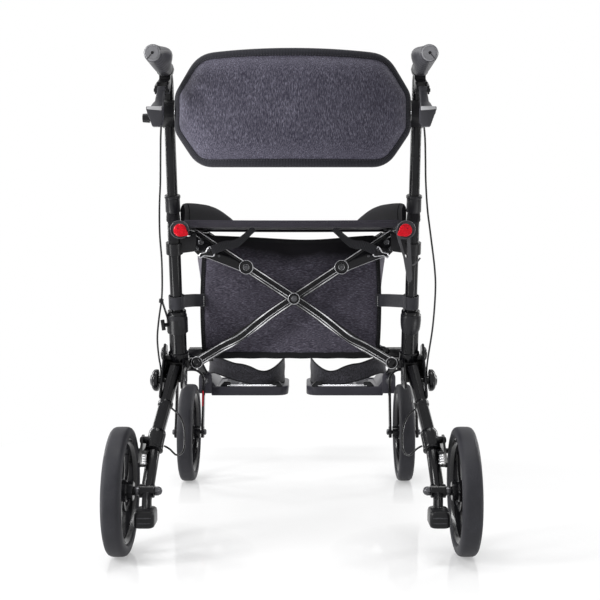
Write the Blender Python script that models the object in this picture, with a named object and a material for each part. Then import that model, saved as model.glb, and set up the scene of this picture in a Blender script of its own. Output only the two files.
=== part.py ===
"""Folding rollator that doubles as a transport chair, as an assembly of separate solids.

Metres. +X is the right side seen from behind, +Y is the walking direction, +Z is up. The origin lies on
the ground under the middle of the object. Right-hand pieces are modelled and the left ones mirror them.
"""

import math

import bmesh
import bpy
from mathutils import Matrix, Vector

# Clearance between pieces that touch, and between a faceted pin and the bore that turns on it
GAP = 0.0003
TURN_GAP = 0.0006

# Facets round a tube, and round anything thinner than the limit
TUBE_SEGMENTS = 12
PIN_SEGMENTS = 8
PIN_LIMIT = 0.005

# Wheels
WHEEL_RADIUS = 0.1025
TYRE_WIDTH = 0.032
TYRE_DEPTH = 0.018
TYRE_FLAT = 0.68
RIM_WIDTH = 0.022
RIM_DEPTH = 0.009
REAR_WHEEL_X = 0.277
REAR_AXLE_Y = -0.368
WHEELBASE = 0.563
CASTER_X = 0.230
CASTER_TRAIL = 0.028
AXLE_RADIUS = 0.004
AXLE_SPACER = 0.0095
HUB_INSET = 0.001
REAR_HUB_RADIUS = 0.017
CASTER_HUB_RADIUS = 0.015
CASTER_HUB_WIDTH = 0.048
SPOKES = 6
SPOKE_WIDTH = 0.010
SPOKE_THICKNESS = 0.007
SPOKE_SWEEP = 38.0
WHEEL_SEGMENTS = 24

# Side frames
UPRIGHT_X = 0.204
UPRIGHT_FOOT_Y = -0.200
UPRIGHT_FOOT_Z = 0.285
RAKE = 17.0
UPRIGHT_RADIUS = 0.0105
UPRIGHT_TOP_Z = 0.582
SLEEVE_RADIUS = 0.015
SLEEVE_BOTTOM_Z = 0.2975
SLEEVE_TOP_Z = 0.384
CLAMP_Z = 0.3615
CLAMP_LENGTH = 0.026
CHEEK_THICKNESS = 0.004
CHEEK_INNER_X = 0.195
CHEEK_OUTER_X = 0.2255
CHEEK_LOW_Z = 0.2365
FRONT_LEG_RADIUS = 0.0135
HEAD_RADIUS = 0.0155
HEAD_BOTTOM_Z = 0.2385
HEAD_TOP_Z = 0.272
STEM_RADIUS = 0.006

# Rear legs
LEG_TOP = (0.2073, -0.226, 0.284)
LEG_KNEE = (0.2300, -0.312, 0.172)
COVER_BOLT_Z = 0.266
COVER_KNOB_RADIUS = 0.019
COVER_KNOB_HEIGHT = 0.0145
LEG_HALF_WIDTH = 0.010
LEG_HALF_DEPTH = 0.012
LEG_SLEEVE_RADIUS = 0.0145
LEG_SLEEVE_LENGTH = 0.036
LOWER_LEG_RADIUS = 0.0105
LEG_COLLAR_RADIUS = 0.0128
BOSS_RADIUS = 0.011
BOSS_INNER_X = 0.2225
BOSS_OUTER_X = 0.2470
PEDAL_WIDTH = 0.033
PEDAL_DEPTH = 0.046
PEDAL_HEIGHT = 0.026
PEDAL_Z = 0.071

# Casters
FORK_HALF_WIDTH = 0.0285
FORK_BAR = 0.005
FORK_BAR_DEPTH = 0.024
FORK_TOP_Z = 0.2355

# Handles
HANDLE_RADIUS = 0.009
HANDLE_BOTTOM_Z = 0.430
HANDLE_DROP = 0.034
COLLAR_RADIUS = 0.0125
COLLAR_LENGTH = 0.028
GRIP_AXIS_Z = 0.781
GRIP_BEND_RADIUS = 0.030
GRIP_END_Y = -0.519
GRIP_LENGTH = 0.1325
GRIP_RADIUS = 0.0135
GRIP_WING = 0.011
GRIP_WING_ANGLE = 145.0
GRIP_END_SHARE = 0.82
LEVER_PIVOT = (-0.423, 0.741)
LEVER_END_Y = -0.491
LEVER_END_Z = 0.704
LEVER_ROOT_WIDTH = 0.013
LEVER_END_WIDTH = 0.025
LEVER_END_HEIGHT = 0.029
LEVER_THICKNESS = 0.008
LEVER_PIN_RADIUS = 0.003
EAR_THICKNESS = 0.0035

# Backrest
BACK_PIVOT_Y = -0.350
BACK_PIVOT_Z = 0.715
BACK_SIDE_CLEARANCE = 0.003
BACK_TOP_HALF_WIDTH = 0.146
BACK_HALF_HEIGHT = 0.091
BACK_TIP_HALF_HEIGHT = 0.030
BACK_BULGE = 0.060
BACK_CROWN = 0.024
BACK_EDGE = 0.008
BAND_THICKNESS = 0.003
BAND_HEIGHT = 0.022
BAND_STUB_RADIUS = 0.004
BRACKET_HALF_WIDTH = 0.0110
BRACKET_HEIGHT = 0.042

# Cross frame and seat
CROSS_ANGLE = 33.4
LOWER_ARM = 0.206
UPPER_ARM = 0.216
MIDDLE_DISC_ARM = 0.466 * UPPER_ARM
LOWER_PIVOT_Z = 0.293
REAR_CROSS_Y = -0.205
FRONT_CROSS_Y = 0.012
BAR_WIDTH = 0.0175
BAR_THICKNESS = 0.008
BAR_SPACING = 0.009
BAR_GROOVE = 0.0015
CROSS_PIN_RADIUS = 0.004
PIN_HEAD_RADII = (0.0065, 0.0050)
PIN_HEAD_LENGTH = 0.0035
DISC_RADIUS = 0.0105
RAIL_RADIUS = 0.0085
RAIL_NECK_RADIUS = RAIL_RADIUS - 0.001
RAIL_BORE_RADIUS = 0.0055
RAIL_REAR_Y = -0.333
RAIL_FRONT_Y = 0.036
SEAT_REAR_Y = -0.322
SEAT_FRONT_Y = 0.030
SEAT_SLEEVE_RADIUS = 0.012
SEAT_SLEEVE_RISE = 0.002
SEAT_SAG = 0.0015
SEAT_THICKNESS = 0.009
SEAT_STRIPS = 7
REFLECTOR_RADIUS = 0.0150
REFLECTOR_OFFSET = 0.0055
LATCH_LENGTH = 0.085

# Bag
BAG_HALF_WIDTH = 0.158
BAG_REAR_Y = -0.181
BAG_FRONT_Y = -0.006
BAG_BOTTOM_Z = 0.297
BAG_TOP_Z = 0.514
BAG_WALL = 0.003
STRAP_Z = 0.4022
STRAP_HEIGHT = 0.0235

# Footplates
FOOT_HINGE_X = 0.2095
FOOT_HINGE_Z = 0.196
FOOT_INNER_X = 0.021
FOOT_OUTER_X = 0.197
FOOT_REAR_Y = 0.348
FOOT_DEPTH = 0.180
FOOT_BOTTOM_Z = 0.160
FOOT_THICKNESS = 0.021
FOOT_CORNER = 0.022
FOOT_RECESS = 0.0025
FOOT_RIM = 0.006
FOOT_STRAP_MARGIN = 0.027
FOOT_RECESS_CORNER = 0.012
KNUCKLE_RADIUS = 0.0095
HINGE_PIN_RADIUS = 0.004
STRAP_THICKNESS = 0.003

# Brakes and cables
CABLE_RADIUS = 0.0016
CABLE_STEP = 0.022
CLIP_Z = 0.412
BRAKE_PIVOT = (-0.318, 0.176)
BRAKE_ARM_X = 0.2498
BRAKE_ARM_THICKNESS = 0.004
SHOE_ANGLE = 25.0
SHOE_RADIUS = 0.0045
SHOE_CLEARANCE = 0.0025
SPRING_RADIUS = 0.0045
SPRING_WIRE = 0.0008
SPRING_CURLS = 4
SPRING_X = 0.2425
SPRING_Y = -0.352
SPRING_BOTTOM_Z = 0.142
SPRING_TOP_Z = 0.160

COLOURS = {
    "frame_paint": ((0.018, 0.018, 0.020), 0.34, 0.6),
    "bar_metal": ((0.045, 0.045, 0.048), 0.30, 0.8),
    "dark_plastic": ((0.028, 0.028, 0.031), 0.48, 0.0),
    "grey_plastic": ((0.085, 0.085, 0.092), 0.42, 0.0),
    "grip_rubber": ((0.050, 0.050, 0.054), 0.62, 0.0),
    "tyre": ((0.045, 0.045, 0.048), 0.72, 0.0),
    "steel": ((0.60, 0.60, 0.62), 0.25, 1.0),
    "fabric": ((0.060, 0.057, 0.068), 0.90, 0.0),
    "webbing": ((0.020, 0.020, 0.022), 0.85, 0.0),
    "reflector": ((0.75, 0.015, 0.020), 0.15, 0.0),
}


# Materials and bodies


def make_material(name):
    colour, roughness, metallic = COLOURS[name]
    material = bpy.data.materials.new(name)
    material.use_nodes = True
    shader = material.node_tree.nodes["Principled BSDF"]
    shader.inputs["Base Color"].default_value = (*colour, 1.0)
    shader.inputs["Roughness"].default_value = roughness
    shader.inputs["Metallic"].default_value = metallic
    return material


def make_body(name, pivot, parent=None):
    """An empty on the joint's axis, which carries the pieces of one moving body."""
    empty = bpy.data.objects.new("body_" + name, None)
    bpy.context.scene.collection.objects.link(empty)
    empty.parent = parent
    empty.location = Vector(pivot) - (body_origin(parent) if parent else Vector((0, 0, 0)))
    return empty


def body_origin(body):
    origin = Vector((0, 0, 0))
    while body:
        origin += body.location
        body = body.parent
    return origin


def add_part(name, solid, material, body, smooth_angle=32.0):
    """Names a finished solid, gives it its own material and hangs it on its body."""
    solid.name = name
    solid.data.name = name
    origin = body_origin(body)
    solid.data.transform(Matrix.Translation(-origin))
    solid.parent = body
    own = MATERIALS[material].copy()
    own.name = name + "_" + material
    solid.data.materials.clear()
    solid.data.materials.append(own)
    solid.data.shade_smooth()
    solid.data.set_sharp_from_angle(angle=math.radians(smooth_angle))
    return solid


def add_pair(stem, solid, material, bodies):
    """The right-hand solid and its mirror image."""
    left = mirrored(solid)
    add_part(stem + "_right", solid, material, bodies[1])
    add_part(stem + "_left", left, material, bodies[0])


# Solids


def solid_from_bmesh(bm):
    bmesh.ops.recalc_face_normals(bm, faces=bm.faces)
    mesh = bpy.data.meshes.new("solid")
    bm.to_mesh(mesh)
    bm.free()
    solid = bpy.data.objects.new("solid", mesh)
    bpy.context.scene.collection.objects.link(solid)
    return solid


def mirrored(solid):
    mesh = solid.data.copy()
    mesh.transform(Matrix.Scale(-1.0, 4, (1, 0, 0)))
    mesh.flip_normals()
    copy = bpy.data.objects.new(solid.name, mesh)
    bpy.context.scene.collection.objects.link(copy)
    return copy


def combine(base, others, operation):
    """Boolean of the base with each of the others, which are used up."""
    for other in others:
        modifier = base.modifiers.new("boolean", "BOOLEAN")
        modifier.operation = operation
        modifier.solver = "EXACT"
        modifier.object = other
    graph = bpy.context.evaluated_depsgraph_get()
    mesh = bpy.data.meshes.new_from_object(base.evaluated_get(graph))
    base.modifiers.clear()
    base.data = mesh
    for other in others:
        bpy.data.objects.remove(other)
    return base


def joined(*solids):
    return combine(solids[0], solids[1:], "UNION")


def cut(base, *cutters):
    return combine(base, cutters, "DIFFERENCE")


def cylinder(start, end, radius, end_radius=None, segments=None):
    """A cylinder or cone between two points; pins and their bores get the same facets by their size."""
    segments = segments or (PIN_SEGMENTS if radius < PIN_LIMIT else TUBE_SEGMENTS)
    start, end = Vector(start), Vector(end)
    direction = end - start
    bm = bmesh.new()
    turn = direction.to_track_quat("Z", "Y").to_matrix().to_4x4()
    place = Matrix.Translation((start + end) / 2) @ turn
    bmesh.ops.create_cone(
        bm,
        cap_ends=True,
        segments=segments,
        radius1=radius,
        radius2=radius if end_radius is None else end_radius,
        depth=direction.length,
        matrix=place,
    )
    return solid_from_bmesh(bm)


def box(low, high, bevel=0.0, bevel_segments=1):
    low, high = Vector(low), Vector(high)
    bm = bmesh.new()
    size = high - low
    place = Matrix.Translation((low + high) / 2) @ Matrix.Diagonal((*size, 1.0))
    bmesh.ops.create_cube(bm, size=1.0, matrix=place)
    if bevel:
        bmesh.ops.bevel(
            bm, geom=bm.edges[:], offset=bevel, segments=bevel_segments, affect="EDGES", profile=0.5
        )
    return solid_from_bmesh(bm)


def plate(outline, plane, low, high):
    """An outline in the XZ, YZ or XY plane, extruded between two heights along the third axis."""
    spots = {
        "XZ": lambda a, b, c: (a, c, b),
        "YZ": lambda a, b, c: (c, a, b),
        "XY": lambda a, b, c: (a, b, c),
    }
    bm = bmesh.new()
    face = bm.faces.new([bm.verts.new(spots[plane](a, b, low)) for a, b in outline])
    extruded = bmesh.ops.extrude_face_region(bm, geom=[face])
    moved = [item for item in extruded["geom"] if isinstance(item, bmesh.types.BMVert)]
    shift = Vector(spots[plane](0.0, 0.0, high - low))
    bmesh.ops.translate(bm, verts=moved, vec=shift)
    return solid_from_bmesh(bm)


def turned(profile, centre, segments, turn=0.0):
    """A closed (along X, radius) profile spun about the X axis through the centre."""
    bm = bmesh.new()
    centre = Vector(centre)
    verts = [bm.verts.new(centre + Vector((along, 0.0, radius))) for along, radius in profile]
    edges = [bm.edges.new((a, b)) for a, b in zip(verts, verts[1:] + verts[:1])]
    bmesh.ops.rotate(bm, verts=verts, cent=centre, matrix=Matrix.Rotation(turn, 3, "X"))
    bmesh.ops.spin(
        bm,
        geom=verts + edges,
        cent=centre,
        axis=(1, 0, 0),
        angle=2 * math.pi,
        steps=segments,
        use_merge=True,
    )
    bmesh.ops.remove_doubles(bm, verts=bm.verts, dist=1e-6)
    return solid_from_bmesh(bm)


def skinned(rings):
    """A solid through rings of points, each with the same count, closed at both ends."""
    bm = bmesh.new()
    loops = [[bm.verts.new(point) for point in ring] for ring in rings]
    count = len(loops[0])
    for lower, upper in zip(loops, loops[1:]):
        for i in range(count):
            j = (i + 1) % count
            bm.faces.new((lower[i], lower[j], upper[j], upper[i]))
    bm.faces.new(loops[0][::-1])
    bm.faces.new(loops[-1])
    return solid_from_bmesh(bm)


def swept(path, section, side):
    """A (across, depth) section carried along a path; side is the direction of its first axis."""
    path = [Vector(point) for point in path]
    side = Vector(side)
    rings = []
    for i, point in enumerate(path):
        before = path[max(i - 1, 0)]
        after = path[min(i + 1, len(path) - 1)]
        along = (after - before).normalized()
        across = (side - along * side.dot(along)).normalized()
        depth = along.cross(across)
        rings.append([point + across * a + depth * b for a, b in section])
    return skinned(rings)


def tube(path, radius, resolution=4):
    """A round tube along a path, with closed ends."""
    curve = bpy.data.curves.new("tube", "CURVE")
    curve.dimensions = "3D"
    curve.bevel_depth = radius
    curve.bevel_resolution = resolution
    curve.use_fill_caps = True
    curve.resolution_u = 1
    spline = curve.splines.new("POLY")
    spline.points.add(len(path) - 1)
    for point, place in zip(spline.points, path):
        point.co = (*place, 1.0)
    holder = bpy.data.objects.new("tube", curve)
    bpy.context.scene.collection.objects.link(holder)
    graph = bpy.context.evaluated_depsgraph_get()
    mesh = bpy.data.meshes.new_from_object(holder.evaluated_get(graph))
    bpy.data.objects.remove(holder)
    bm = bmesh.new()
    bm.from_mesh(mesh)
    bmesh.ops.remove_doubles(bm, verts=bm.verts, dist=1e-6)
    return solid_from_bmesh(bm)


def smooth_route(points, spacing):
    """Points at an even spacing along a Catmull-Rom curve through the route's own points."""
    points = [Vector(p) for p in points]
    ends = [2 * points[0] - points[1]] + points + [2 * points[-1] - points[-2]]
    dense = []
    for a, b, c, d in zip(ends, ends[1:], ends[2:], ends[3:]):
        for step in range(20):
            t = step / 20
            dense.append(
                0.5
                * (
                    2 * b
                    + (c - a) * t
                    + (2 * a - 5 * b + 4 * c - d) * t * t
                    + (3 * b - a - 3 * c + d) * t * t * t
                )
            )
    dense.append(points[-1])
    route = [dense[0]]
    for point in dense[1:-1]:
        if (point - route[-1]).length >= spacing and (point - points[-1]).length > spacing / 2:
            route.append(point)
    route.append(dense[-1])
    return route


def arc(centre, radius, start, end, steps):
    """Points of an arc in a plane, angles in degrees."""
    angles = [math.radians(start + (end - start) * i / steps) for i in range(steps + 1)]
    return [(centre[0] + radius * math.cos(a), centre[1] + radius * math.sin(a)) for a in angles]


# Places that several pieces share


def upright_point(z):
    """The axis of the raked upright at a height."""
    return Vector((UPRIGHT_X, UPRIGHT_FOOT_Y - math.tan(math.radians(RAKE)) * (z - UPRIGHT_FOOT_Z), z))


def leg_point(z):
    """The middle of the rear leg's upper part at a height."""
    top, knee = Vector(LEG_TOP), Vector(LEG_KNEE)
    return top.lerp(knee, (top.z - z) / (top.z - knee.z))


CENTRE_SHIFT = -(FOOT_REAR_Y + FOOT_DEPTH + GRIP_END_Y) / 2
RAKE_DIRECTION = Vector((0.0, -math.sin(math.radians(RAKE)), math.cos(math.radians(RAKE))))
UP = Vector((0, 0, 1))
CROSS_COS = math.cos(math.radians(CROSS_ANGLE))
CROSS_SIN = math.sin(math.radians(CROSS_ANGLE))
LOWER_PIVOT_X = LOWER_ARM * CROSS_COS
CROSS_CENTRE_Z = LOWER_PIVOT_Z + LOWER_ARM * CROSS_SIN
RAIL_X = UPPER_ARM * CROSS_COS
RAIL_Z = CROSS_CENTRE_Z + UPPER_ARM * CROSS_SIN
CASTER_AXLE_Y = REAR_AXLE_Y + WHEELBASE
SWIVEL_Y = CASTER_AXLE_Y + CASTER_TRAIL
HEAD_AXIS = Vector((CASTER_X, SWIVEL_Y, HEAD_BOTTOM_Z))
RIM_RADIUS = WHEEL_RADIUS - TYRE_DEPTH
BAR_B_SHIFT = -BAR_SPACING / 2
BAR_A_SHIFT = BAR_SPACING / 2
BACK_HALF_WIDTH = UPRIGHT_X - BRACKET_HALF_WIDTH - BACK_SIDE_CLEARANCE


# Wheels


def tyre(x, y):
    half = TYRE_WIDTH / 2
    outer = WHEEL_RADIUS / math.cos(math.pi / WHEEL_SEGMENTS)
    inner = RIM_RADIUS / math.cos(math.pi / WHEEL_SEGMENTS) + GAP
    depth = outer - inner
    right_side = [(TYRE_FLAT * half, outer), (half, outer - 0.42 * depth), (RIM_WIDTH / 2, inner)]
    profile = right_side + [(-along, radius) for along, radius in reversed(right_side)]
    return turned(profile, (x, y, WHEEL_RADIUS), WHEEL_SEGMENTS, math.pi / WHEEL_SEGMENTS)


def rim(x, y, hub_inner, hub_outer, hub_radius):
    """Rim ring, hub and swept spokes in one casting; hub ends are measured from its middle."""
    centre = Vector((x, y, WHEEL_RADIUS))
    half = RIM_WIDTH / 2
    ring_outer = RIM_RADIUS / math.cos(math.pi / WHEEL_SEGMENTS)
    ring_inner = ring_outer - RIM_DEPTH
    ring = turned(
        [(half, ring_outer), (half, ring_inner), (-half, ring_inner), (-half, ring_outer)],
        centre,
        WHEEL_SEGMENTS,
        math.pi / WHEEL_SEGMENTS,
    )
    hub = cylinder(centre + Vector((-hub_inner, 0, 0)), centre + Vector((hub_outer, 0, 0)), hub_radius)
    spokes = []
    start, end = hub_radius * 0.8, ring_inner + RIM_DEPTH / 2
    for spoke in range(SPOKES):
        base = 2 * math.pi * spoke / SPOKES
        path = []
        for step in range(3):
            share = step / 2
            radius = start + (end - start) * share
            angle = base + math.radians(SPOKE_SWEEP) * share * share
            path.append(centre + Vector((0.0, radius * math.cos(angle), radius * math.sin(angle))))
        w, t = SPOKE_WIDTH / 2, SPOKE_THICKNESS / 2
        spokes.append(swept(path, [(-t, -w), (t, -w), (t, w), (-t, w)], (1, 0, 0)))
    wheel = joined(ring, hub, *spokes)
    bore = cylinder(
        centre + Vector((-hub_inner - 0.01, 0, 0)),
        centre + Vector((hub_outer + 0.01, 0, 0)),
        AXLE_RADIUS + GAP,
    )
    return cut(wheel, bore)


def make_wheels():
    hub_inner = REAR_WHEEL_X - BOSS_OUTER_X - AXLE_SPACER
    hub_outer = TYRE_WIDTH / 2 - HUB_INSET
    for side in ("left", "right"):
        sign = -1 if side == "left" else 1
        rear_body = BODIES["rear_wheel_" + side]
        tyre_solid = tyre(REAR_WHEEL_X, REAR_AXLE_Y)
        rim_solid = rim(REAR_WHEEL_X, REAR_AXLE_Y, hub_inner, hub_outer, REAR_HUB_RADIUS)
        front_tyre = tyre(CASTER_X, CASTER_AXLE_Y)
        hub_half = CASTER_HUB_WIDTH / 2
        front_rim = rim(CASTER_X, CASTER_AXLE_Y, hub_half, hub_half, CASTER_HUB_RADIUS)
        solids = [tyre_solid, rim_solid, front_tyre, front_rim]
        if sign < 0:
            left = [mirrored(solid) for solid in solids]
            for solid in solids:
                bpy.data.objects.remove(solid)
            solids = left
        caster_body = BODIES["caster_wheel_" + side]
        add_part("rear_tyre_" + side, solids[0], "tyre", rear_body)
        add_part("rear_rim_" + side, solids[1], "dark_plastic", rear_body)
        add_part("caster_tyre_" + side, solids[2], "tyre", caster_body)
        add_part("caster_rim_" + side, solids[3], "dark_plastic", caster_body)


def rear_axle():
    """Shaft with a spacer collar, an acorn nut inside the leg's boss and a flat head in the hub's face."""
    y, z = REAR_AXLE_Y, WHEEL_RADIUS
    hub_face = REAR_WHEEL_X + TYRE_WIDTH / 2 - HUB_INSET
    hub_inner = BOSS_OUTER_X + AXLE_SPACER
    shaft = cylinder((BOSS_INNER_X - 0.004, y, z), (hub_face + 0.001, y, z), AXLE_RADIUS)
    head = cylinder((hub_face + GAP, y, z), (hub_face + 0.0025, y, z), 0.009, 0.0075, segments=12)
    spacer = cylinder((BOSS_OUTER_X + GAP, y, z), (hub_inner - GAP, y, z), 0.0075, segments=12)
    nut = cylinder((BOSS_INNER_X - 0.0075, y, z), (BOSS_INNER_X - GAP, y, z), 0.0075, segments=6)
    dome = cylinder((BOSS_INNER_X - 0.012, y, z), (BOSS_INNER_X - 0.007, y, z), 0.0030, 0.0062, segments=8)
    return joined(shaft, head, spacer, nut, dome)


# Side frames


def side_frame():
    """Upright, sleeve, joint fitting, front leg, caster head and lugs, welded into one frame."""
    foot = upright_point(SLEEVE_BOTTOM_Z)
    upright = cylinder(foot + RAKE_DIRECTION * 0.004, upright_point(UPRIGHT_TOP_Z), UPRIGHT_RADIUS)
    sleeve = cylinder(foot, upright_point(SLEEVE_TOP_Z), SLEEVE_RADIUS)
    collar = cylinder(foot + RAKE_DIRECTION * 0.001, foot + RAKE_DIRECTION * 0.016, SLEEVE_RADIUS + 0.0025)
    lip = cylinder(
        upright_point(SLEEVE_TOP_Z - 0.003),
        upright_point(SLEEVE_TOP_Z + 0.003),
        SLEEVE_RADIUS + 0.0012,
    )
    rib_angle = math.radians(27)
    rib_offset = Vector((math.sin(rib_angle), -math.cos(rib_angle), 0)) * SLEEVE_RADIUS
    rib = cylinder(
        foot + RAKE_DIRECTION * 0.002 + rib_offset,
        upright_point(CLAMP_Z - 0.019) + rib_offset,
        0.0012,
        segments=5,
    )
    leg_middle = leg_point(0.262)
    front = foot.y + SLEEVE_RADIUS + 0.004
    inner_cheek = plate(
        [
            (front, 0.306),
            (foot.y - 0.016, 0.303),
            (leg_middle.y - 0.015, 0.262),
            (leg_middle.y - 0.010, 0.252),
            (front, 0.252),
        ],
        "YZ",
        CHEEK_INNER_X - CHEEK_THICKNESS,
        CHEEK_INNER_X,
    )
    outer_low = leg_point(CHEEK_LOW_Z)
    outer_cheek = plate(
        [
            (front, 0.322),
            (foot.y - 0.010, 0.328),
            (foot.y - 0.020, 0.310),
            (outer_low.y - 0.013, CHEEK_LOW_Z + 0.006),
            (outer_low.y - 0.004, CHEEK_LOW_Z),
            (outer_low.y + 0.012, CHEEK_LOW_Z + 0.005),
            (front, 0.262),
        ],
        "YZ",
        CHEEK_OUTER_X,
        CHEEK_OUTER_X + CHEEK_THICKNESS,
    )
    web = box(
        (CHEEK_INNER_X - CHEEK_THICKNESS, front - 0.008, 0.256),
        (CHEEK_OUTER_X + CHEEK_THICKNESS, front + 0.004, 0.3065),
    )
    shelf = box(
        (CHEEK_INNER_X - CHEEK_THICKNESS, foot.y - 0.014, SLEEVE_BOTTOM_Z + 0.001),
        (CHEEK_OUTER_X + CHEEK_THICKNESS, front, SLEEVE_BOTTOM_Z + 0.009),
    )
    head = cylinder(HEAD_AXIS, HEAD_AXIS + Vector((0, 0, HEAD_TOP_Z - HEAD_BOTTOM_Z)), HEAD_RADIUS)
    head_end = Vector((CASTER_X, SWIVEL_Y, 0.255))
    leg_start = Vector((0.2085, front - 0.004, 0.280))
    front_leg = cylinder(leg_start, head_end, FRONT_LEG_RADIUS)
    dome = dome_solid((CHEEK_OUTER_X + CHEEK_THICKNESS - 0.0005, foot.y - 0.001, 0.3085), 0.0125, 0.0065)
    parts = [sleeve, upright, collar, lip, rib, inner_cheek, outer_cheek, web, shelf, front_leg, head, dome]
    parts += pivot_lug(REAR_CROSS_Y, CHEEK_INNER_X - CHEEK_THICKNESS / 2, 0.0)
    parts += pivot_lug(FRONT_CROSS_Y, leg_start.lerp(head_end, 0.45).x - FRONT_LEG_RADIUS / 2, 0.013)
    frame = joined(*parts)
    handle_bore = cylinder(
        upright_point(HANDLE_BOTTOM_Z - HANDLE_DROP),
        upright_point(UPRIGHT_TOP_Z + 0.02),
        HANDLE_RADIUS + GAP,
    )
    stem_bore = cylinder(
        HEAD_AXIS - Vector((0, 0, 0.01)),
        HEAD_AXIS + Vector((0, 0, 0.0265)),
        STEM_RADIUS + GAP,
    )
    bolt = cover_bolt_place()
    bolt_hole = cylinder(bolt - Vector((0.004, 0, 0)), bolt + Vector((0.030, 0, 0)), AXLE_RADIUS + GAP)
    return cut(frame, handle_bore, stem_bore, bolt_hole)


def dome_solid(base, radius, height, segments=12):
    """A shallow dome that stands out along +X from its base point."""
    rings = []
    for along, share in ((0.0, 1.0), (0.42, 1.0), (0.78, 0.78), (1.0, 0.42)):
        ring = [
            Vector(base)
            + Vector((along * height, share * radius * math.cos(angle), share * radius * math.sin(angle)))
            for angle in (2 * math.pi * (i + 0.5) / segments for i in range(segments))
        ]
        rings.append(ring)
    return skinned(rings)


def pivot_lug(cross_y, root_x, drop):
    """The block that reaches in from the side frame to the cross bars' lower pivot, with its pin."""
    front_face = cross_y + BAR_SPACING / 2 + BAR_THICKNESS / 2 + 0.001
    rear_face = cross_y - BAR_SPACING / 2 - BAR_THICKNESS / 2 - 0.0005
    x, z = LOWER_PIVOT_X, LOWER_PIVOT_Z
    lug = box((x - 0.009, front_face, z - 0.0085 - drop), (root_x, front_face + 0.011, z + 0.0065))
    guard = box(
        (x + 0.0118, rear_face - 0.002, z - 0.0082),
        (root_x - 0.0005, front_face + 0.004, z + 0.0055),
    )
    pin = cylinder((x, front_face + 0.003, z), (x, rear_face - 0.004, z), CROSS_PIN_RADIUS)
    head = cylinder((x, rear_face - 0.004, z), (x, rear_face, z), PIN_HEAD_RADII[0], segments=12)
    return [lug, guard, pin, head]


def cover_bolt_place():
    """The middle of the bolt that ties the rear leg into the fitting."""
    return leg_point(COVER_BOLT_Z)


def cover_knob():
    place = cover_bolt_place()
    face = CHEEK_OUTER_X + CHEEK_THICKNESS
    disc_x = face + 0.0050
    shaft = cylinder(place - Vector((0.001, 0, 0)), Vector((disc_x + 0.004, place.y, place.z)), AXLE_RADIUS)
    collar = cylinder(
        (face + GAP, place.y, place.z),
        (disc_x + 0.002, place.y, place.z),
        0.0075,
        segments=12,
    )
    dome = dome_solid((disc_x, place.y, place.z), COVER_KNOB_RADIUS, COVER_KNOB_HEIGHT)
    knob = joined(dome, shaft, collar)
    groove = box(
        (disc_x + 0.0105, place.y - 0.03, place.z - 0.0028),
        (disc_x + 0.02, place.y + 0.03, place.z + 0.0028),
    )
    return cut(knob, groove)


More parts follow.
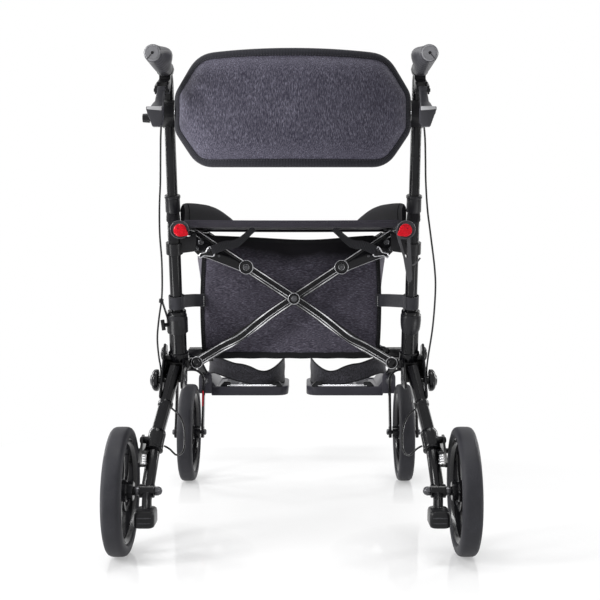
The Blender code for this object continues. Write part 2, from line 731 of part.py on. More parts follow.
def rear_leg():
    """Ribbed upper part, collar, sleeve, lower tube, axle boss and kerb pedal."""
    top, knee = Vector(LEG_TOP), Vector(LEG_KNEE)
    axle = Vector(((BOSS_INNER_X + BOSS_OUTER_X) / 2, REAR_AXLE_Y, WHEEL_RADIUS))
    a, b = LEG_HALF_WIDTH, LEG_HALF_DEPTH
    section = [
        (-a, -0.55 * b),
        (-0.55 * a, -b),
        (0.20 * a, -b),
        (0.26 * a, -b - 0.0012),
        (0.40 * a, -b - 0.0012),
        (0.46 * a, -b),
        (0.60 * a, -b),
        (a, -0.55 * b),
        (a, 0.55 * b),
        (0.55 * a, b),
        (-0.55 * a, b),
        (-a, 0.55 * b),
    ]
    upper = swept([top, knee], section, (1, 0, 0))
    down = (knee - top).normalized()
    collar_middle = leg_point(CHEEK_LOW_Z - 0.0085)
    collar = cylinder(collar_middle - down * 0.004, collar_middle + down * 0.004, LEG_COLLAR_RADIUS)
    sleeve_top = knee - down * (LEG_SLEEVE_LENGTH * 0.55)
    sleeve_low = knee + (axle - knee).normalized() * (LEG_SLEEVE_LENGTH * 0.45)
    sleeve = tube([sleeve_top, knee, sleeve_low], LEG_SLEEVE_RADIUS)
    lower = cylinder(knee, axle, LOWER_LEG_RADIUS)
    boss = cylinder((BOSS_INNER_X, axle.y, axle.z), (BOSS_OUTER_X, axle.y, axle.z), BOSS_RADIUS)
    pin_root = Vector((knee.x, BRAKE_PIVOT[0], BRAKE_PIVOT[1]))
    arm_inner = BRAKE_ARM_X - BRAKE_ARM_THICKNESS / 2
    pin = cylinder(
        pin_root,
        (BRAKE_ARM_X + BRAKE_ARM_THICKNESS / 2 + 0.0005, *BRAKE_PIVOT),
        LEVER_PIN_RADIUS,
    )
    pin_head = cylinder(
        (BRAKE_ARM_X + BRAKE_ARM_THICKNESS / 2 + GAP, *BRAKE_PIVOT),
        (BRAKE_ARM_X + BRAKE_ARM_THICKNESS / 2 + 0.0025, *BRAKE_PIVOT),
        0.005,
        segments=12,
    )
    shoulder = cylinder(pin_root, (arm_inner - GAP, *BRAKE_PIVOT), 0.006, segments=12)
    pedal_x = (BOSS_INNER_X + BOSS_OUTER_X) / 2 - 0.004
    rear = REAR_AXLE_Y - 0.066
    neck = cylinder(
        (pedal_x, axle.y, axle.z),
        (pedal_x, rear + PEDAL_DEPTH * 0.6, PEDAL_Z),
        0.008,
        segments=12,
    )
    pedal = box(
        (pedal_x - PEDAL_WIDTH / 2, rear, PEDAL_Z - PEDAL_HEIGHT / 2),
        (pedal_x + PEDAL_WIDTH / 2, rear + PEDAL_DEPTH, PEDAL_Z + PEDAL_HEIGHT / 2),
        0.0060,
    )
    tab = box(
        (SPRING_X - 0.006, SPRING_Y - 0.006, SPRING_TOP_Z + GAP),
        (SPRING_X + 0.0035, knee.y - 0.008, SPRING_TOP_Z + 0.0030),
    )
    leg = joined(upper, collar, sleeve, lower, boss, shoulder, pin, pin_head, neck, pedal, tab)
    axle_bore = cylinder(
        (BOSS_INNER_X - 0.02, axle.y, axle.z),
        (BOSS_OUTER_X + 0.02, axle.y, axle.z),
        AXLE_RADIUS + GAP,
    )
    bolt = cover_bolt_place()
    bolt_hole = cylinder(bolt - Vector((0.004, 0, 0)), bolt + Vector((0.03, 0, 0)), AXLE_RADIUS + GAP)
    grooves = [
        box(
            (pedal_x - PEDAL_WIDTH, rear + offset - 0.0012, PEDAL_Z + PEDAL_HEIGHT / 2 - 0.0018),
            (pedal_x + PEDAL_WIDTH, rear + offset + 0.0012, PEDAL_Z + PEDAL_HEIGHT),
        )
        for offset in (0.010, 0.017, 0.024)
    ]
    flat = box((CHEEK_OUTER_X - GAP, -0.30, CHEEK_LOW_Z - 0.001), (CHEEK_OUTER_X + 0.02, -0.20, 0.31))
    return cut(leg, axle_bore, bolt_hole, flat, *grooves)


def height_collar():
    """Ring at the top of the upright, with a bore for the handle tube."""
    low = upright_point(UPRIGHT_TOP_Z) + RAKE_DIRECTION * GAP
    high = low + RAKE_DIRECTION * COLLAR_LENGTH
    ring = cylinder(low, high, COLLAR_RADIUS)
    lip = cylinder(
        low + RAKE_DIRECTION * (COLLAR_LENGTH - 0.003),
        high + RAKE_DIRECTION * 0.0015,
        COLLAR_RADIUS + 0.0008,
    )
    bore = cylinder(low - RAKE_DIRECTION * 0.01, high + RAKE_DIRECTION * 0.01, HANDLE_RADIUS + GAP)
    return cut(joined(ring, lip), bore)


# Handles


def handle_corner():
    height = GRIP_AXIS_Z
    return upright_point(height)


def handle_tube():
    corner = handle_corner()
    back = Vector((0, -1, 0))
    half_turn = RAKE_DIRECTION.angle(back) / 2
    reach = GRIP_BEND_RADIUS * math.tan(half_turn)
    path = [upright_point(HANDLE_BOTTOM_Z)]
    start = corner - RAKE_DIRECTION * reach
    normal = (back - RAKE_DIRECTION * back.dot(RAKE_DIRECTION)).normalized()
    centre = start + normal * GRIP_BEND_RADIUS
    steps = 4
    for step in range(steps + 1):
        turn = 2 * half_turn * step / steps
        arm = RAKE_DIRECTION * math.sin(turn) - normal * math.cos(turn)
        path.append(centre + arm * GRIP_BEND_RADIUS)
    path.append(Vector((UPRIGHT_X, GRIP_END_Y + 0.012, GRIP_AXIS_Z)))
    return tube(path, HANDLE_RADIUS)


def grip():
    """Round end, palm wing swelling inwards and upwards, and a bore for the tube."""
    rings = []
    steps = 8
    sides = 12
    wing_angle = math.radians(GRIP_WING_ANGLE)
    for step in range(steps + 1):
        share = step / steps
        y = GRIP_END_Y + GRIP_LENGTH * share
        swell = GRIP_WING * math.sin(math.pi * min(1.0, share * 1.15)) ** 1.4 if share < 0.87 else 0.0
        end_round = GRIP_END_SHARE if step in (0, steps) else 1.0
        ring = []
        for side in range(sides):
            angle = 2 * math.pi * side / sides
            away = math.remainder(angle - wing_angle, 2 * math.pi)
            radius = GRIP_RADIUS * end_round + swell * math.exp(-((away / 0.62) ** 2))
            x, z = radius * math.cos(angle), radius * math.sin(angle)
            ring.append(Vector((UPRIGHT_X + x, y, GRIP_AXIS_Z + z)))
        rings.append(ring)
        if step == 0:
            full = grow_ring(ring, UPRIGHT_X, GRIP_AXIS_Z, 1 / GRIP_END_SHARE)
            rings.append([Vector((p.x, y + 0.0025, p.z)) for p in full])
    solid = skinned(rings)
    bore = cylinder(
        (UPRIGHT_X, GRIP_END_Y + 0.012 - GAP, GRIP_AXIS_Z),
        (UPRIGHT_X, GRIP_END_Y + GRIP_LENGTH + 0.01, GRIP_AXIS_Z),
        HANDLE_RADIUS + GAP,
    )
    return cut(solid, bore)


def grow_ring(ring, x, z, factor):
    return [Vector((x + (p.x - x) * factor, p.y, z + (p.z - z) * factor)) for p in ring]


def lever_bracket():
    """Band around the handle's bend, and two ears that hold the lever's pin."""
    x = UPRIGHT_X
    band_y = handle_corner().y - 0.0290
    band = cylinder(
        (x, band_y - 0.005, GRIP_AXIS_Z),
        (x, band_y + 0.0045, GRIP_AXIS_Z),
        HANDLE_RADIUS + 0.005,
    )
    pivot_y, pivot_z = LEVER_PIVOT
    block = plate(
        [
            (band_y + 0.0045, GRIP_AXIS_Z - 0.004),
            (band_y + 0.0045, GRIP_AXIS_Z - 0.022),
            (pivot_y + 0.022, pivot_z + 0.004),
            (pivot_y + 0.012, pivot_z + 0.0145),
            (band_y - 0.005, GRIP_AXIS_Z - 0.0165),
            (band_y - 0.005, GRIP_AXIS_Z - 0.004),
        ],
        "YZ",
        x - 0.009,
        x + 0.009,
    )
    half_gap = LEVER_ROOT_WIDTH / 2 + GAP
    ears = []
    for sign in (-1, 1):
        inner, outer = sorted((sign * half_gap, sign * (half_gap + EAR_THICKNESS)))
        ears.append(
            plate(
                [
                    (pivot_y + 0.032, pivot_z + 0.012),
                    (pivot_y + 0.020, pivot_z + 0.0160),
                    (pivot_y - 0.004, pivot_z + 0.006),
                    (pivot_y - 0.006, pivot_z - 0.002),
                    (pivot_y, pivot_z - 0.0065),
                    (pivot_y + 0.022, pivot_z - 0.002),
                ],
                "YZ",
                x + inner,
                x + outer,
            )
        )
    outer = half_gap + EAR_THICKNESS
    pin = cylinder(
        (x - outer - 0.0015, pivot_y, pivot_z),
        (x + outer + 0.0015, pivot_y, pivot_z),
        LEVER_PIN_RADIUS,
    )
    start, direction = Vector(CABLE_TOP[0]), (Vector(CABLE_TOP[1]) - Vector(CABLE_TOP[0])).normalized()
    ferrule = cylinder(
        start - direction * 0.010,
        start + direction * 0.005,
        CABLE_RADIUS + 0.0018,
        segments=8,
    )
    body = joined(band, block, *ears, pin, ferrule)
    socket = cylinder(start - direction * GAP, start + direction * 0.01, CABLE_RADIUS + 2 * GAP)
    bore = cylinder((x, band_y - 0.02, GRIP_AXIS_Z), (x, band_y + 0.02, GRIP_AXIS_Z), HANDLE_RADIUS + GAP)
    return cut(body, bore, socket)


def brake_lever():
    """Flared blade from its pin to a deep end with cut-off corners."""
    x = UPRIGHT_X
    pivot_y, pivot_z = LEVER_PIVOT
    points = [
        (pivot_y - 0.001, pivot_z - 0.001, LEVER_ROOT_WIDTH - 0.001),
        (pivot_y - 0.012, pivot_z - 0.011, LEVER_ROOT_WIDTH - 0.001),
        (LEVER_END_Y + 0.032, LEVER_END_Z + 0.0085, LEVER_ROOT_WIDTH + 0.004),
        (LEVER_END_Y + 0.010, LEVER_END_Z - 0.003, LEVER_END_WIDTH - 0.003),
        (LEVER_END_Y - 0.004, LEVER_END_Z - 0.0065, LEVER_END_WIDTH - 0.001),
    ]
    rings = []
    half = LEVER_THICKNESS / 2
    for y, z, width in points:
        w = width / 2
        lift = Vector((0.0, -0.5736, 0.8192)) * half
        middle = Vector((x, y, z))
        across = Vector((1, 0, 0))
        rings.append(
            [
                middle - across * w - lift * 0.6,
                middle - across * w * 0.8 - lift,
                middle + across * w * 0.8 - lift,
                middle + across * w - lift * 0.6,
                middle + across * w + lift * 0.6,
                middle + across * w * 0.8 + lift,
                middle - across * w * 0.8 + lift,
                middle - across * w + lift * 0.6,
            ]
        )
    blade = skinned(rings)
    eye = cylinder(
        (x - LEVER_ROOT_WIDTH / 2, pivot_y, pivot_z),
        (x + LEVER_ROOT_WIDTH / 2, pivot_y, pivot_z),
        0.0062,
    )
    w, h = LEVER_END_WIDTH / 2, LEVER_END_HEIGHT
    end = plate(
        [
            (x - w, LEVER_END_Z - 0.001),
            (x - w, LEVER_END_Z - 0.74 * h),
            (x - 0.70 * w, LEVER_END_Z - h),
            (x + 0.25 * w, LEVER_END_Z - h),
            (x + w, LEVER_END_Z - 0.12 * h),
            (x + w, LEVER_END_Z - 0.001),
            (x + 0.92 * w, LEVER_END_Z),
            (x - 0.92 * w, LEVER_END_Z),
        ],
        "XZ",
        LEVER_END_Y - 0.010,
        LEVER_END_Y + 0.002,
    )
    lever = joined(blade, eye, end)
    hole = cylinder((x - 0.02, pivot_y, pivot_z), (x + 0.02, pivot_y, pivot_z), LEVER_PIN_RADIUS + GAP)
    return cut(lever, hole)


# Backrest


def backrest_bracket():
    """Block around the handle tube with a blind bore for the backrest's pivot stub."""
    low = upright_point(BACK_PIVOT_Z - BRACKET_HEIGHT / 2)
    high = upright_point(BACK_PIVOT_Z + BRACKET_HEIGHT / 2)
    w = BRACKET_HALF_WIDTH
    block = plate(
        [
            (low.y + 0.0125, low.z),
            (high.y + 0.0125, high.z),
            (high.y - 0.011, high.z),
            (BACK_PIVOT_Y - 0.008, BACK_PIVOT_Z + 0.008),
            (BACK_PIVOT_Y - 0.008, BACK_PIVOT_Z - 0.008),
            (low.y - 0.012, low.z),
        ],
        "YZ",
        UPRIGHT_X - w,
        UPRIGHT_X + w,
    )
    tube_bore = cylinder(low - RAKE_DIRECTION * 0.03, high + RAKE_DIRECTION * 0.03, HANDLE_RADIUS + GAP)
    stub_bore = cylinder(
        (UPRIGHT_X - w - 0.01, BACK_PIVOT_Y, BACK_PIVOT_Z),
        (UPRIGHT_X + 0.004, BACK_PIVOT_Y, BACK_PIVOT_Z),
        BAND_STUB_RADIUS + TURN_GAP,
    )
    return cut(block, tube_bore, stub_bore)


def backrest_curve(share):
    """The backrest's middle line in plan, share from -1 to 1, as an arc that bulges rearwards."""
    radius = (BACK_HALF_WIDTH**2 + BACK_BULGE**2) / (2 * BACK_BULGE)
    angle = math.asin(BACK_HALF_WIDTH / radius) * share
    x = radius * math.sin(angle)
    y = BACK_PIVOT_Y - (radius * math.cos(angle) - (radius - BACK_BULGE))
    return Vector((x, y, BACK_PIVOT_Z)), Vector((math.sin(angle), -math.cos(angle), 0.0))


def backrest_half_height(x):
    x = abs(x)
    if x <= BACK_TOP_HALF_WIDTH:
        return BACK_HALF_HEIGHT
    share = (x - BACK_TOP_HALF_WIDTH) / (BACK_HALF_WIDTH - BACK_TOP_HALF_WIDTH)
    return BACK_HALF_HEIGHT + (BACK_TIP_HALF_HEIGHT - BACK_HALF_HEIGHT) * share


def backrest_pad(columns=12, rows=6):
    """Crowned cushion with drawn-in sides, and a tunnel for the band."""
    bm = bmesh.new()
    faces = {}
    for face in (-1, 1):
        grid = []
        for i in range(columns + 1):
            share = -1 + 2 * i / columns
            middle, normal = backrest_curve(share)
            half_height = backrest_half_height(middle.x)
            column = []
            for j in range(rows + 1):
                rise = -1 + 2 * j / rows
                crown = (1 - abs(share) ** 3) * (1 - abs(rise) ** 2.6)
                thickness = BACK_EDGE + (BACK_CROWN - BACK_EDGE) * crown
                column.append(
                    bm.verts.new(middle + normal * (face * thickness / 2) + UP * rise * half_height)
                )
            grid.append(column)
        faces[face] = grid
        for i in range(columns):
            for j in range(rows):
                bm.faces.new((grid[i][j], grid[i + 1][j], grid[i + 1][j + 1], grid[i][j + 1]))
    back, front = faces[-1], faces[1]
    for i in range(columns):
        for j in (0, rows):
            bm.faces.new((back[i][j], back[i + 1][j], front[i + 1][j], front[i][j]))
    for j in range(rows):
        for i in (0, columns):
            bm.faces.new((back[i][j], back[i][j + 1], front[i][j + 1], front[i][j]))
    pad = solid_from_bmesh(bm)
    return cut(pad, band_strip(GAP, 1.04), *band_stubs(BACK_HALF_WIDTH - 0.004, BAND_STUB_RADIUS + GAP))


def band_stubs(inner, radius):
    return [
        cylinder(
            (sign * inner, BACK_PIVOT_Y, BACK_PIVOT_Z),
            (sign * (UPRIGHT_X + 0.003), BACK_PIVOT_Y, BACK_PIVOT_Z),
            radius,
        )
        for sign in (-1, 1)
    ]


def band_strip(clearance, reach, steps=12):
    """Strip along the backrest's middle line, with straight ends that reach past the cushion."""
    t, h = BAND_THICKNESS / 2 + clearance, BAND_HEIGHT / 2 + clearance
    path = [backrest_curve(-1 + 2 * i / steps)[0] for i in range(steps + 1)]
    past = (1 - reach) * steps / 2
    path[0], path[-1] = path[0].lerp(path[1], past), path[-1].lerp(path[-2], past)
    return swept(path, [(-h, -t), (h, -t), (h, t), (-h, t)], (0, 0, 1))


def backrest_band():
    """Springy strip with a round pivot stub at each end."""
    return joined(band_strip(0.0, 1.006), *band_stubs(BACK_HALF_WIDTH - 0.004 + GAP, BAND_STUB_RADIUS))


def backrest_plunger():
    """Sprung lock on the outer face of the left bracket: barrel, then a ribbed knob."""
    face = -(UPRIGHT_X + BRACKET_HALF_WIDTH + GAP)
    y, z = upright_point(0.7095).y + 0.001, 0.7095
    barrel = cylinder((face, y, z), (face - 0.0215, y, z), 0.0055)
    knob = cylinder((face - 0.0210, y, z), (face - 0.0325, y, z), 0.0080, 0.0072, segments=12)
    return joined(barrel, knob)


# Cross frame


def cross_point(side, arm, y):
    """A point on a bar that leans to one side; arm is measured up from the crossing."""
    return Vector((side * arm * CROSS_COS, y, CROSS_CENTRE_Z + arm * CROSS_SIN))


def cross_bar(side, y, grooved):
    """One bar of the cross, slightly kinked below the crossing, with its discs; the rear one is grooved."""
    w, t, g = BAR_WIDTH / 2, BAR_THICKNESS / 2, BAR_GROOVE
    section = [(-w, -t), (w, -t), (w, t), (-w, t)]
    if grooved:
        section = [
            (-w, -t),
            (-0.58 * w, -t),
            (-0.50 * w, -t + g),
            (-0.14 * w, -t + g),
            (-0.06 * w, -t),
            (0.22 * w, -t),
            (0.30 * w, -t + g),
            (0.62 * w, -t + g),
            (0.70 * w, -t),
            (w, -t),
            (w, t),
            (-w, t),
        ]
    kink = cross_point(side, -0.62 * LOWER_ARM, y) + Vector((side * CROSS_SIN, 0, -CROSS_COS)) * 0.003
    bend = cross_point(side, -0.15 * LOWER_ARM, y)
    path = [cross_point(side, -LOWER_ARM, y), kink, bend, cross_point(side, UPPER_ARM - 0.007, y)]
    pieces = [swept(path, section, (-side * CROSS_SIN, 0, CROSS_COS))]
    discs = [
        (-LOWER_ARM, DISC_RADIUS, t - 0.0004, -t + 0.0004),
        (0.0, DISC_RADIUS, t - 0.0004, -t + 0.0004),
    ]
    if grooved:
        discs.append((MIDDLE_DISC_ARM, DISC_RADIUS, 0.0, -t - 0.001))
        discs.append((MIDDLE_DISC_ARM, 0.0045, 0.0, -t - 0.0035))
    for arm, radius, front, rear in discs:
        place = cross_point(side, arm, y)
        pieces.append(cylinder(place + Vector((0, front, 0)), place + Vector((0, rear, 0)), radius))
    return pieces


def brace(side, y):
    """The dark gusset under the rail and the strap that runs from it to the bar's middle disc."""
    mid = cross_point(side, MIDDLE_DISC_ARM, y)
    low, high = y - BAR_THICKNESS / 2 - 0.0008, y - BAR_THICKNESS / 2 + 0.003
    strap = plate(
        [
            (mid.x, mid.z + 0.006),
            (mid.x, mid.z - 0.009),
            (side * 0.138, RAIL_Z - 0.047),
            (side * 0.160, RAIL_Z - 0.043),
            (side * 0.163, RAIL_Z - 0.030),
            (side * 0.150, RAIL_Z - 0.022),
        ],
        "XZ",
        low,
        high,
    )
    bolts = [
        cylinder(
            (side * x, low + 0.0015, RAIL_Z + z),
            (side * x, low - 0.0022, RAIL_Z + z),
            radius,
            segments=8,
        )
        for x, z, radius in ((0.1445, -0.031, 0.0042), (0.1565, -0.038, 0.0028), (0.1535, -0.0262, 0.0028))
    ]
    return [strap] + bolts


def cross_half(side, shift, stud):
    """Rear bar, front bar and seat rail of one half; the rail is on the side that the bars lean to."""
    rail = cylinder(
        (side * RAIL_X, RAIL_REAR_Y, RAIL_Z),
        (side * RAIL_X, RAIL_FRONT_Y, RAIL_Z),
        RAIL_RADIUS,
    )
    pieces = [rail]
    for cross_y in (REAR_CROSS_Y, FRONT_CROSS_Y):
        pieces += cross_bar(side, cross_y + shift, cross_y == REAR_CROSS_Y)
    pieces += brace(side, REAR_CROSS_Y + shift)
    if stud:
        pieces += front_stud()
    half = joined(*pieces)
    places = [(cross_y, -LOWER_ARM) for cross_y in (REAR_CROSS_Y, FRONT_CROSS_Y)] + [(REAR_CROSS_Y, 0.0)]
    if not stud:
        places.append((FRONT_CROSS_Y, 0.0))
    bores = []
    for cross_y, arm in places:
        place = cross_point(side, arm, cross_y + shift)
        reach = Vector((0, BAR_THICKNESS, 0))
        bores.append(cylinder(place - reach, place + reach, CROSS_PIN_RADIUS + TURN_GAP))
    neck = cylinder(
        (side * RAIL_X, RAIL_REAR_Y - 0.01, RAIL_Z),
        (side * RAIL_X, RAIL_REAR_Y + 0.015, RAIL_Z),
        RAIL_BORE_RADIUS,
    )
    return cut(half, *bores, neck)


def pin_head(face, away):
    """Riveted head on a face of the crossing, drawn towards the direction that leads away from the bars."""
    start = (0, face + away * GAP, CROSS_CENTRE_Z)
    return cylinder(start, (0, face + away * PIN_HEAD_LENGTH, CROSS_CENTRE_Z), *PIN_HEAD_RADII)


def front_stud():
    """The riveted stud on one front bar that the other front bar turns on."""
    face = FRONT_CROSS_Y + BAR_SPACING / 2 + BAR_THICKNESS / 2
    root = (0, FRONT_CROSS_Y - BAR_SPACING / 2, CROSS_CENTRE_Z)
    return [
        cylinder(root, (0, face + 0.002, CROSS_CENTRE_Z), CROSS_PIN_RADIUS),
        pin_head(face, 1),
    ]


def cross_pin(cross_y):
    rear = cross_y - BAR_SPACING / 2 - BAR_THICKNESS / 2
    front = cross_y + BAR_SPACING / 2 + BAR_THICKNESS / 2
    pin = cylinder((0, rear - 0.002, CROSS_CENTRE_Z), (0, front + 0.002, CROSS_CENTRE_Z), CROSS_PIN_RADIUS)
    return joined(pin, pin_head(rear, -1), pin_head(front, 1))


def rail_end():
    """Plug in the rail's rear end, with the egg-shaped holder of the reflector."""
    holder_y = RAIL_REAR_Y - 0.0145
    outline = reflector_outline(REFLECTOR_RADIUS)
    holder = plate(outline, "XZ", holder_y, holder_y + 0.006)
    plug_end = (RAIL_X, RAIL_REAR_Y + 0.014, RAIL_Z)
    plug = cylinder((RAIL_X, holder_y + 0.003, RAIL_Z), plug_end, RAIL_BORE_RADIUS - GAP)
    neck = cylinder(
        (RAIL_X, holder_y + 0.003, RAIL_Z),
        (RAIL_X, RAIL_REAR_Y - GAP, RAIL_Z),
        RAIL_NECK_RADIUS,
    )
    return joined(holder, plug, neck)


def reflector_outline(radius, sides=16):
    """Round, with the outer lower part drawn out a little."""
    points = []
    for side in range(sides):
        angle = 2 * math.pi * side / sides
        drawn = 1.0 + 0.10 * max(0.0, math.cos(angle - math.radians(215))) ** 2
        points.append(
            (
                RAIL_X + REFLECTOR_OFFSET + radius * drawn * math.cos(angle),
                RAIL_Z + radius * drawn * math.sin(angle),
            )
        )
    return points


def reflector():
    """Red teardrop lens on the holder's rear face."""
    face = RAIL_REAR_Y - 0.0145 - GAP
    centre = (RAIL_X + REFLECTOR_OFFSET + 0.0015, RAIL_Z + 0.0015)
    tip = (centre[0] - 0.0135, centre[1] - 0.0085)
    outline = arc(centre, 0.0095, -75, 170, 14) + [tip]
    return plate(outline, "XZ", face - 0.0022, face)


def rail_bracket():
    """Clamp on the upright, with a saddle that the open seat rail rests in."""
    middle = upright_point(RAIL_Z - 0.030)
    clamp = cylinder(
        middle - RAKE_DIRECTION * 0.010,
        middle + RAKE_DIRECTION * 0.010,
        UPRIGHT_RADIUS + 0.004,
    )
    y0, y1 = middle.y - 0.006, middle.y + 0.006
    arm = plate(
        [
            (UPRIGHT_X - 0.004, RAIL_Z - 0.040),
            (RAIL_X - 0.010, RAIL_Z - 0.036),
            (RAIL_X - 0.0135, RAIL_Z - 0.026),
            (RAIL_X - 0.0135, RAIL_Z - 0.006),
            (RAIL_X - 0.004, RAIL_Z + 0.000),
            (UPRIGHT_X - 0.008, RAIL_Z - 0.012),
            (UPRIGHT_X - 0.004, RAIL_Z - 0.020),
        ],
        "XZ",
        y0,
        y1,
    )
    bracket = joined(clamp, arm)
    bore = cylinder(middle - RAKE_DIRECTION * 0.03, middle + RAKE_DIRECTION * 0.03, UPRIGHT_RADIUS + GAP)
    sleeve_z = RAIL_Z + SEAT_SLEEVE_RISE
    saddle = cylinder(
        (RAIL_X, y0 - 0.01, sleeve_z),
        (RAIL_X, y1 + 0.01, sleeve_z),
        SEAT_SLEEVE_RADIUS + 2 * GAP,
    )
    above = box(
        (RAIL_X - 0.03, y0 - 0.01, RAIL_Z - 0.003),
        (RAIL_X + SEAT_SLEEVE_RADIUS + 2 * GAP, y1 + 0.01, RAIL_Z + 0.02),
    )
    return cut(bracket, bore, saddle, above)


def fold_latch():
    """Tapered lever that turns on the right rail end's neck, with a wire hook."""
    y0 = RAIL_REAR_Y - 0.0072
    y1 = y0 + 0.0062
    x, z = RAIL_X, RAIL_Z
    lever = plate(
        [
            (x - 0.0120, z - 0.004),
            (x + 0.0010, z - 0.045),
            (x + 0.0080, z - LATCH_LENGTH),
            (x + 0.0125, z - LATCH_LENGTH - 0.002),
            (x + 0.0160, z - LATCH_LENGTH + 0.003),
            (x + 0.0145, z - 0.050),
            (x + 0.0120, z - 0.004),
        ],
        "XZ",
        y0 + 0.001,
        y1 - 0.001,
    )
    eye = cylinder((x, y0, z), (x, y1, z), 0.0122)
    hook = tube(
        smooth_route(
            [
                (x + 0.0085, y0 + 0.003, z - 0.058),
                (x + 0.0165, y0 + 0.003, z - 0.0585),
                (x + 0.0250, y0 + 0.003, z - 0.052),
                (x + 0.0290, y0 + 0.003, z - 0.0465),
            ],
            0.004,
        ),
        0.0014,
        2,
    )
    latch = joined(lever, eye, hook)
    bore = cylinder((x, y0 - 0.01, z), (x, y1 + 0.01, z), RAIL_NECK_RADIUS + GAP)
    window = plate(
        [
            (x - 0.0035, z - 0.016),
            (x + 0.0050, z - 0.046),
            (x + 0.0085, z - 0.046),
            (x + 0.0070, z - 0.016),
        ],
        "XZ",
        y0 - 0.01,
        y1 + 0.01,
    )
    return cut(latch, bore, window)


# Soft pieces


def seat():
    """Sling between the rails: a sagging sheet with a sleeve round each rail, notched for the bars."""
    half = RAIL_X
    top, bottom = [], []
    for i in range(SEAT_STRIPS + 1):
        x = half * (-1 + 2 * i / SEAT_STRIPS)
        top.append((x, seat_top(x)))
        bottom.append((x, seat_top(x) - SEAT_THICKNESS))
    sheet = plate(bottom + top[::-1], "XZ", SEAT_REAR_Y, SEAT_FRONT_Y)
    sleeve_z = RAIL_Z + SEAT_SLEEVE_RISE
    sleeves = [
        cylinder(
            (sign * half, SEAT_REAR_Y, sleeve_z),
            (sign * half, SEAT_FRONT_Y, sleeve_z),
            SEAT_SLEEVE_RADIUS,
        )
        for sign in (-1, 1)
    ]
    sling = joined(sheet, *sleeves)
    tunnels = [
        cylinder(
            (sign * half, SEAT_REAR_Y - 0.01, RAIL_Z),
            (sign * half, SEAT_FRONT_Y + 0.01, RAIL_Z),
            RAIL_RADIUS + GAP,
        )
        for sign in (-1, 1)
    ]
    notches = []
    for cross_y in (REAR_CROSS_Y, FRONT_CROSS_Y):
        low = cross_y - BAR_SPACING / 2 - BAR_THICKNESS / 2 - 0.004
        high = cross_y + BAR_SPACING / 2 + BAR_THICKNESS / 2 + 0.002
        for sign in (-1, 1):
            inner, outer = sorted((sign * (half - 0.028), sign * (half + 0.012)))
            notches.append(box((inner, low, RAIL_Z - 0.03), (outer, high, RAIL_Z + 0.0045)))
    return cut(sling, *tunnels, *notches)


def seat_top(x):
    """Height of the sling's upper face, which is made of flat strips."""
    place = (x / RAIL_X + 1) / 2 * SEAT_STRIPS
    strip = max(0, min(int(place), SEAT_STRIPS - 1))
    shares = (-1 + 2 * k / SEAT_STRIPS for k in (strip, strip + 1))
    sags = [SEAT_SAG * (1 - share * share) for share in shares]
    rail_top = RAIL_Z + SEAT_SLEEVE_RISE + SEAT_SLEEVE_RADIUS
    return rail_top - sags[0] - (sags[1] - sags[0]) * (place - strip)


def side_guard():
    """Padded wing that stands on the sling and rises from its front inner corner to the upright."""
    stations = [
        (0.1860, -0.262, 0.0300, 0.0040),
        (0.1800, -0.240, 0.0310, 0.0055),
        (0.1710, -0.205, 0.0320, 0.0065),
        (0.1590, -0.160, 0.0320, 0.0070),
        (0.1440, -0.110, 0.0275, 0.0065),
        (0.1290, -0.060, 0.0165, 0.0055),
        (0.1190, -0.030, 0.0080, 0.0035),
    ]
    rings = []
    for x, y, height, half in stations:
        shape = [
            (-0.9, 0.0),
            (0.9, 0.0),
            (1.0, 0.55),
            (0.55, 0.92),
            (0.0, 1.0),
            (-0.55, 0.92),
            (-1.0, 0.55),
        ]
        floor = max(seat_top(x - half), seat_top(x + half)) + GAP
        rings.append([Vector((x + a * half, y, floor + b * height)) for a, b in shape])
    return skinned(rings)


def bag():
    """Open-topped bag with a strap round each upright."""
    w, low, high = BAG_HALF_WIDTH, BAG_BOTTOM_Z, BAG_TOP_Z
    shell = plate(
        [
            (-w, high),
            (-w - 0.004, (low + high) / 2),
            (-w + 0.006, low + 0.012),
            (-w + 0.018, low),
            (w - 0.018, low),
            (w - 0.006, low + 0.012),
            (w + 0.004, (low + high) / 2),
            (w, high),
        ],
        "XZ",
        BAG_REAR_Y,
        BAG_FRONT_Y,
    )
    inside = plate(
        [
            (-w + BAG_WALL, high + 0.02),
            (-w - 0.004 + BAG_WALL, (low + high) / 2),
            (-w + 0.006 + BAG_WALL, low + 0.013 + BAG_WALL),
            (-w + 0.018 + BAG_WALL, low + BAG_WALL),
            (w - 0.018 - BAG_WALL, low + BAG_WALL),
            (w - 0.006 - BAG_WALL, low + 0.013 + BAG_WALL),
            (w + 0.004 - BAG_WALL, (low + high) / 2),
            (w - BAG_WALL, high + 0.02),
        ],
        "XZ",
        BAG_REAR_Y + BAG_WALL,
        BAG_FRONT_Y - BAG_WALL,
    )
    straps = []
    for sign in (-1, 1):
        straps += bag_strap(sign)
    return joined(cut(shell, inside), *straps)


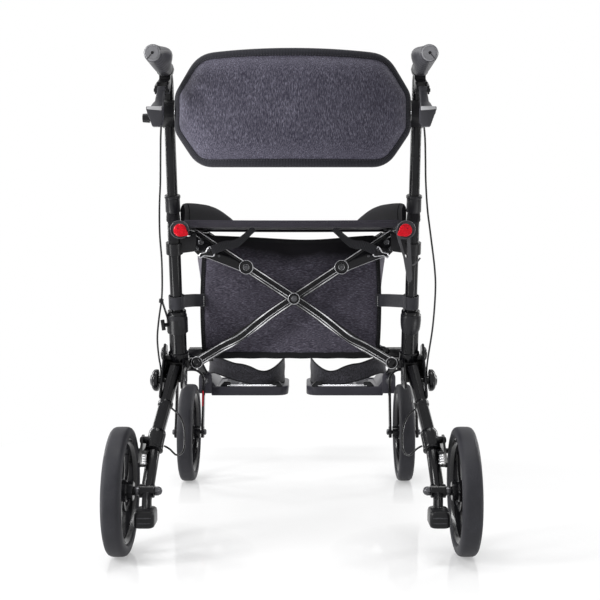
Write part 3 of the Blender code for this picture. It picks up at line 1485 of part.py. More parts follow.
def bag_strap(sign):
    """Band round the upright and the flat stretch from it to the bag's rear corner."""
    ring_radius = UPRIGHT_RADIUS + 0.003
    middle = upright_point(STRAP_Z)
    middle.x *= sign
    rake = Vector((0, RAKE_DIRECTION.y, RAKE_DIRECTION.z))
    ring = cylinder(middle - rake * STRAP_HEIGHT / 2, middle + rake * STRAP_HEIGHT / 2, ring_radius)
    path = [
        Vector((sign * (BAG_HALF_WIDTH - 0.012), BAG_REAR_Y + 0.0010, STRAP_Z)),
        Vector((sign * (BAG_HALF_WIDTH + 0.010), BAG_REAR_Y - 0.006, STRAP_Z)),
        Vector((middle.x - sign * ring_radius * 0.68, middle.y + ring_radius * 0.68, STRAP_Z)),
    ]
    h = STRAP_HEIGHT / 2 - 0.0015
    flat = swept(path, [(-h, -0.0012), (h, -0.0012), (h, 0.0012), (-h, 0.0012)], (0, 0, 1))
    band = joined(ring, flat)
    bore = cylinder(middle - rake * 0.03, middle + rake * 0.03, UPRIGHT_RADIUS + GAP)
    return [cut(band, bore)]


def heel_strap():
    """Wide heel sling: low and leaning back in the middle, high where it is held at its ends."""
    floor = FOOT_BOTTOM_Z + FOOT_THICKNESS + GAP
    knuckle_top = FOOT_HINGE_Z + KNUCKLE_RADIUS + GAP
    stations = [
        (0.2070, 0.452, knuckle_top, 0.2450, 0.000),
        (0.2065, 0.415, knuckle_top, 0.2470, 0.000),
        (0.1930, 0.378, 0.2065, 0.2480, -0.002),
        (0.1620, 0.3590, 0.1965, 0.2380, -0.004),
        (0.1250, 0.3535, 0.1890, 0.2250, -0.006),
        (0.0900, 0.3535, 0.1845, 0.2150, -0.007),
        (0.0600, 0.3620, 0.1830, 0.2200, -0.005),
        (0.0410, 0.3820, floor, 0.2330, -0.002),
        (0.0330, 0.4150, floor, 0.2400, 0.000),
        (0.0320, 0.4520, floor, 0.2400, 0.000),
    ]
    half = STRAP_THICKNESS / 2
    rings = []
    for i, (x, y, low, high, lean) in enumerate(stations):
        before = stations[max(i - 1, 0)]
        after = stations[min(i + 1, len(stations) - 1)]
        along = Vector((after[0] - before[0], after[1] - before[1], 0.0)).normalized()
        across = Vector((-along.y, along.x, 0.0))
        bottom = Vector((x, y, low))
        top = Vector((x, y + lean, high))
        edge = across * half
        rings.append([bottom - edge, bottom + edge, top + edge, top - edge])
    return skinned(rings)


# Footplates


def footplate():
    """Plate with rounded inner corners, a raised rim and the hinge knuckle along its outer edge."""
    low, high = FOOT_BOTTOM_Z, FOOT_BOTTOM_Z + FOOT_THICKNESS
    rear, front = FOOT_REAR_Y, FOOT_REAR_Y + FOOT_DEPTH
    c = FOOT_CORNER
    outline = [(FOOT_OUTER_X, rear), (FOOT_OUTER_X, front)]
    outline += arc((FOOT_INNER_X + c, front - c), c, 90, 180, 5)
    outline += arc((FOOT_INNER_X + c, rear + c), c, 180, 270, 5)
    slab = plate(outline, "XY", low, high)
    knuckle = cylinder(
        (FOOT_HINGE_X, rear - 0.0025, FOOT_HINGE_Z),
        (FOOT_HINGE_X, front - 0.010, FOOT_HINGE_Z),
        KNUCKLE_RADIUS,
    )
    web = plate(
        [
            (FOOT_OUTER_X - 0.012, low + 0.004),
            (FOOT_HINGE_X + 0.006, FOOT_HINGE_Z - 0.0065),
            (FOOT_HINGE_X - 0.006, FOOT_HINGE_Z + 0.0065),
            (FOOT_OUTER_X - 0.012, high - 0.0015),
        ],
        "XZ",
        rear + 0.001,
        front - 0.012,
    )
    solid = joined(slab, knuckle, web)
    recess = plate(foot_recess_outline(), "XY", high - FOOT_RECESS, high + FOOT_RECESS)
    bore = cylinder(
        (FOOT_HINGE_X, rear - 0.02, FOOT_HINGE_Z),
        (FOOT_HINGE_X, front + 0.02, FOOT_HINGE_Z),
        HINGE_PIN_RADIUS + TURN_GAP,
    )
    return cut(solid, recess, bore)


def foot_recess_outline():
    """The sunk tread; the wider rim at its rear and inner sides carries the heel sling."""
    outer = FOOT_OUTER_X - 2 * FOOT_RIM
    inner = FOOT_INNER_X + FOOT_STRAP_MARGIN
    rear, front = FOOT_REAR_Y + FOOT_STRAP_MARGIN, FOOT_REAR_Y + FOOT_DEPTH - FOOT_RIM
    corner = FOOT_RECESS_CORNER
    outline = [(outer, rear), (outer, front)]
    outline += arc((inner + corner, front - corner), corner, 90, 180, 5)
    outline += arc((inner + corner, rear + corner), corner, 180, 270, 5)
    return outline


def footplate_hanger():
    """Arm from the caster head, hinge block with its bolt, and the hinge pin through the knuckle."""
    head_front = Vector((CASTER_X - 0.001, SWIVEL_Y + HEAD_RADIUS + GAP, 0.256))
    block_rear, block_front = FOOT_REAR_Y - 0.0145, FOOT_REAR_Y - 0.0025 - GAP
    path = [
        head_front,
        head_front + Vector((0, 0.012, 0)),
        Vector((CASTER_X - 0.004, SWIVEL_Y + 0.044, 0.252)),
        Vector((FOOT_HINGE_X + 0.008, SWIVEL_Y + 0.062, 0.238)),
        Vector((FOOT_HINGE_X + 0.002, SWIVEL_Y + 0.088, 0.219)),
        Vector((FOOT_HINGE_X, block_front - 0.002, 0.211)),
    ]
    arm = swept(path, [(-0.008, -0.0045), (0.008, -0.0045), (0.008, 0.0045), (-0.008, 0.0045)], (1, 0, 0))
    half = 0.0125
    outline = [(FOOT_HINGE_X - half, FOOT_HINGE_Z - 0.029), (FOOT_HINGE_X + half, FOOT_HINGE_Z - 0.029)]
    outline += arc((FOOT_HINGE_X, FOOT_HINGE_Z + 0.010), half, 0, 180, 8)
    block = plate(outline, "XZ", block_rear, block_front)
    pin = cylinder(
        (FOOT_HINGE_X, block_rear + 0.002, FOOT_HINGE_Z),
        (FOOT_HINGE_X, FOOT_REAR_Y + FOOT_DEPTH - 0.013, FOOT_HINGE_Z),
        HINGE_PIN_RADIUS,
    )
    bolt = cylinder(
        (FOOT_HINGE_X, block_rear + 0.001, FOOT_HINGE_Z),
        (FOOT_HINGE_X, block_rear - 0.0035, FOOT_HINGE_Z),
        0.0055,
        0.0045,
        segments=12,
    )
    return joined(block, arm, pin, bolt)


# Casters and brakes


def caster_fork():
    """Bent flat bar over the wheel, with the swivel stem above and the axle through its feet."""
    w = FORK_HALF_WIDTH
    top_y, axle_y = SWIVEL_Y, CASTER_AXLE_Y
    bend = 0.024

    def at(x, z):
        share = (FORK_TOP_Z - z) / (FORK_TOP_Z - WHEEL_RADIUS)
        return Vector((CASTER_X + x, top_y + (axle_y - top_y) * max(0.0, min(share, 1.0)) ** 1.3, z))

    top = FORK_TOP_Z - FORK_BAR / 2
    flat = [(w, WHEEL_RADIUS - 0.010), (w, WHEEL_RADIUS + 0.04), (w, top - bend - 0.02)]
    flat += arc((w - bend, top - bend), bend, 0, 90, 4)
    flat += [(-x, z) for x, z in reversed(flat)]
    path = [at(x, z) for x, z in flat]
    d, t = FORK_BAR_DEPTH / 2, FORK_BAR / 2
    bar = swept(path, [(-d, -t), (d, -t), (d, t), (-d, t)], (0, 1, 0))
    stem = cylinder(
        (CASTER_X, top_y, FORK_TOP_Z - 0.003),
        (CASTER_X, top_y, HEAD_BOTTOM_Z + 0.025),
        STEM_RADIUS,
    )
    washer = cylinder((CASTER_X, top_y, FORK_TOP_Z - 0.002), (CASTER_X, top_y, HEAD_BOTTOM_Z - GAP), 0.012)
    axle = cylinder((CASTER_X - w, axle_y, WHEEL_RADIUS), (CASTER_X + w, axle_y, WHEEL_RADIUS), AXLE_RADIUS)
    feet = []
    for sign in (-1, 1):
        outer = w + FORK_BAR / 2
        feet.append(
            cylinder(
                (CASTER_X + sign * (w - FORK_BAR / 2 + 0.0005), axle_y, WHEEL_RADIUS),
                (CASTER_X + sign * (outer + 0.001), axle_y, WHEEL_RADIUS),
                0.0125,
            )
        )
        feet.append(
            cylinder(
                (CASTER_X + sign * outer, axle_y, WHEEL_RADIUS),
                (CASTER_X + sign * (outer + 0.0055), axle_y, WHEEL_RADIUS),
                0.0062,
                segments=6,
            )
        )
    return joined(bar, stem, washer, axle, *feet)


def shoe_place():
    reach = WHEEL_RADIUS + SHOE_CLEARANCE + SHOE_RADIUS
    angle = math.radians(SHOE_ANGLE)
    return (REAR_AXLE_Y + reach * math.cos(angle), WHEEL_RADIUS + reach * math.sin(angle))


def brake_arm():
    """Plate on the leg's pin, with the shoe bar in front of the tyre and a stub for the spring."""
    x0 = BRAKE_ARM_X - BRAKE_ARM_THICKNESS / 2
    x1 = BRAKE_ARM_X + BRAKE_ARM_THICKNESS / 2
    shoe_y, shoe_z = shoe_place()
    py, pz = BRAKE_PIVOT
    arm = plate(
        [
            (py - 0.007, pz + 0.006),
            (py + 0.006, pz + 0.008),
            (shoe_y + 0.0055, shoe_z + 0.003),
            (shoe_y + 0.004, shoe_z - 0.0050),
            (shoe_y - 0.010, shoe_z - 0.006),
            (py - 0.002, pz - 0.012),
            (SPRING_Y + 0.004, SPRING_BOTTOM_Z - 0.0035),
            (SPRING_Y - 0.007, SPRING_BOTTOM_Z - 0.0035),
            (SPRING_Y - 0.007, SPRING_BOTTOM_Z + 0.004),
            (py - 0.013, pz - 0.006),
        ],
        "YZ",
        x0,
        x1,
    )
    shoe = cylinder(
        (x0, shoe_y, shoe_z),
        (REAR_WHEEL_X + TYRE_WIDTH / 2 - 0.004, shoe_y, shoe_z),
        SHOE_RADIUS,
    )
    shelf = box(
        (SPRING_X - 0.003, SPRING_Y - 0.006, SPRING_BOTTOM_Z - 0.003),
        (x0 + 0.001, SPRING_Y + 0.002, SPRING_BOTTOM_Z - GAP),
    )
    solid = joined(arm, shoe, shelf)
    hole = cylinder((x0 - 0.01, py, pz), (x1 + 0.01, py, pz), LEVER_PIN_RADIUS + GAP)
    return cut(solid, hole)


def brake_spring():
    """Open-wound return spring between the arm's shelf and the leg's tab; its least gap is printed."""
    across, depth = Vector((1, 0, 0)), Vector((0, 1, 0))
    radius = SPRING_RADIUS - SPRING_WIRE
    bottom = Vector((SPRING_X, SPRING_Y, SPRING_BOTTOM_Z + SPRING_WIRE))
    top = Vector((SPRING_X, SPRING_Y, SPRING_TOP_Z - SPRING_WIRE))
    per_curl = 8
    total = SPRING_CURLS * per_curl
    points = []
    for i in range(total + 1):
        angle = 2 * math.pi * i / per_curl
        offset = across * radius * math.cos(angle) + depth * radius * math.sin(angle)
        points.append(top.lerp(bottom, i / total) + offset)
    print(
        "brake spring gap between curls, mm:",
        round(((bottom - top).length / SPRING_CURLS - 2 * SPRING_WIRE) * 1000, 2),
    )
    return tube(points, SPRING_WIRE, 1)


CABLE_TOP = [
    (0.2035, -0.3990, 0.7400),
    (0.2055, -0.4010, 0.7180),
    (0.2110, -0.3760, 0.6940),
    (0.2170, -0.3400, 0.6730),
    (0.2195, -0.3240, 0.6400),
]
CABLE_FOOT = [
    (0.2322, -0.2285, 0.2840),
    (0.2322, -0.2270, 0.2640),
    (0.2310, -0.2180, 0.2340),
    (0.2180, -0.2060, 0.2140),
    (0.2010, -0.2150, 0.2000),
    (0.1890, -0.2450, 0.1800),
    (0.1865, -0.2800, 0.1520),
    (0.1950, -0.3040, 0.1480),
    (0.2060, -0.3120, 0.1600),
    (0.2152, -0.3120, 0.1650),
]
CABLE_ROUTE_RIGHT = (
    CABLE_TOP
    + [
        (0.2210, -0.3150, 0.6050),
        (0.2250, -0.3040, 0.5600),
        (0.2317, -0.2900, 0.5190),
        (0.2410, -0.2720, 0.4590),
        (0.2435, -0.2600, 0.4190),
        (0.2410, -0.2440, 0.3600),
        (0.2345, -0.2330, 0.3080),
    ]
    + CABLE_FOOT
)
CABLE_ROUTE_LEFT = [(-x, y, z) for x, y, z in CABLE_TOP] + [
    (-0.2210, -0.3150, 0.6050),
    (-0.2240, -0.3040, 0.5650),
    (-0.2255, -0.2900, 0.5190),
    (-0.2245, -0.2720, 0.4700),
    (-0.2265, -0.2560, 0.4150),
    (-0.2330, -0.2450, 0.3750),
    (-0.2370, -0.2380, 0.3400),
    (-0.2355, -0.2320, 0.3080),
]
CABLE_ROUTE_LEFT += [(-x, y, z) for x, y, z in CABLE_FOOT]


def brake_cable(name, route, body):
    """The cable's outer casing, as a curve with round bevel and filled caps."""
    points = smooth_route(route, CABLE_STEP)
    curve = bpy.data.curves.new(name, "CURVE")
    curve.dimensions = "3D"
    curve.bevel_depth = CABLE_RADIUS
    curve.bevel_resolution = 2
    curve.use_fill_caps = True
    curve.resolution_u = 1
    spline = curve.splines.new("POLY")
    spline.points.add(len(points) - 1)
    origin = body_origin(body)
    for point, place in zip(spline.points, points):
        point.co = (*(place - origin), 1.0)
    cable = bpy.data.objects.new(name, curve)
    bpy.context.scene.collection.objects.link(cable)
    cable.parent = body
    own = MATERIALS["webbing"].copy()
    own.name = name + "_casing"
    curve.materials.append(own)
    length = sum((b - a).length for a, b in zip(points, points[1:]))
    print(name, "length, m:", round(length, 3), "points:", len(points))


def tube_clamp():
    """Clamp round the left sleeve, with a T knob and the arm that clips the brake cable."""
    middle = upright_point(CLAMP_Z)
    middle.x = -middle.x
    rake = RAKE_DIRECTION
    ring = cylinder(
        middle - rake * CLAMP_LENGTH / 2,
        middle + rake * CLAMP_LENGTH / 2,
        SLEEVE_RADIUS + 0.0035,
    )
    stem = cylinder(middle + Vector((-0.012, -0.006, 0)), middle + Vector((-0.0240, -0.014, 0)), 0.0035)
    cross = cylinder(
        middle + Vector((-0.0215, -0.0155, -0.009)),
        middle + Vector((-0.0245, -0.0130, 0.009)),
        0.0035,
        segments=10,
    )
    place, along = cable_clip_place()
    clip = cylinder(place - along * 0.003, place + along * 0.003, CABLE_RADIUS + 0.0025)
    arm = swept(
        [
            middle + rake * 0.008 + Vector((-0.0145, -0.006, 0)),
            place - along * 0.003 + Vector((0.0022, 0.0022, 0)),
        ],
        [(-0.0035, -0.0013), (0.0035, -0.0013), (0.0035, 0.0013), (-0.0035, 0.0013)],
        (0, 1, 0),
    )
    clamp = joined(ring, stem, cross, arm, clip)
    bore = cylinder(middle - rake * 0.03, middle + rake * 0.0165, SLEEVE_RADIUS + GAP)
    hole = cylinder(place - along * 0.006, place + along * 0.006, CABLE_RADIUS + 2 * GAP)
    return cut(clamp, bore, hole)


def cable_clip_place():
    """Where the clamp's arm holds the left cable, and the cable's direction there."""
    points = smooth_route(CABLE_ROUTE_LEFT, CABLE_STEP)
    nearest = min(range(1, len(points) - 1), key=lambda k: abs(points[k].z - CLIP_Z))
    along = (points[nearest] - points[nearest + 1]).normalized()
    return (points[nearest] + points[nearest + 1]) / 2, along


# Assembly


def clear_scene():
    for obj in list(bpy.data.objects):
        bpy.data.objects.remove(obj)


def make_bodies():
    bodies = {}

    def add(name, pivot, parent=None):
        bodies[name] = make_body(name, pivot, bodies[parent] if parent else None)

    add("left_frame", (0, 0, 0))
    add("x_frame_a", (-LOWER_PIVOT_X, REAR_CROSS_Y, LOWER_PIVOT_Z), "left_frame")
    add("x_frame_b", (0, REAR_CROSS_Y, CROSS_CENTRE_Z), "x_frame_a")
    add("right_frame", (LOWER_PIVOT_X, REAR_CROSS_Y, LOWER_PIVOT_Z), "x_frame_b")
    corner = handle_corner()
    for side, sign in (("left", -1), ("right", 1)):
        frame = side + "_frame"
        add("rear_wheel_" + side, (sign * REAR_WHEEL_X, REAR_AXLE_Y, WHEEL_RADIUS), frame)
        add("caster_" + side, (sign * CASTER_X, SWIVEL_Y, HEAD_BOTTOM_Z), frame)
        add("caster_wheel_" + side, (sign * CASTER_X, CASTER_AXLE_Y, WHEEL_RADIUS), "caster_" + side)
        add("handle_" + side, (sign * corner.x, corner.y, corner.z), frame)
        add("lever_" + side, (sign * UPRIGHT_X, *LEVER_PIVOT), "handle_" + side)
        add("brake_" + side, (sign * BRAKE_ARM_X, *BRAKE_PIVOT), frame)
        add("footrest_" + side, (sign * FOOT_HINGE_X, FOOT_REAR_Y, FOOT_HINGE_Z), frame)
    add("backrest", (0, BACK_PIVOT_Y, BACK_PIVOT_Z), "handle_left")
    add("plunger", (-UPRIGHT_X, BACK_PIVOT_Y, BACK_PIVOT_Z), "handle_left")
    add("latch", (RAIL_X, RAIL_REAR_Y, RAIL_Z), "x_frame_a")
    return bodies


def body_pair(stem_left, stem_right):
    return (BODIES[stem_left], BODIES[stem_right])


def make_parts():
    frames = body_pair("left_frame", "right_frame")
    handles = body_pair("handle_left", "handle_right")
    rails = body_pair("x_frame_b", "x_frame_a")
    footrests = body_pair("footrest_left", "footrest_right")
    brakes = body_pair("brake_left", "brake_right")
    add_pair("side_frame", side_frame(), "frame_paint", frames)
    add_pair("rear_leg", rear_leg(), "frame_paint", frames)
    add_pair("cover_knob", cover_knob(), "dark_plastic", frames)
    add_pair("rear_axle", rear_axle(), "steel", frames)
    add_pair("height_collar", height_collar(), "dark_plastic", frames)
    add_pair("rail_bracket", rail_bracket(), "dark_plastic", frames)
    add_pair("footplate_hanger", footplate_hanger(), "grey_plastic", frames)
    add_pair("handle_tube", handle_tube(), "frame_paint", handles)
    add_pair("grip", grip(), "grip_rubber", handles)
    add_pair("lever_bracket", lever_bracket(), "dark_plastic", handles)
    add_pair("backrest_bracket", backrest_bracket(), "dark_plastic", handles)
    add_pair("brake_lever", brake_lever(), "grey_plastic", body_pair("lever_left", "lever_right"))
    add_pair("caster_fork", caster_fork(), "frame_paint", body_pair("caster_left", "caster_right"))
    add_pair("brake_arm", brake_arm(), "dark_plastic", brakes)
    add_pair("brake_spring", brake_spring(), "steel", frames)
    add_pair("rail_end", rail_end(), "grey_plastic", rails)
    add_pair("reflector", reflector(), "reflector", rails)
    add_pair("side_guard", side_guard(), "webbing", rails)
    add_pair("footplate", footplate(), "grey_plastic", footrests)
    add_pair("heel_strap", heel_strap(), "webbing", footrests)
    add_part("cross_bar_a", cross_half(1, BAR_A_SHIFT, False), "bar_metal", BODIES["x_frame_a"])
    add_part("cross_bar_b", cross_half(-1, BAR_B_SHIFT, True), "bar_metal", BODIES["x_frame_b"])
    add_part("cross_pin", cross_pin(REAR_CROSS_Y), "steel", BODIES["x_frame_a"])
    add_part("fold_latch", fold_latch(), "grey_plastic", BODIES["latch"])
    add_part("seat", seat(), "webbing", BODIES["x_frame_a"])
    add_part("bag", bag(), "fabric", BODIES["left_frame"])
    add_part("tube_clamp_left", tube_clamp(), "dark_plastic", BODIES["left_frame"])
    add_part("backrest_pad", backrest_pad(), "fabric", BODIES["backrest"])
    add_part("backrest_band", backrest_band(), "dark_plastic", BODIES["backrest"])
    add_part("backrest_plunger", backrest_plunger(), "dark_plastic", BODIES["plunger"])
    brake_cable("brake_cable_left", CABLE_ROUTE_LEFT, BODIES["left_frame"])
    brake_cable("brake_cable_right", CABLE_ROUTE_RIGHT, BODIES["right_frame"])
    make_wheels()


def centre_object():
    """Shifts the root body so that the middle of the object lies over the origin."""
    BODIES["left_frame"].location.y = CENTRE_SHIFT


clear_scene()
MATERIALS = {name: make_material(name) for name in COLOURS}
BODIES = make_bodies()
make_parts()
centre_object()
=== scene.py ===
"""Looks of a folding rollator that doubles as a transport chair.

Metres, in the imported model's frame: +X is the right side seen from behind, +Y the walking direction.
Pieces are drawn in the coordinates of the CAD source and moved by FRAME_SHIFT when they are finished.
Right-hand pieces are drawn and the left ones mirror them.
"""

from math import asin, ceil, copysign, cos, exp, pi, radians, remainder, sin, sqrt, tan

import bmesh
import bpy
from mathutils import Matrix, Vector


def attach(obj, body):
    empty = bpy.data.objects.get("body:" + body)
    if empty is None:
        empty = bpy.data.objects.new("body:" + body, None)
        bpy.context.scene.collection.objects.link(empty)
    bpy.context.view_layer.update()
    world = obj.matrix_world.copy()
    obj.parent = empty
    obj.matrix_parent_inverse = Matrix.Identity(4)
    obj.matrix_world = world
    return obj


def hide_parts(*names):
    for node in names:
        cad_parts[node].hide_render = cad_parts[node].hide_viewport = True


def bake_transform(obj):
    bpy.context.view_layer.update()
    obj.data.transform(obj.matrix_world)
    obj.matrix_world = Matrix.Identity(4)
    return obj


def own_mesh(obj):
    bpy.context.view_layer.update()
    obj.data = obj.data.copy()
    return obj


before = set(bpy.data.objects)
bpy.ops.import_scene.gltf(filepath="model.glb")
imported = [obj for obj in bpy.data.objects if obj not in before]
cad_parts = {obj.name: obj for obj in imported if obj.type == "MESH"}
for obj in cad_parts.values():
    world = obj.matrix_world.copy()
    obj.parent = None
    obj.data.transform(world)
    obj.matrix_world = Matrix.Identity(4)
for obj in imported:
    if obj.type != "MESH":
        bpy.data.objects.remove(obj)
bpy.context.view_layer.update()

# Places and sizes of the CAD source

OUT, FORE, UP = Vector((1, 0, 0)), Vector((0, 1, 0)), Vector((0, 0, 1))
FRAME_SHIFT = Vector((0.0, -0.0045, 0.0))
WHEEL_RADIUS, RIM_RADIUS = 0.1025, 0.0845
TYRE_HALF, RIM_HALF = 0.016, 0.011
SPOKE_SWEEP = radians(38.0)
REAR_WHEEL = Vector((0.277, -0.368, WHEEL_RADIUS))
CASTER_WHEEL = Vector((0.23, 0.195, WHEEL_RADIUS))
SWIVEL_Y = 0.223
FORK_HALF_WIDTH, FORK_TOP_Z = 0.0285, 0.2355
UPRIGHT_X, UPRIGHT_RADIUS = 0.204, 0.0105
RAKE = radians(17.0)
RAKE_DIRECTION = Vector((0.0, -sin(RAKE), cos(RAKE)))
HANDLE_RADIUS = 0.009
GRIP_AXIS_Z, GRIP_BEND_RADIUS = 0.781, 0.03
GRIP_END_Y, GRIP_LENGTH, GRIP_RADIUS = -0.519, 0.1325, 0.0135
GRIP_WING, GRIP_WING_ANGLE = 0.011, radians(145.0)
LEVER_END = Vector((UPRIGHT_X, -0.491, 0.704))
BACK_PIVOT_Y, BACK_PIVOT_Z = -0.35, 0.715
BACK_HALF_WIDTH, BACK_TOP_HALF_WIDTH = 0.19, 0.146
BACK_HALF_HEIGHT, BACK_TIP_HALF_HEIGHT = 0.091, 0.03
BACK_BULGE, BACK_CROWN = 0.06, 0.024
BAND_HALF_SECTION, BAND_STUB_RADIUS = (0.011, 0.0015), 0.004
RAIL_X, RAIL_Z, RAIL_RADIUS = 0.18033, 0.5253, 0.0085
RAIL_REAR_Y, RAIL_FRONT_Y = -0.333, 0.036
SEAT_REAR_Y, SEAT_FRONT_Y = -0.322, 0.03
SEAT_RIMS = ((SEAT_REAR_Y, -1), (SEAT_FRONT_Y, 1))
SEAT_SLEEVE_RADIUS, SEAT_SLEEVE_RISE = 0.012, 0.003
SEAT_SAG, SEAT_THICKNESS = 0.0008, 0.006
REAR_CROSS_Y, FRONT_CROSS_Y, CROSS_CENTRE_Z = -0.205, 0.012, 0.4064
CROSS_ANGLE = radians(33.4)
LOWER_ARM, UPPER_ARM = 0.206, 0.216
BAR_WIDTH, BAR_THICKNESS, BAR_SPACING = 0.0175, 0.008, 0.009
MIDDLE_DISC_ARM = 0.466 * UPPER_ARM
PIN_HEAD_Y = -0.217
LENS_MIDDLE, LENS_GROWTH = Vector((RAIL_X + 0.007, RAIL_Z + 0.0015)), 1.07
BAG_HALF_WIDTH, BAG_COLUMNS, BAG_FLARE = 0.158, 40, 0.017
BAG_REAR_Y, BAG_FRONT_Y = -0.181, -0.006
BAG_BOTTOM_Z, BAG_TOP_Z = 0.297, 0.514
BAG_SHIFT = Vector((-0.006, 0.0, 0.0))
STRAP_Z, STRAP_HEIGHT = 0.4022, 0.0235
LEG_TOP = Vector((0.2073, -0.226, 0.284))
LEG_KNEE = Vector((0.23, -0.312, 0.172))
LEG_FOOT = Vector((0.23475, -0.368, WHEEL_RADIUS))
BRAKE_PIVOT = Vector((0.2498, -0.318, 0.176))
PEDAL = Vector((0.23075, -0.411, 0.071))
SPRING_PLACE, SPRING_TOP_Z = Vector((0.2425, -0.352, 0.142)), 0.16
FOOT_HINGE_X, FOOT_HINGE_Z = 0.2095, 0.196
FOOT_INNER_X, FOOT_OUTER_X = 0.021, 0.197
FOOT_REAR_Y, FOOT_FRONT_Y = 0.348, 0.528
FOOT_BOTTOM_Z, FOOT_TOP_Z, FOOT_RECESS = 0.16, 0.181, 0.0025
CABLE_RADIUS = 0.0016

FRAMES = {"left": "left_frame", "right": "right_frame"}
RAILS = {"left": "x_frame_b", "right": "x_frame_a"}

# Colours, light and camera

# The bars' bright colour and the places of its lines below are painted highlights on their edges and grooves.
BAR_BLACK, BAR_PAINTED_HIGHLIGHT = (0.006, 0.006, 0.007), (0.8, 0.8, 0.82)
BAR_HIGHLIGHT_LINES = ((0.0003, 0.0012), (0.0118, 0.0008), (0.0163, 0.0012))
BAR_PINCH_START, BAR_PINCH_END, BAR_PINCH = (0.05, 0.085), (0.095, 0.15), 0.0042
WORLD_DIFFUSE = 0.2
FLOOR_SIZE, FLOOR_WHITE, FLOOR_LIFT, FLOOR_MIRROR = 9.0, (0.93, 0.93, 0.935), 0.8, 0.45
MIRROR_REACH, SHADOW_REACH = (0.03, 0.22), (0.45, 0.95)
CAMERA_PLACE = Vector((0.025, -2.068, 0.485))
PICTURE_SIZE, FOCAL_LENGTH, CENTRE_OFFSET = 600.0, 1053.0, (-8.1, -46.0)


def vec(*values):
    return Vector(values)


PLANES = {"XZ": lambda a, b, c: vec(a, c, b), "YZ": lambda a, b, c: vec(c, a, b), "XY": vec}


def upright_point(z):
    return vec(UPRIGHT_X, -0.2 - tan(RAKE) * (z - 0.285), z)


# Drawing in bmesh


def grid_faces(bm, rings, closed_along):
    """Quads between rings of vertices; the UVs are metres along and round the grid."""
    layer = bm.loops.layers.uv["UVMap"]
    count = len(rings[0])
    along, around = [0.0], [0.0]
    for lower, upper in zip(rings, rings[1:]):
        along.append(along[-1] + (upper[0].co - lower[0].co).length)
    for i in range(count):
        around.append(around[-1] + (rings[0][(i + 1) % count].co - rings[0][i].co).length)
    for a in range(len(rings) if closed_along else len(rings) - 1):
        b = (a + 1) % len(rings)
        high = along[b] if b else along[a] + along[1]
        for i in range(count):
            j = (i + 1) % count
            face = bm.faces.new((rings[a][i], rings[a][j], rings[b][j], rings[b][i]))
            face.smooth = True
            low, near, far = along[a], around[i], around[i + 1]
            for loop, value in zip(face.loops, ((low, near), (low, far), (high, far), (high, near))):
                loop[layer].uv = value


def add_rings(bm, rings, caps=True, closed_along=False):
    """Faces between closed rings of points, with caps at the two ends of an open row."""
    loops = [[bm.verts.new(point) for point in ring] for ring in rings]
    grid_faces(bm, loops, closed_along)
    if caps and not closed_along:
        bm.faces.new(loops[0][::-1])
        bm.faces.new(loops[-1])
    return loops


def add_sweep(bm, path, section, side, closed=False):
    """An (across, depth) section carried along a path; side is the direction of its first axis."""
    path = [Vector(point) for point in path]
    count = len(path)
    across = Vector(side).normalized()
    rings = []
    for i, point in enumerate(path):
        before = path[(i - 1) % count] if closed else path[max(i - 1, 0)]
        after = path[(i + 1) % count] if closed else path[min(i + 1, count - 1)]
        along = (after - before).normalized()
        across = (across - along * across.dot(along)).normalized()
        depth = along.cross(across)
        rings.append([point + across * a + depth * b for a, b in section])
    return add_rings(bm, rings, True, closed)


def spread(parts, low=0.0, high=1.0):
    """Evenly spaced values from low to high, both included."""
    return [low + (high - low) * i / parts for i in range(parts + 1)]


def rectangle(a, b):
    return [(-a, -b), (a, -b), (a, b), (-a, b)]


def turns_of(sides):
    return [2 * pi * i / sides for i in range(sides)]


def circle(radius, sides):
    return [(radius * cos(t), radius * sin(t)) for t in turns_of(sides)]


def side_of(along):
    return OUT if abs(along.x) < 0.9 else FORE


def add_tube(bm, path, radius, sides=24, closed=False):
    side = side_of((Vector(path[1]) - Vector(path[0])).normalized())
    return add_sweep(bm, path, circle(radius, sides), side, closed)


def add_turned(bm, start, direction, profile, sides=28):
    """A turned form along a direction; the profile lists (metres from the start, radius)."""
    start, along = Vector(start), Vector(direction).normalized()
    side = side_of(along)
    across = (side - along * side.dot(along)).normalized()
    depth = along.cross(across)
    rings = []
    for step, radius in profile:
        middle = start + along * step
        rings.append([middle + (across * cos(t) + depth * sin(t)) * radius for t in turns_of(sides)])
    return add_rings(bm, rings)


def add_rod(bm, start, end, radius, sides=28, edge=0.0006):
    """A straight rod with softened ends."""
    reach = Vector(end) - Vector(start)
    half = [(0.0, edge), (edge * 0.3, edge * 0.3), (edge, 0.0)]
    profile = [(along, radius - cut) for along, cut in half]
    profile += [(reach.length - along, radius - cut) for along, cut in reversed(half)]
    return add_turned(bm, start, reach, profile, sides)


def add_lathe(bm, profile, centre, segments=96):
    """A closed (along X, radius) profile spun about the X axis."""
    rings = [[centre + vec(x, r * cos(t), r * sin(t)) for t in turns_of(segments)] for x, r in profile]
    grid_faces(bm, [[bm.verts.new(point) for point in ring] for ring in rings], True)


def rounded_outline(corners, radii, steps=5):
    """A closed outline through 2-D corners, each rounded by its radius."""
    radii = radii if isinstance(radii, list) else [radii] * len(corners)
    corners = [Vector(corner) for corner in corners]
    outline = []
    neighbours = zip(corners[-1:] + corners, corners, corners[1:] + corners[:1], radii)
    for before, corner, after, radius in neighbours:
        inward, outward = before - corner, after - corner
        half = max(inward.angle(outward) / 2, 0.05)
        reach = min(radius / tan(half), inward.length * 0.48, outward.length * 0.48)
        start, end = corner + inward.normalized() * reach, corner + outward.normalized() * reach
        for t in spread(steps):
            outline.append(tuple((1 - t) ** 2 * start + 2 * t * (1 - t) * corner + t * t * end))
    return outline


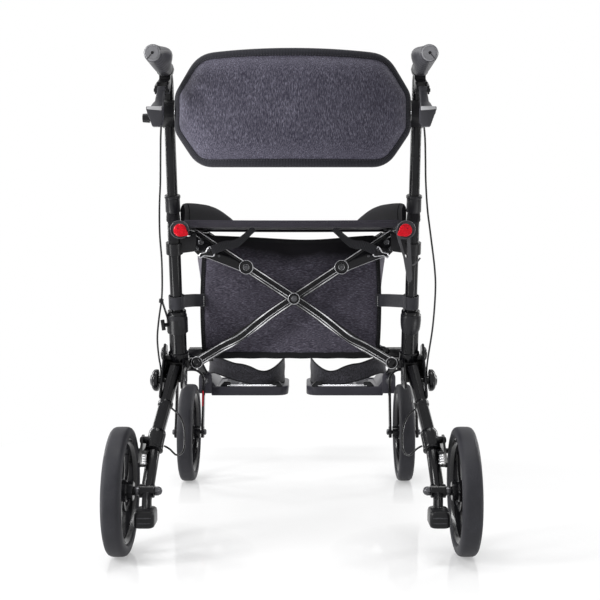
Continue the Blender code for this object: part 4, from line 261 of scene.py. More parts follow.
def even_outline(outline, spacing):
    """The same closed outline with points added so that none stand further apart than the spacing."""
    points = []
    for start, end in zip(outline, outline[1:] + outline[:1]):
        start, end = Vector(start), Vector(end)
        parts = max(1, ceil((end - start).length / spacing))
        points += [tuple(start.lerp(end, i / parts)) for i in range(parts)]
    return points


def inset_outline(outline, inset):
    following = outline[1:] + outline[:1]
    turn = copysign(1, sum(a[0] * b[1] - b[0] * a[1] for a, b in zip(outline, following)))
    points = []
    for before, (a, b), after in zip(outline[-1:] + outline, outline, following):
        along = (Vector(after) - Vector(before)).normalized()
        points.append((a - turn * along.y * inset, b + turn * along.x * inset))
    return points


def add_slab(bm, outline, plane, low, high, edge=0.0006):
    """An outline extruded between two heights with softened rims."""
    half = [(0.0, edge), (edge * 0.3, edge * 0.3), (edge, 0.0)]
    stops = [(low + rise, cut) for rise, cut in half] + [(high - rise, cut) for rise, cut in reversed(half)]
    rings = [[PLANES[plane](a, b, at) for a, b in inset_outline(outline, cut)] for at, cut in stops]
    return add_rings(bm, rings)


def add_block(bm, low, high, edge=0.001):
    corners = [(low[0], low[1]), (high[0], low[1]), (high[0], high[1]), (low[0], high[1])]
    return add_slab(bm, rounded_outline(corners, edge, 3), "XY", low[2], high[2], edge)


def smooth_route(points, spacing):
    """Points at an even spacing along a Catmull-Rom curve through the route's own points."""
    points = [Vector(p) for p in points]
    ends = [2 * points[0] - points[1]] + points + [2 * points[-1] - points[-2]]
    dense = []
    for a, b, c, d in zip(ends, ends[1:], ends[2:], ends[3:]):
        for t in spread(24)[:-1]:
            bend = 2 * a - 5 * b + 4 * c - d
            twist = 3 * b - a - 3 * c + d
            dense.append(0.5 * (2 * b + (c - a) * t + bend * t * t + twist * t * t * t))
    route = dense[:1]
    for point in dense[1:]:
        if (point - route[-1]).length >= spacing:
            route.append(point)
    if (route[-1] - points[-1]).length < spacing / 2:
        route.pop()
    return route + points[-1:]


def add_stitches(bm, line, normal, length=0.003, gap=0.0015, width=0.0005, height=0.0004):
    """A row of short raised threads along points of a surface with one normal, or one for each point."""
    normals = normal if isinstance(normal, list) else [normal] * len(line)
    reach = [0.0]
    for a, b in zip(line, line[1:]):
        reach.append(reach[-1] + (b - a).length)

    def at(distance):
        i = 0
        while i < len(reach) - 2 and reach[i + 1] < distance:
            i += 1
        share = (distance - reach[i]) / max(1e-9, reach[i + 1] - reach[i])
        return line[i].lerp(line[i + 1], share), normals[i].lerp(normals[i + 1], share)

    run = 0.0
    while run + length < reach[-1]:
        start, up = at(run)
        end = at(run + length)[0]
        lift = up.normalized() * height
        across = up.cross(end - start).normalized() * width
        stops = ((start, 0.6, 0.4), ((start + end) / 2 + lift, 1.0, 0.6), (end, 0.6, 0.4))
        add_rings(bm, [[p - across * w - lift, p + across * w - lift, p + lift * h] for p, w, h in stops])
        run += length + gap


# Finishing a piece


def add_piece(name, draw, material, body, nodes=(), sharp=38.0, mirrored=False):
    """Draws a shape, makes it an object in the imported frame, and lets it ride on its body."""
    bm = bmesh.new()
    bm.loops.layers.uv.new("UVMap")
    draw(bm)
    if mirrored:
        bmesh.ops.scale(bm, vec=(-1, 1, 1), verts=bm.verts)
    bmesh.ops.recalc_face_normals(bm, faces=bm.faces)
    bmesh.ops.translate(bm, verts=bm.verts, vec=FRAME_SHIFT)
    mesh = bpy.data.meshes.new(name)
    bm.to_mesh(mesh)
    bm.free()
    mesh.shade_smooth()
    mesh.set_sharp_from_angle(angle=radians(sharp))
    mesh.materials.append(material)
    piece = bpy.data.objects.new(name, mesh)
    bpy.context.scene.collection.objects.link(piece)
    if body:
        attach(piece, body)
    if nodes:
        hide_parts(*nodes)
    return piece


def add_pair(name, draw, material, body, slot, nodes=(), sharp=38.0):
    """The right-hand piece and its mirror image; body and node names get the side's ending."""
    pieces = []
    for side in ("right", "left"):
        rider = body[side] if isinstance(body, dict) else body and f"{body}_{side}"
        names = [f"{node}_{side}" for node in nodes]
        pieces.append(add_piece(f"{name}_{side}", draw, material, rider, names, sharp, side == "left"))
    return pieces


def swell(piece, voxel, pressure, cap, freedom, frames=20):
    """Swells a closed shape by cloth pressure; no point moves past the cap times its freedom."""
    remesh = piece.modifiers.new("remesh", "REMESH")
    remesh.mode = "VOXEL"
    remesh.voxel_size = voxel
    remesh.use_smooth_shade = True
    mesh = evaluated_mesh(piece)
    piece.modifiers.clear()
    material = piece.data.materials[0]
    piece.data = mesh
    rest = [v.co.copy() for v in mesh.vertices]
    cloth = piece.modifiers.new("cloth", "CLOTH")
    cloth.settings.quality = 5
    cloth.settings.mass = 0.3
    cloth.settings.use_pressure = True
    cloth.settings.uniform_pressure_force = pressure
    cloth.settings.effector_weights.gravity = 0.0
    cloth.point_cache.frame_start, cloth.point_cache.frame_end = 1, frames
    for number in range(1, frames + 1):
        bpy.context.scene.frame_set(number)
    moved = [v.co.copy() for v in evaluated_mesh(piece).vertices]
    piece.modifiers.clear()
    bpy.context.scene.frame_set(1)
    for vertex, before, after in zip(mesh.vertices, rest, moved):
        step = after - before
        vertex.co = before + step * min(1.0, cap / max(step.length, 1e-9)) * freedom(before)
    rounding = piece.modifiers.new("round", "SUBSURF")
    rounding.levels = rounding.render_levels = 1
    piece.data = evaluated_mesh(piece)
    piece.modifiers.clear()
    piece.data.shade_smooth()
    if not piece.data.materials:
        piece.data.materials.append(material)


def evaluated_mesh(piece):
    graph = bpy.context.evaluated_depsgraph_get()
    return bpy.data.meshes.new_from_object(piece.evaluated_get(graph))


def fold_with_width(piece):
    """Gives cloth that spans the two side frames a mesh of its own."""
    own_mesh(piece)


# Materials


class Nodes:
    """Short ways to add nodes to a tree and to join them."""

    def __init__(self, tree):
        self.tree = tree

    def give(self, socket, value):
        if isinstance(value, bpy.types.NodeSocket):
            self.tree.links.new(value, socket)
        elif socket.type == "RGBA" and len(value) == 3:
            socket.default_value = (*value, 1.0)
        else:
            socket.default_value = value

    def add(self, kind, values=None, **properties):
        node = self.tree.nodes.new(kind)
        for key, value in properties.items():
            setattr(node, key, value)
        for key, value in (values or {}).items():
            self.give(node.inputs[key], value)
        return node

    def math(self, operation, *values):
        return self.add("ShaderNodeMath", dict(enumerate(values)), operation=operation).outputs[0]

    def ramp(self, value, low, high, low_to=0.0, high_to=1.0):
        values = {"Value": value, "From Min": low, "From Max": high, "To Min": low_to, "To Max": high_to}
        return self.add("ShaderNodeMapRange", values).outputs["Result"]


class Paint(Nodes):
    """A Principled material with short names for the nodes that it uses."""

    def __init__(self, name, colour, roughness, metallic=0.0):
        self.material = bpy.data.materials.new(name)
        self.material.use_nodes = True
        super().__init__(self.material.node_tree)
        self.shader = self.tree.nodes["Principled BSDF"]
        self.plug(Base_Color=colour, Roughness=roughness, Metallic=metallic)
        self.space = self.add("ShaderNodeTexCoord").outputs["Object"]

    def plug(self, **values):
        for name, value in values.items():
            self.give(self.shader.inputs[name.replace("_", " ")], value)
        return self.material

    def mapped(self, scale):
        return self.add("ShaderNodeMapping", {"Vector": self.space, "Scale": scale}).outputs["Vector"]

    def noise(self, scale, detail=3.0, vector=None, roughness=0.5):
        values = {"Vector": vector or self.space, "Scale": scale, "Detail": detail, "Roughness": roughness}
        return self.add("ShaderNodeTexNoise", values).outputs["Fac"]

    def wave(self, scale, direction, vector=None):
        values = {"Vector": vector or self.space, "Scale": scale}
        return self.add("ShaderNodeTexWave", values, bands_direction=direction).outputs["Fac"]

    def mix(self, share, first, second):
        return self.add("ShaderNodeMix", {0: share, 6: first, 7: second}, data_type="RGBA").outputs[2]

    def bump(self, height, distance, strength=1.0, edge=0.0):
        values = {"Height": height, "Distance": distance, "Strength": strength}
        if edge:
            values["Normal"] = self.soft_edge(edge)
        return self.add("ShaderNodeBump", values).outputs["Normal"]

    def soft_edge(self, radius):
        return self.add("ShaderNodeBevel", {"Radius": radius}, samples=4).outputs["Normal"]


def hard_paint(name, colour, roughness, grain=1400.0, relief=0.00001, edge=0.0007):
    """Painted or moulded hard surface: fine grain, uneven gloss, faint wear, softened edges."""
    paint = Paint(name, colour, roughness)
    cloud = paint.noise(9.0, 4.0)
    worn = [c * 1.5 + 0.003 for c in colour]
    return paint.plug(
        Base_Color=paint.mix(paint.ramp(cloud, 0.35, 0.75), colour, worn),
        Roughness=paint.ramp(cloud, 0.3, 0.7, roughness - 0.05, roughness + 0.07),
        Normal=paint.bump(paint.noise(grain, 2.0), relief, 0.6, edge), Specular_IOR_Level=0.22,
    )


def brushed_metal(name, colour, roughness):
    """Plain or darkened metal with fine lines along one direction."""
    paint = Paint(name, colour, roughness, 1.0)
    lines = paint.noise(30.0, 4.0, paint.mapped((60, 60, 2)))
    return paint.plug(
        Base_Color=paint.mix(paint.ramp(lines, 0.3, 0.7), colour, [min(1.0, c * 1.5) for c in colour]),
        Roughness=paint.ramp(lines, 0.3, 0.7, roughness - 0.04, roughness + 0.1),
        Normal=paint.bump(lines, 0.00002, 0.4, 0.0006),
    )


def melange_cloth(name, dark, light, flecks, sheen=0.25, threshold=(0.42, 0.64), painted_shade_heights=None):
    """Heather fabric: short streaks of lighter yarn over a dark ground, with a plain weave in relief.

    Between the two heights given last, the cloth darkens upwards into painted shade, as under the seat.
    """
    paint = Paint(name, dark, 0.9)
    streak = paint.noise(1.0, 3.0, paint.mapped(flecks), 0.62)
    fine = paint.noise(1.0, 2.0, paint.mapped([2.3 * s for s in flecks]))
    share = paint.math("MULTIPLY", paint.ramp(streak, *threshold), paint.ramp(fine, 0.3, 0.62, 0.35, 1.0))
    share = paint.math("MULTIPLY", share, paint.ramp(paint.noise(26.0), 0.25, 0.75, 0.7, 1.2))
    colour = paint.mix(share, dark, light)
    # Painted shade: a darker copy of the ground colour above a noisy height.
    if painted_shade_heights:
        height = paint.add("ShaderNodeSeparateXYZ", {0: paint.space}).outputs["Z"]
        height = paint.math("ADD", height, paint.ramp(paint.noise(9.0), 0.3, 0.7, -0.012, 0.012))
        colour = paint.mix(paint.ramp(height, *painted_shade_heights), colour, [c * 0.14 for c in dark])
    weave = paint.math("MAXIMUM", paint.wave(260.0, "X"), paint.wave(260.0, "Z"))
    relief = paint.math("MULTIPLY_ADD", streak, 1.2, weave)
    return paint.plug(
        Base_Color=colour, Normal=paint.bump(relief, 0.00025, 0.5), Specular_IOR_Level=0.12,
        Sheen_Weight=sheen, Sheen_Roughness=0.5,
    )


def ribbed_cloth(name, colour, pitch, sheen=0.2, lift=2.1):
    """Webbing or binding tape with ribs across its length, read from the piece's UVs in metres."""
    paint = Paint(name, colour, 0.85)
    ribs = paint.wave(0.31 / pitch, "X", paint.add("ShaderNodeTexCoord").outputs["UV"])
    yarn = paint.noise(700.0, 2.0)
    share = paint.math("MULTIPLY", ribs, paint.ramp(yarn, 0.3, 0.7, 0.45, 1.0))
    return paint.plug(
        Base_Color=paint.mix(share, colour, [min(1.0, c * lift + 0.008) for c in colour]),
        Normal=paint.bump(paint.math("MULTIPLY_ADD", yarn, 0.5, ribs), 0.0003, 0.7), Specular_IOR_Level=0.12,
        Sheen_Weight=sheen, Sheen_Roughness=0.5,
    )


def rubber(name, colour, roughness):
    """Matt rubber with mottled bloom and fine scuffs."""
    paint = Paint(name, colour, roughness)
    bloom, scuff = paint.noise(35.0, 5.0), paint.noise(500.0)
    share = paint.math("MULTIPLY", paint.ramp(bloom, 0.35, 0.8), paint.ramp(scuff, 0.3, 0.7, 0.4, 1.0))
    return paint.plug(
        Base_Color=paint.mix(share, colour, [c * 1.5 + 0.008 for c in colour]),
        Roughness=paint.ramp(bloom, 0.3, 0.7, roughness - 0.08, roughness + 0.08),
        Normal=paint.bump(scuff, 0.00004, 0.7, 0.0008), Specular_IOR_Level=0.22,
    )


def bar_metal_with_painted_highlights():
    """Black bar with painted highlights along its edges and grooves, placed by UVs that run along it and
    round its section.
    """
    paint = Paint("bar_metal", BAR_BLACK, 0.2)
    uv = paint.add("ShaderNodeTexCoord").outputs["UV"]
    split = paint.add("ShaderNodeSeparateXYZ", {0: uv}).outputs
    rise = paint.ramp(split["X"], *BAR_PINCH_START)
    fall = paint.ramp(split["X"], *BAR_PINCH_END, 1.0, 0.0)
    shift = paint.math("MULTIPLY", paint.math("MULTIPLY", rise, fall), BAR_PINCH)
    around = paint.math("SUBTRACT", split["Y"], shift)
    # cut gathers the painted highlight lines, broken up by noise.
    cut = 0.0
    for middle, width in BAR_HIGHLIGHT_LINES:
        cut = paint.math("MAXIMUM", paint.math("COMPARE", around, middle, width), cut)
    cut = paint.math("MULTIPLY", cut, paint.ramp(paint.noise(26.0), 0.36, 0.6, 0.25, 1.0))
    return paint.plug(
        Base_Color=paint.mix(cut, BAR_BLACK, BAR_PAINTED_HIGHLIGHT), Metallic=paint.math("MULTIPLY", cut, 0.25),
        Roughness=paint.ramp(paint.noise(300.0), 0.3, 0.7, 0.16, 0.26), Specular_IOR_Level=0.25,
        Normal=paint.soft_edge(0.0006),
    )


def reflector_lens(name, deep, lit, painted_glow):
    """Clear red plastic over a cube-corner pattern, with painted light and shade on its cells and a faint
    painted glow.
    """
    paint = Paint(name, lit, 0.16)
    cells = paint.add("ShaderNodeTexVoronoi", {"Vector": paint.space, "Scale": 480.0}).outputs["Distance"]
    return paint.plug(
        Base_Color=paint.mix(paint.ramp(cells, 0.0, 0.6), lit, deep), Normal=paint.bump(cells, 0.0003, 0.5),
        Specular_IOR_Level=0.1, Coat_Weight=0.12, Coat_Roughness=0.08, Emission_Color=lit,
        Emission_Strength=painted_glow,
    )


FRAME_PAINT = hard_paint("frame_paint_satin", (0.004, 0.004, 0.005), 0.18, 900.0, 0.000003)
GLOSS_BLACK = hard_paint("gloss_black_moulding", (0.005, 0.005, 0.006), 0.15, relief=0.000003, edge=0.0009)
COLLAR_PLASTIC = hard_paint("collar_plastic", (0.01, 0.01, 0.012), 0.3)
DARK_PLASTIC = hard_paint("dark_plastic_grained", (0.006, 0.006, 0.007), 0.28)
DECK_PLASTIC = hard_paint("deck_plastic_grained", (0.024, 0.023, 0.03), 0.34, relief=0.000014)
GREY_PLASTIC = hard_paint("grey_plastic_grained", (0.034, 0.034, 0.039), 0.32)
CAP_PLASTIC = hard_paint("grip_cap_plastic", (0.17, 0.17, 0.18), 0.34)
LATCH_PLASTIC = hard_paint("latch_plastic", (0.05, 0.05, 0.054), 0.26, edge=0.0014)
# Pale colour of the bag straps' stitches and of the painted highlight on the levers' top edges.
PALE_STITCH_AND_HIGHLIGHT = hard_paint("pale_stitch_and_painted_highlight", (0.4, 0.4, 0.41), 0.28)
STEEL = brushed_metal("plain_steel", (0.55, 0.55, 0.57), 0.24)
DARK_METAL = brushed_metal("dark_metal", (0.075, 0.075, 0.08), 0.28)
BAR_METAL = bar_metal_with_painted_highlights()
CASING = hard_paint("cable_casing", (0.008, 0.008, 0.009), 0.24, 300.0, 0.00002)
TYRE_RUBBER = rubber("tyre_rubber", (0.018, 0.018, 0.022), 0.55)
GRIP_RUBBER = rubber("grip_rubber_soft", (0.042, 0.042, 0.047), 0.42)
BACK_CLOTH = melange_cloth(
    "backrest_melange", (0.038, 0.035, 0.053), (0.27, 0.26, 0.33), (1250, 1250, 170), 0.15, (0.46, 0.7),
)
# The bag's last two heights paint the seat's shadow onto its upper part.
BAG_CLOTH = melange_cloth(
    "bag_melange", (0.04, 0.036, 0.05), (0.22, 0.205, 0.26), (190, 1300, 1300), 0.15, (0.46, 0.7),
    (0.466, 0.49),
)
SEAT_CLOTH = melange_cloth("seat_melange", (0.018, 0.017, 0.022), (0.12, 0.11, 0.14), (900, 240, 900))
PLAIN_FLECKS = (900, 900, 500)
GUARD_CLOTH = melange_cloth("guard_cloth", (0.004, 0.004, 0.005), (0.014, 0.013, 0.018), PLAIN_FLECKS, 0.05)
SLEEVE_CLOTH = melange_cloth("sleeve_cloth", (0.006, 0.006, 0.007), (0.022, 0.021, 0.026), PLAIN_FLECKS, 0.1)
HEEL_MESH = melange_cloth("heel_sling_cloth", (0.01, 0.01, 0.012), (0.07, 0.067, 0.082), (700, 700, 400), 0.2)
BINDING = ribbed_cloth("binding_tape", (0.01, 0.01, 0.013), 0.0023, 0.15, 3.2)
EDGE_TAPE = ribbed_cloth("edge_tape", (0.005, 0.005, 0.006), 0.0012, 0.05)
WEBBING = ribbed_cloth("strap_webbing", (0.015, 0.015, 0.017), 0.0026, 0.1, 3.0)
HOOK_STRAP = ribbed_cloth("hook_and_loop_strap", (0.018, 0.018, 0.022), 0.0012, 0.25)
HEM_CLOTH = ribbed_cloth("hem_cloth", (0.024, 0.022, 0.029), 0.0018, 0.15)
THREAD = ribbed_cloth("thread", (0.034, 0.033, 0.04), 0.0006, 0.1)
# The lens and the fork's stripe glow a little though they are no lamps: a painted glow.
REFLECTOR = reflector_lens("reflector_lens", (0.36, 0.0, 0.006), (0.8, 0.008, 0.022), 0.12)


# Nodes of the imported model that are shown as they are, welded and smoothed


def smoothing_group():
    """Geometry nodes that weld a solid's faces and shade it smooth below a sharp angle."""
    group = bpy.data.node_groups.new("weld_and_smooth", "GeometryNodeTree")
    for way in ("INPUT", "OUTPUT"):
        group.interface.new_socket("Geometry", in_out=way, socket_type="NodeSocketGeometry")
    add = Nodes(group).add
    solid = add("NodeGroupInput").outputs[0]
    solid = add("GeometryNodeRemoveAttribute", {"Geometry": solid, "Name": "custom_normal"}).outputs[0]
    solid = add("GeometryNodeMergeByDistance", {"Geometry": solid, "Distance": 0.00001}).outputs[0]
    solid = add("GeometryNodeSetShadeSmooth", {"Geometry": solid}, domain="FACE").outputs[0]
    angle = add("GeometryNodeInputMeshEdgeAngle").outputs["Unsigned Angle"]
    sharp = add("FunctionNodeCompare", {0: angle, 1: radians(38.0)}, operation="GREATER_THAN")
    values = {"Geometry": solid, "Selection": sharp.outputs["Result"], "Shade Smooth": False}
    crease = add("GeometryNodeSetShadeSmooth", values, domain="EDGE").outputs[0]
    add("NodeGroupOutput", {0: crease})
    return group


NODE_PAINT = {
    "backrest_bracket": DARK_PLASTIC, "backrest_plunger": DARK_PLASTIC, "lever_bracket": DARK_PLASTIC,
    "rail_bracket": DARK_PLASTIC, "tube_clamp": DARK_PLASTIC, "brake_arm": FRAME_PAINT,
    "cross_pin": DARK_METAL, "fold_latch": LATCH_PLASTIC,
}


def dress_nodes():
    """Paint and smooth shading for the nodes that no drawn piece replaces."""
    smoothing = smoothing_group()
    for name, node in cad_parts.items():
        paint = NODE_PAINT.get(name.removesuffix("_left").removesuffix("_right"))
        if paint:
            node.data.materials.clear()
            node.data.materials.append(paint)
            node.modifiers.new("smooth", "NODES").node_group = smoothing


# Wheels


def add_mirrored_lathe(bm, half, centre, segments):
    """A lathe form whose profile is given for the outer half, from the middle or up to it."""
    other = [(-x, radius) for x, radius in reversed(half) if x]
    add_lathe(bm, half + other if half[-1][0] == 0 else other + half, centre, segments)


def draw_tyre(bm, centre):
    """Smooth, almost flat tread, round shoulders and a bead that stands against the rim."""
    side = [
        (0.0, 0.0), (0.006, 0.0001), (0.0095, 0.0005), (0.0125, 0.0018), (0.0146, 0.0042), (0.0158, 0.0078),
        (TYRE_HALF, 0.011), (0.0156, 0.014), (0.0146, 0.0158), (0.0134, 0.016), (0.013, 0.0168),
        (0.0122, 0.0174), (RIM_HALF, WHEEL_RADIUS - RIM_RADIUS - 0.0004),
    ]
    add_mirrored_lathe(bm, [(x, WHEEL_RADIUS - depth) for x, depth in side], centre, 120)


def draw_rim(bm, centre, hub_inner, hub_outer, hub_radius):
    """Channel ring, stepped hub and six swept spokes."""
    ring = [
        (0.0, 0.0001), (0.0012, 0.0008), (0.0014, 0.0022), (0.0004, 0.0038), (-0.0022, 0.008),
        (-0.0036, 0.0094), (-RIM_HALF, 0.0096),
    ]
    add_mirrored_lathe(bm, [(RIM_HALF + x, RIM_RADIUS - depth) for x, depth in ring], centre, 96)
    inner = [(0.0, -0.003), (-0.001, -0.002)]
    wall = [(RIM_HALF - 0.002, 0.0005), (RIM_HALF, -0.0015)]
    steps = [(-hub_inner - x, rise) for x, rise in inner] + [(-x, rise) for x, rise in reversed(wall)]
    steps += wall + [(hub_outer + x, rise) for x, rise in reversed(inner)]
    hub = [(-hub_inner, 0.0045)] + [(x, hub_radius + rise) for x, rise in steps]
    hub += [(hub_outer, 0.0095), (hub_outer - 0.0015, 0.0088), (hub_outer - 0.0015, 0.0045)]
    add_lathe(bm, hub, centre, 48)
    section = rounded_outline(rectangle(0.0035, 0.005), 0.0012, 3)
    start, end = hub_radius * 0.8, RIM_RADIUS - 0.007
    for base in turns_of(6):
        path = []
        for share in spread(8):
            radius, angle = start + (end - start) * share, base + SPOKE_SWEEP * share * share
            path.append(centre + vec(0.0, radius * cos(angle), radius * sin(angle)))
        add_sweep(bm, path, section, OUT)


def make_wheels():
    for kind, body, centre, hub in (
        ("rear", "rear_wheel", REAR_WHEEL, (0.0205, 0.015, 0.017)),
        ("caster", "caster_wheel", CASTER_WHEEL, (0.024, 0.024, 0.015)),
    ):
        tyre, rim = f"{kind}_tyre", f"{kind}_rim"
        add_pair(f"{tyre}_shape", lambda bm: draw_tyre(bm, centre), TYRE_RUBBER, body, "tyre", [tyre])
        draw = lambda bm: draw_rim(bm, centre, *hub)
        add_pair(f"{rim}_shape", draw, GLOSS_BLACK, body, "dark_plastic", [rim])


# Backrest


def back_curve(share):
    """The backrest's middle line in plan, share from -1 to 1, with the outward normal."""
    radius = (BACK_HALF_WIDTH**2 + BACK_BULGE**2) / (2 * BACK_BULGE)
    angle = asin(BACK_HALF_WIDTH / radius) * share
    y = BACK_PIVOT_Y - (radius * cos(angle) - (radius - BACK_BULGE))
    return vec(radius * sin(angle), y, BACK_PIVOT_Z), vec(sin(angle), -cos(angle), 0.0)


def back_outline(inset=0.0):
    """The cushion's outline in metres across and up: a hexagon with rounded corners and arched long edges."""
    wide, narrow, tip = BACK_HALF_WIDTH, BACK_TOP_HALF_WIDTH, BACK_TIP_HALF_HEIGHT
    top, bottom = BACK_HALF_HEIGHT - 0.001, 0.002 - BACK_HALF_HEIGHT
    corners = [(wide, -tip), (wide, tip), (narrow, top)]
    corners += [(-x, z) for x, z in reversed(corners)] + [(-narrow, bottom), (narrow, bottom)]
    radii = [0.03, 0.03, 0.05, 0.05, 0.03, 0.03, 0.046, 0.046]
    arched = []
    for x, z in inset_outline(even_outline(rounded_outline(corners, radii, 7), 0.01), inset):
        arch = max(0.0, 1 - (x / narrow) ** 2) * max(0.0, abs(z) / BACK_HALF_HEIGHT) ** 4
        arched.append((x, z + copysign(0.003 * arch, z)))
    return arched


def back_point(x, rise, depth):
    middle, normal = back_curve(x / BACK_HALF_WIDTH)
    return middle + normal * depth + vec(0, 0, rise)


def draw_back_shell(bm):
    """Closed cushion: a rim as thin as its tape, then faces that rise to the crown."""
    levels = [(0.0, 0.0), (0.0015, 0.003), (0.0095, 0.0036), (0.0125, 0.0058), (0.018, 0.0078)]
    levels = [(inset, 1.0, depth) for inset, depth in levels + [(0.03, 0.0098), (0.045, 0.0112)]]
    levels += [(0.045, scale, BACK_CROWN / 2) for scale in (0.75, 0.5, 0.25, 0.08)]
    rings = []
    for face, rows in ((-1, levels[::-1]), (1, levels[1:])):
        for inset, scale, depth in rows:
            rings.append([back_point(x * scale, z * scale, face * depth) for x, z in back_outline(inset)])
    add_rings(bm, rings)


def draw_back_binding(bm):
    """Ribbed tape folded over the cushion's rim."""
    half = [(0.0102, 0.004), (0.0098, 0.0054), (0.006, 0.0058), (0.0012, 0.005), (-0.0008, 0.0032)]
    section = [(inset, -depth) for inset, depth in half] + [(-0.0016, 0.0)] + half[::-1]
    columns = [[back_point(x, z, depth) for x, z in back_outline(inset)] for inset, depth in section]
    add_rings(bm, [list(ring) for ring in zip(*columns)], closed_along=True)


def draw_back_stitches(bm):
    outline = back_outline(0.0084)
    outline.append(outline[0])
    for face in (-1, 1):
        line = [back_point(x, z, face * 0.0057) for x, z in outline]
        add_stitches(bm, line, [back_curve(x / BACK_HALF_WIDTH)[1] * face for x, _ in outline])


def back_freedom(place):
    """Nought at the taped rim, one on the faces, by a point's distance from the cushion's middle surface."""
    point = place - FRAME_SHIFT
    middle, normal = back_curve(max(-1.0, min(1.0, point.x / BACK_HALF_WIDTH)))
    away = abs((point - vec(middle.x, middle.y, point.z)).dot(normal))
    return max(0.0, min(1.0, (away - 0.005) / 0.005))


def draw_back_band(bm):
    """Springy strip inside the cushion, with a round pivot stub at each end."""
    path = [back_point(x, 0.0, 0.0) for x in spread(28, -BACK_HALF_WIDTH, BACK_HALF_WIDTH)]
    add_sweep(bm, path, rectangle(*BAND_HALF_SECTION), UP)
    reach = (BACK_HALF_WIDTH - 0.004, UPRIGHT_X + 0.003)
    for side in (-1, 1):
        ends = [vec(side * x, BACK_PIVOT_Y, BACK_PIVOT_Z) for x in reach]
        add_rod(bm, *ends, BAND_STUB_RADIUS, 24, 0.0004)


def make_backrest():
    for name, draw, material, slot, nodes in (
        ("backrest_cushion", draw_back_shell, BACK_CLOTH, "cushion", ["backrest_pad"]),
        ("backrest_binding", draw_back_binding, BINDING, "fabric", []),
        ("backrest_stitches", draw_back_stitches, THREAD, "fabric", []),
        ("backrest_spring_band", draw_back_band, STEEL, "dark_plastic", ["backrest_band"]),
    ):
        piece = add_piece(name, draw, material, "backrest", nodes)
        if slot == "cushion":
            swell(piece, 0.005, 4.0, 0.006, back_freedom)
        fold_with_width(piece)


# Seat


def sling_height(x):
    share = max(-1.0, min(1.0, x / RAIL_X))
    return RAIL_Z + SEAT_SLEEVE_RISE + SEAT_SLEEVE_RADIUS - SEAT_SAG * (1 - share * share)


def ripple(x, y):
    """Small uneven waves of stretched cloth."""
    return 0.0006 * sin(31 * x + 9 * y) * sin(17 * y + 2.0) + 0.0004 * sin(57 * x - 23 * y)


def draw_seat(bm):
    """One sheet round both rails and across between them, with a thickness of cloth and foam."""
    sleeve_z = RAIL_Z + SEAT_SLEEVE_RISE
    reach = SEAT_SLEEVE_RADIUS - 0.0003
    section = [(x, sling_height(x), 1.0) for x in spread(30, -RAIL_X, RAIL_X)]
    for turn in spread(11, radians(75), radians(-90)):
        section.append((RAIL_X + reach * cos(turn), sleeve_z + reach * sin(turn), 0.3))
    for x in spread(30, RAIL_X - 0.006, 0.006 - RAIL_X):
        edge = RAIL_X - abs(x)
        drop = SEAT_THICKNESS * min(1.0, edge / 0.012) + 0.004 * max(0.0, 1 - edge / 0.02)
        section.append((x, sling_height(x) - drop, -1.0))
    for turn in spread(11, radians(270), radians(105)):
        section.append((-RAIL_X + reach * cos(turn), sleeve_z + reach * sin(turn), 0.3))
    rings = []
    rows = spread(22, SEAT_REAR_Y + 0.0006, SEAT_FRONT_Y - 0.0006)
    for row, y in enumerate(rows):
        fade = min(1.0, row / 3, (len(rows) - 1 - row) / 3)
        rings.append([vec(x, y, z + ripple(x, y) * fade * max(face, 0.0)) for x, z, face in section])
    add_rings(bm, rings)


def draw_seat_hems(bm):
    """Flat tapes with a turned edge along the rear and front rims."""
    section = [
        (-0.0002, 0.0007), (0.0016, 0.0012), (0.002, -0.0012), (0.0014, -0.002), (0.0014, -0.0094),
        (0.0019, -0.0104), (0.0004, -0.011), (-0.0002, -0.0106),
    ]
    for y, away in SEAT_RIMS:
        rings = []
        for i, x in enumerate(spread(32, -RAIL_X, RAIL_X)):
            wave = 0.0003 * sin(i * 1.7)
            rings.append([vec(x, y + away * (a + wave), sling_height(x) + b) for a, b in section])
        add_rings(bm, rings)


def draw_seat_stitches(bm):
    reach = RAIL_X * 0.97
    for y, away in SEAT_RIMS:
        for drop in (-0.0026, -0.0088):
            line = [vec(x, y + away * 0.0018, sling_height(x) + drop) for x in spread(60, -reach, reach)]
            add_stitches(bm, line, FORE * away)
    ys = spread(40, SEAT_REAR_Y + 0.01, SEAT_FRONT_Y - 0.01)
    for inset in (0.006, 0.012):
        for sign in (-1, 1):
            x = sign * (RAIL_X - inset - 0.01)
            add_stitches(bm, [vec(x, y, sling_height(x) + ripple(x, y) + 0.0001) for y in ys], UP)


def bend_with_rails(piece):
    """Cloth between the seat rails, which stand on the two halves of the cross frame; its placement is baked
    into its mesh.
    """
    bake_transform(piece)


def make_seat():
    for name, draw, material, nodes in (
        ("seat_sling", draw_seat, SEAT_CLOTH, ["seat"]), ("seat_hems", draw_seat_hems, HEM_CLOTH, []),
        ("seat_stitches", draw_seat_stitches, THREAD, []),
    ):
        piece = add_piece(name, draw, material, None, nodes)
        bend_with_rails(piece)


# Side guards


GUARD_STATIONS = [
    (0.1885, -0.276, 0.0272, 0.004), (0.1872, -0.267, 0.029, 0.0046), (0.1845, -0.255, 0.0305, 0.0052),
    (0.18, -0.24, 0.0312, 0.0056), (0.1758, -0.222, 0.0318, 0.0061), (0.171, -0.205, 0.032, 0.0065),
    (0.1654, -0.182, 0.0321, 0.0069), (0.159, -0.16, 0.0318, 0.007), (0.1518, -0.135, 0.0302, 0.0069),
    (0.144, -0.11, 0.0272, 0.0065), (0.1365, -0.085, 0.0225, 0.0061), (0.129, -0.06, 0.0165, 0.0054),
    (0.1235, -0.044, 0.0118, 0.0044), (0.119, -0.03, 0.007, 0.003),
]


def guard_floor(x, half):
    return max(sling_height(x - half), sling_height(x + half)) + 0.0008


def guard_arch(height, sine):
    return height * (0.42 + 0.58 * sine**0.75)


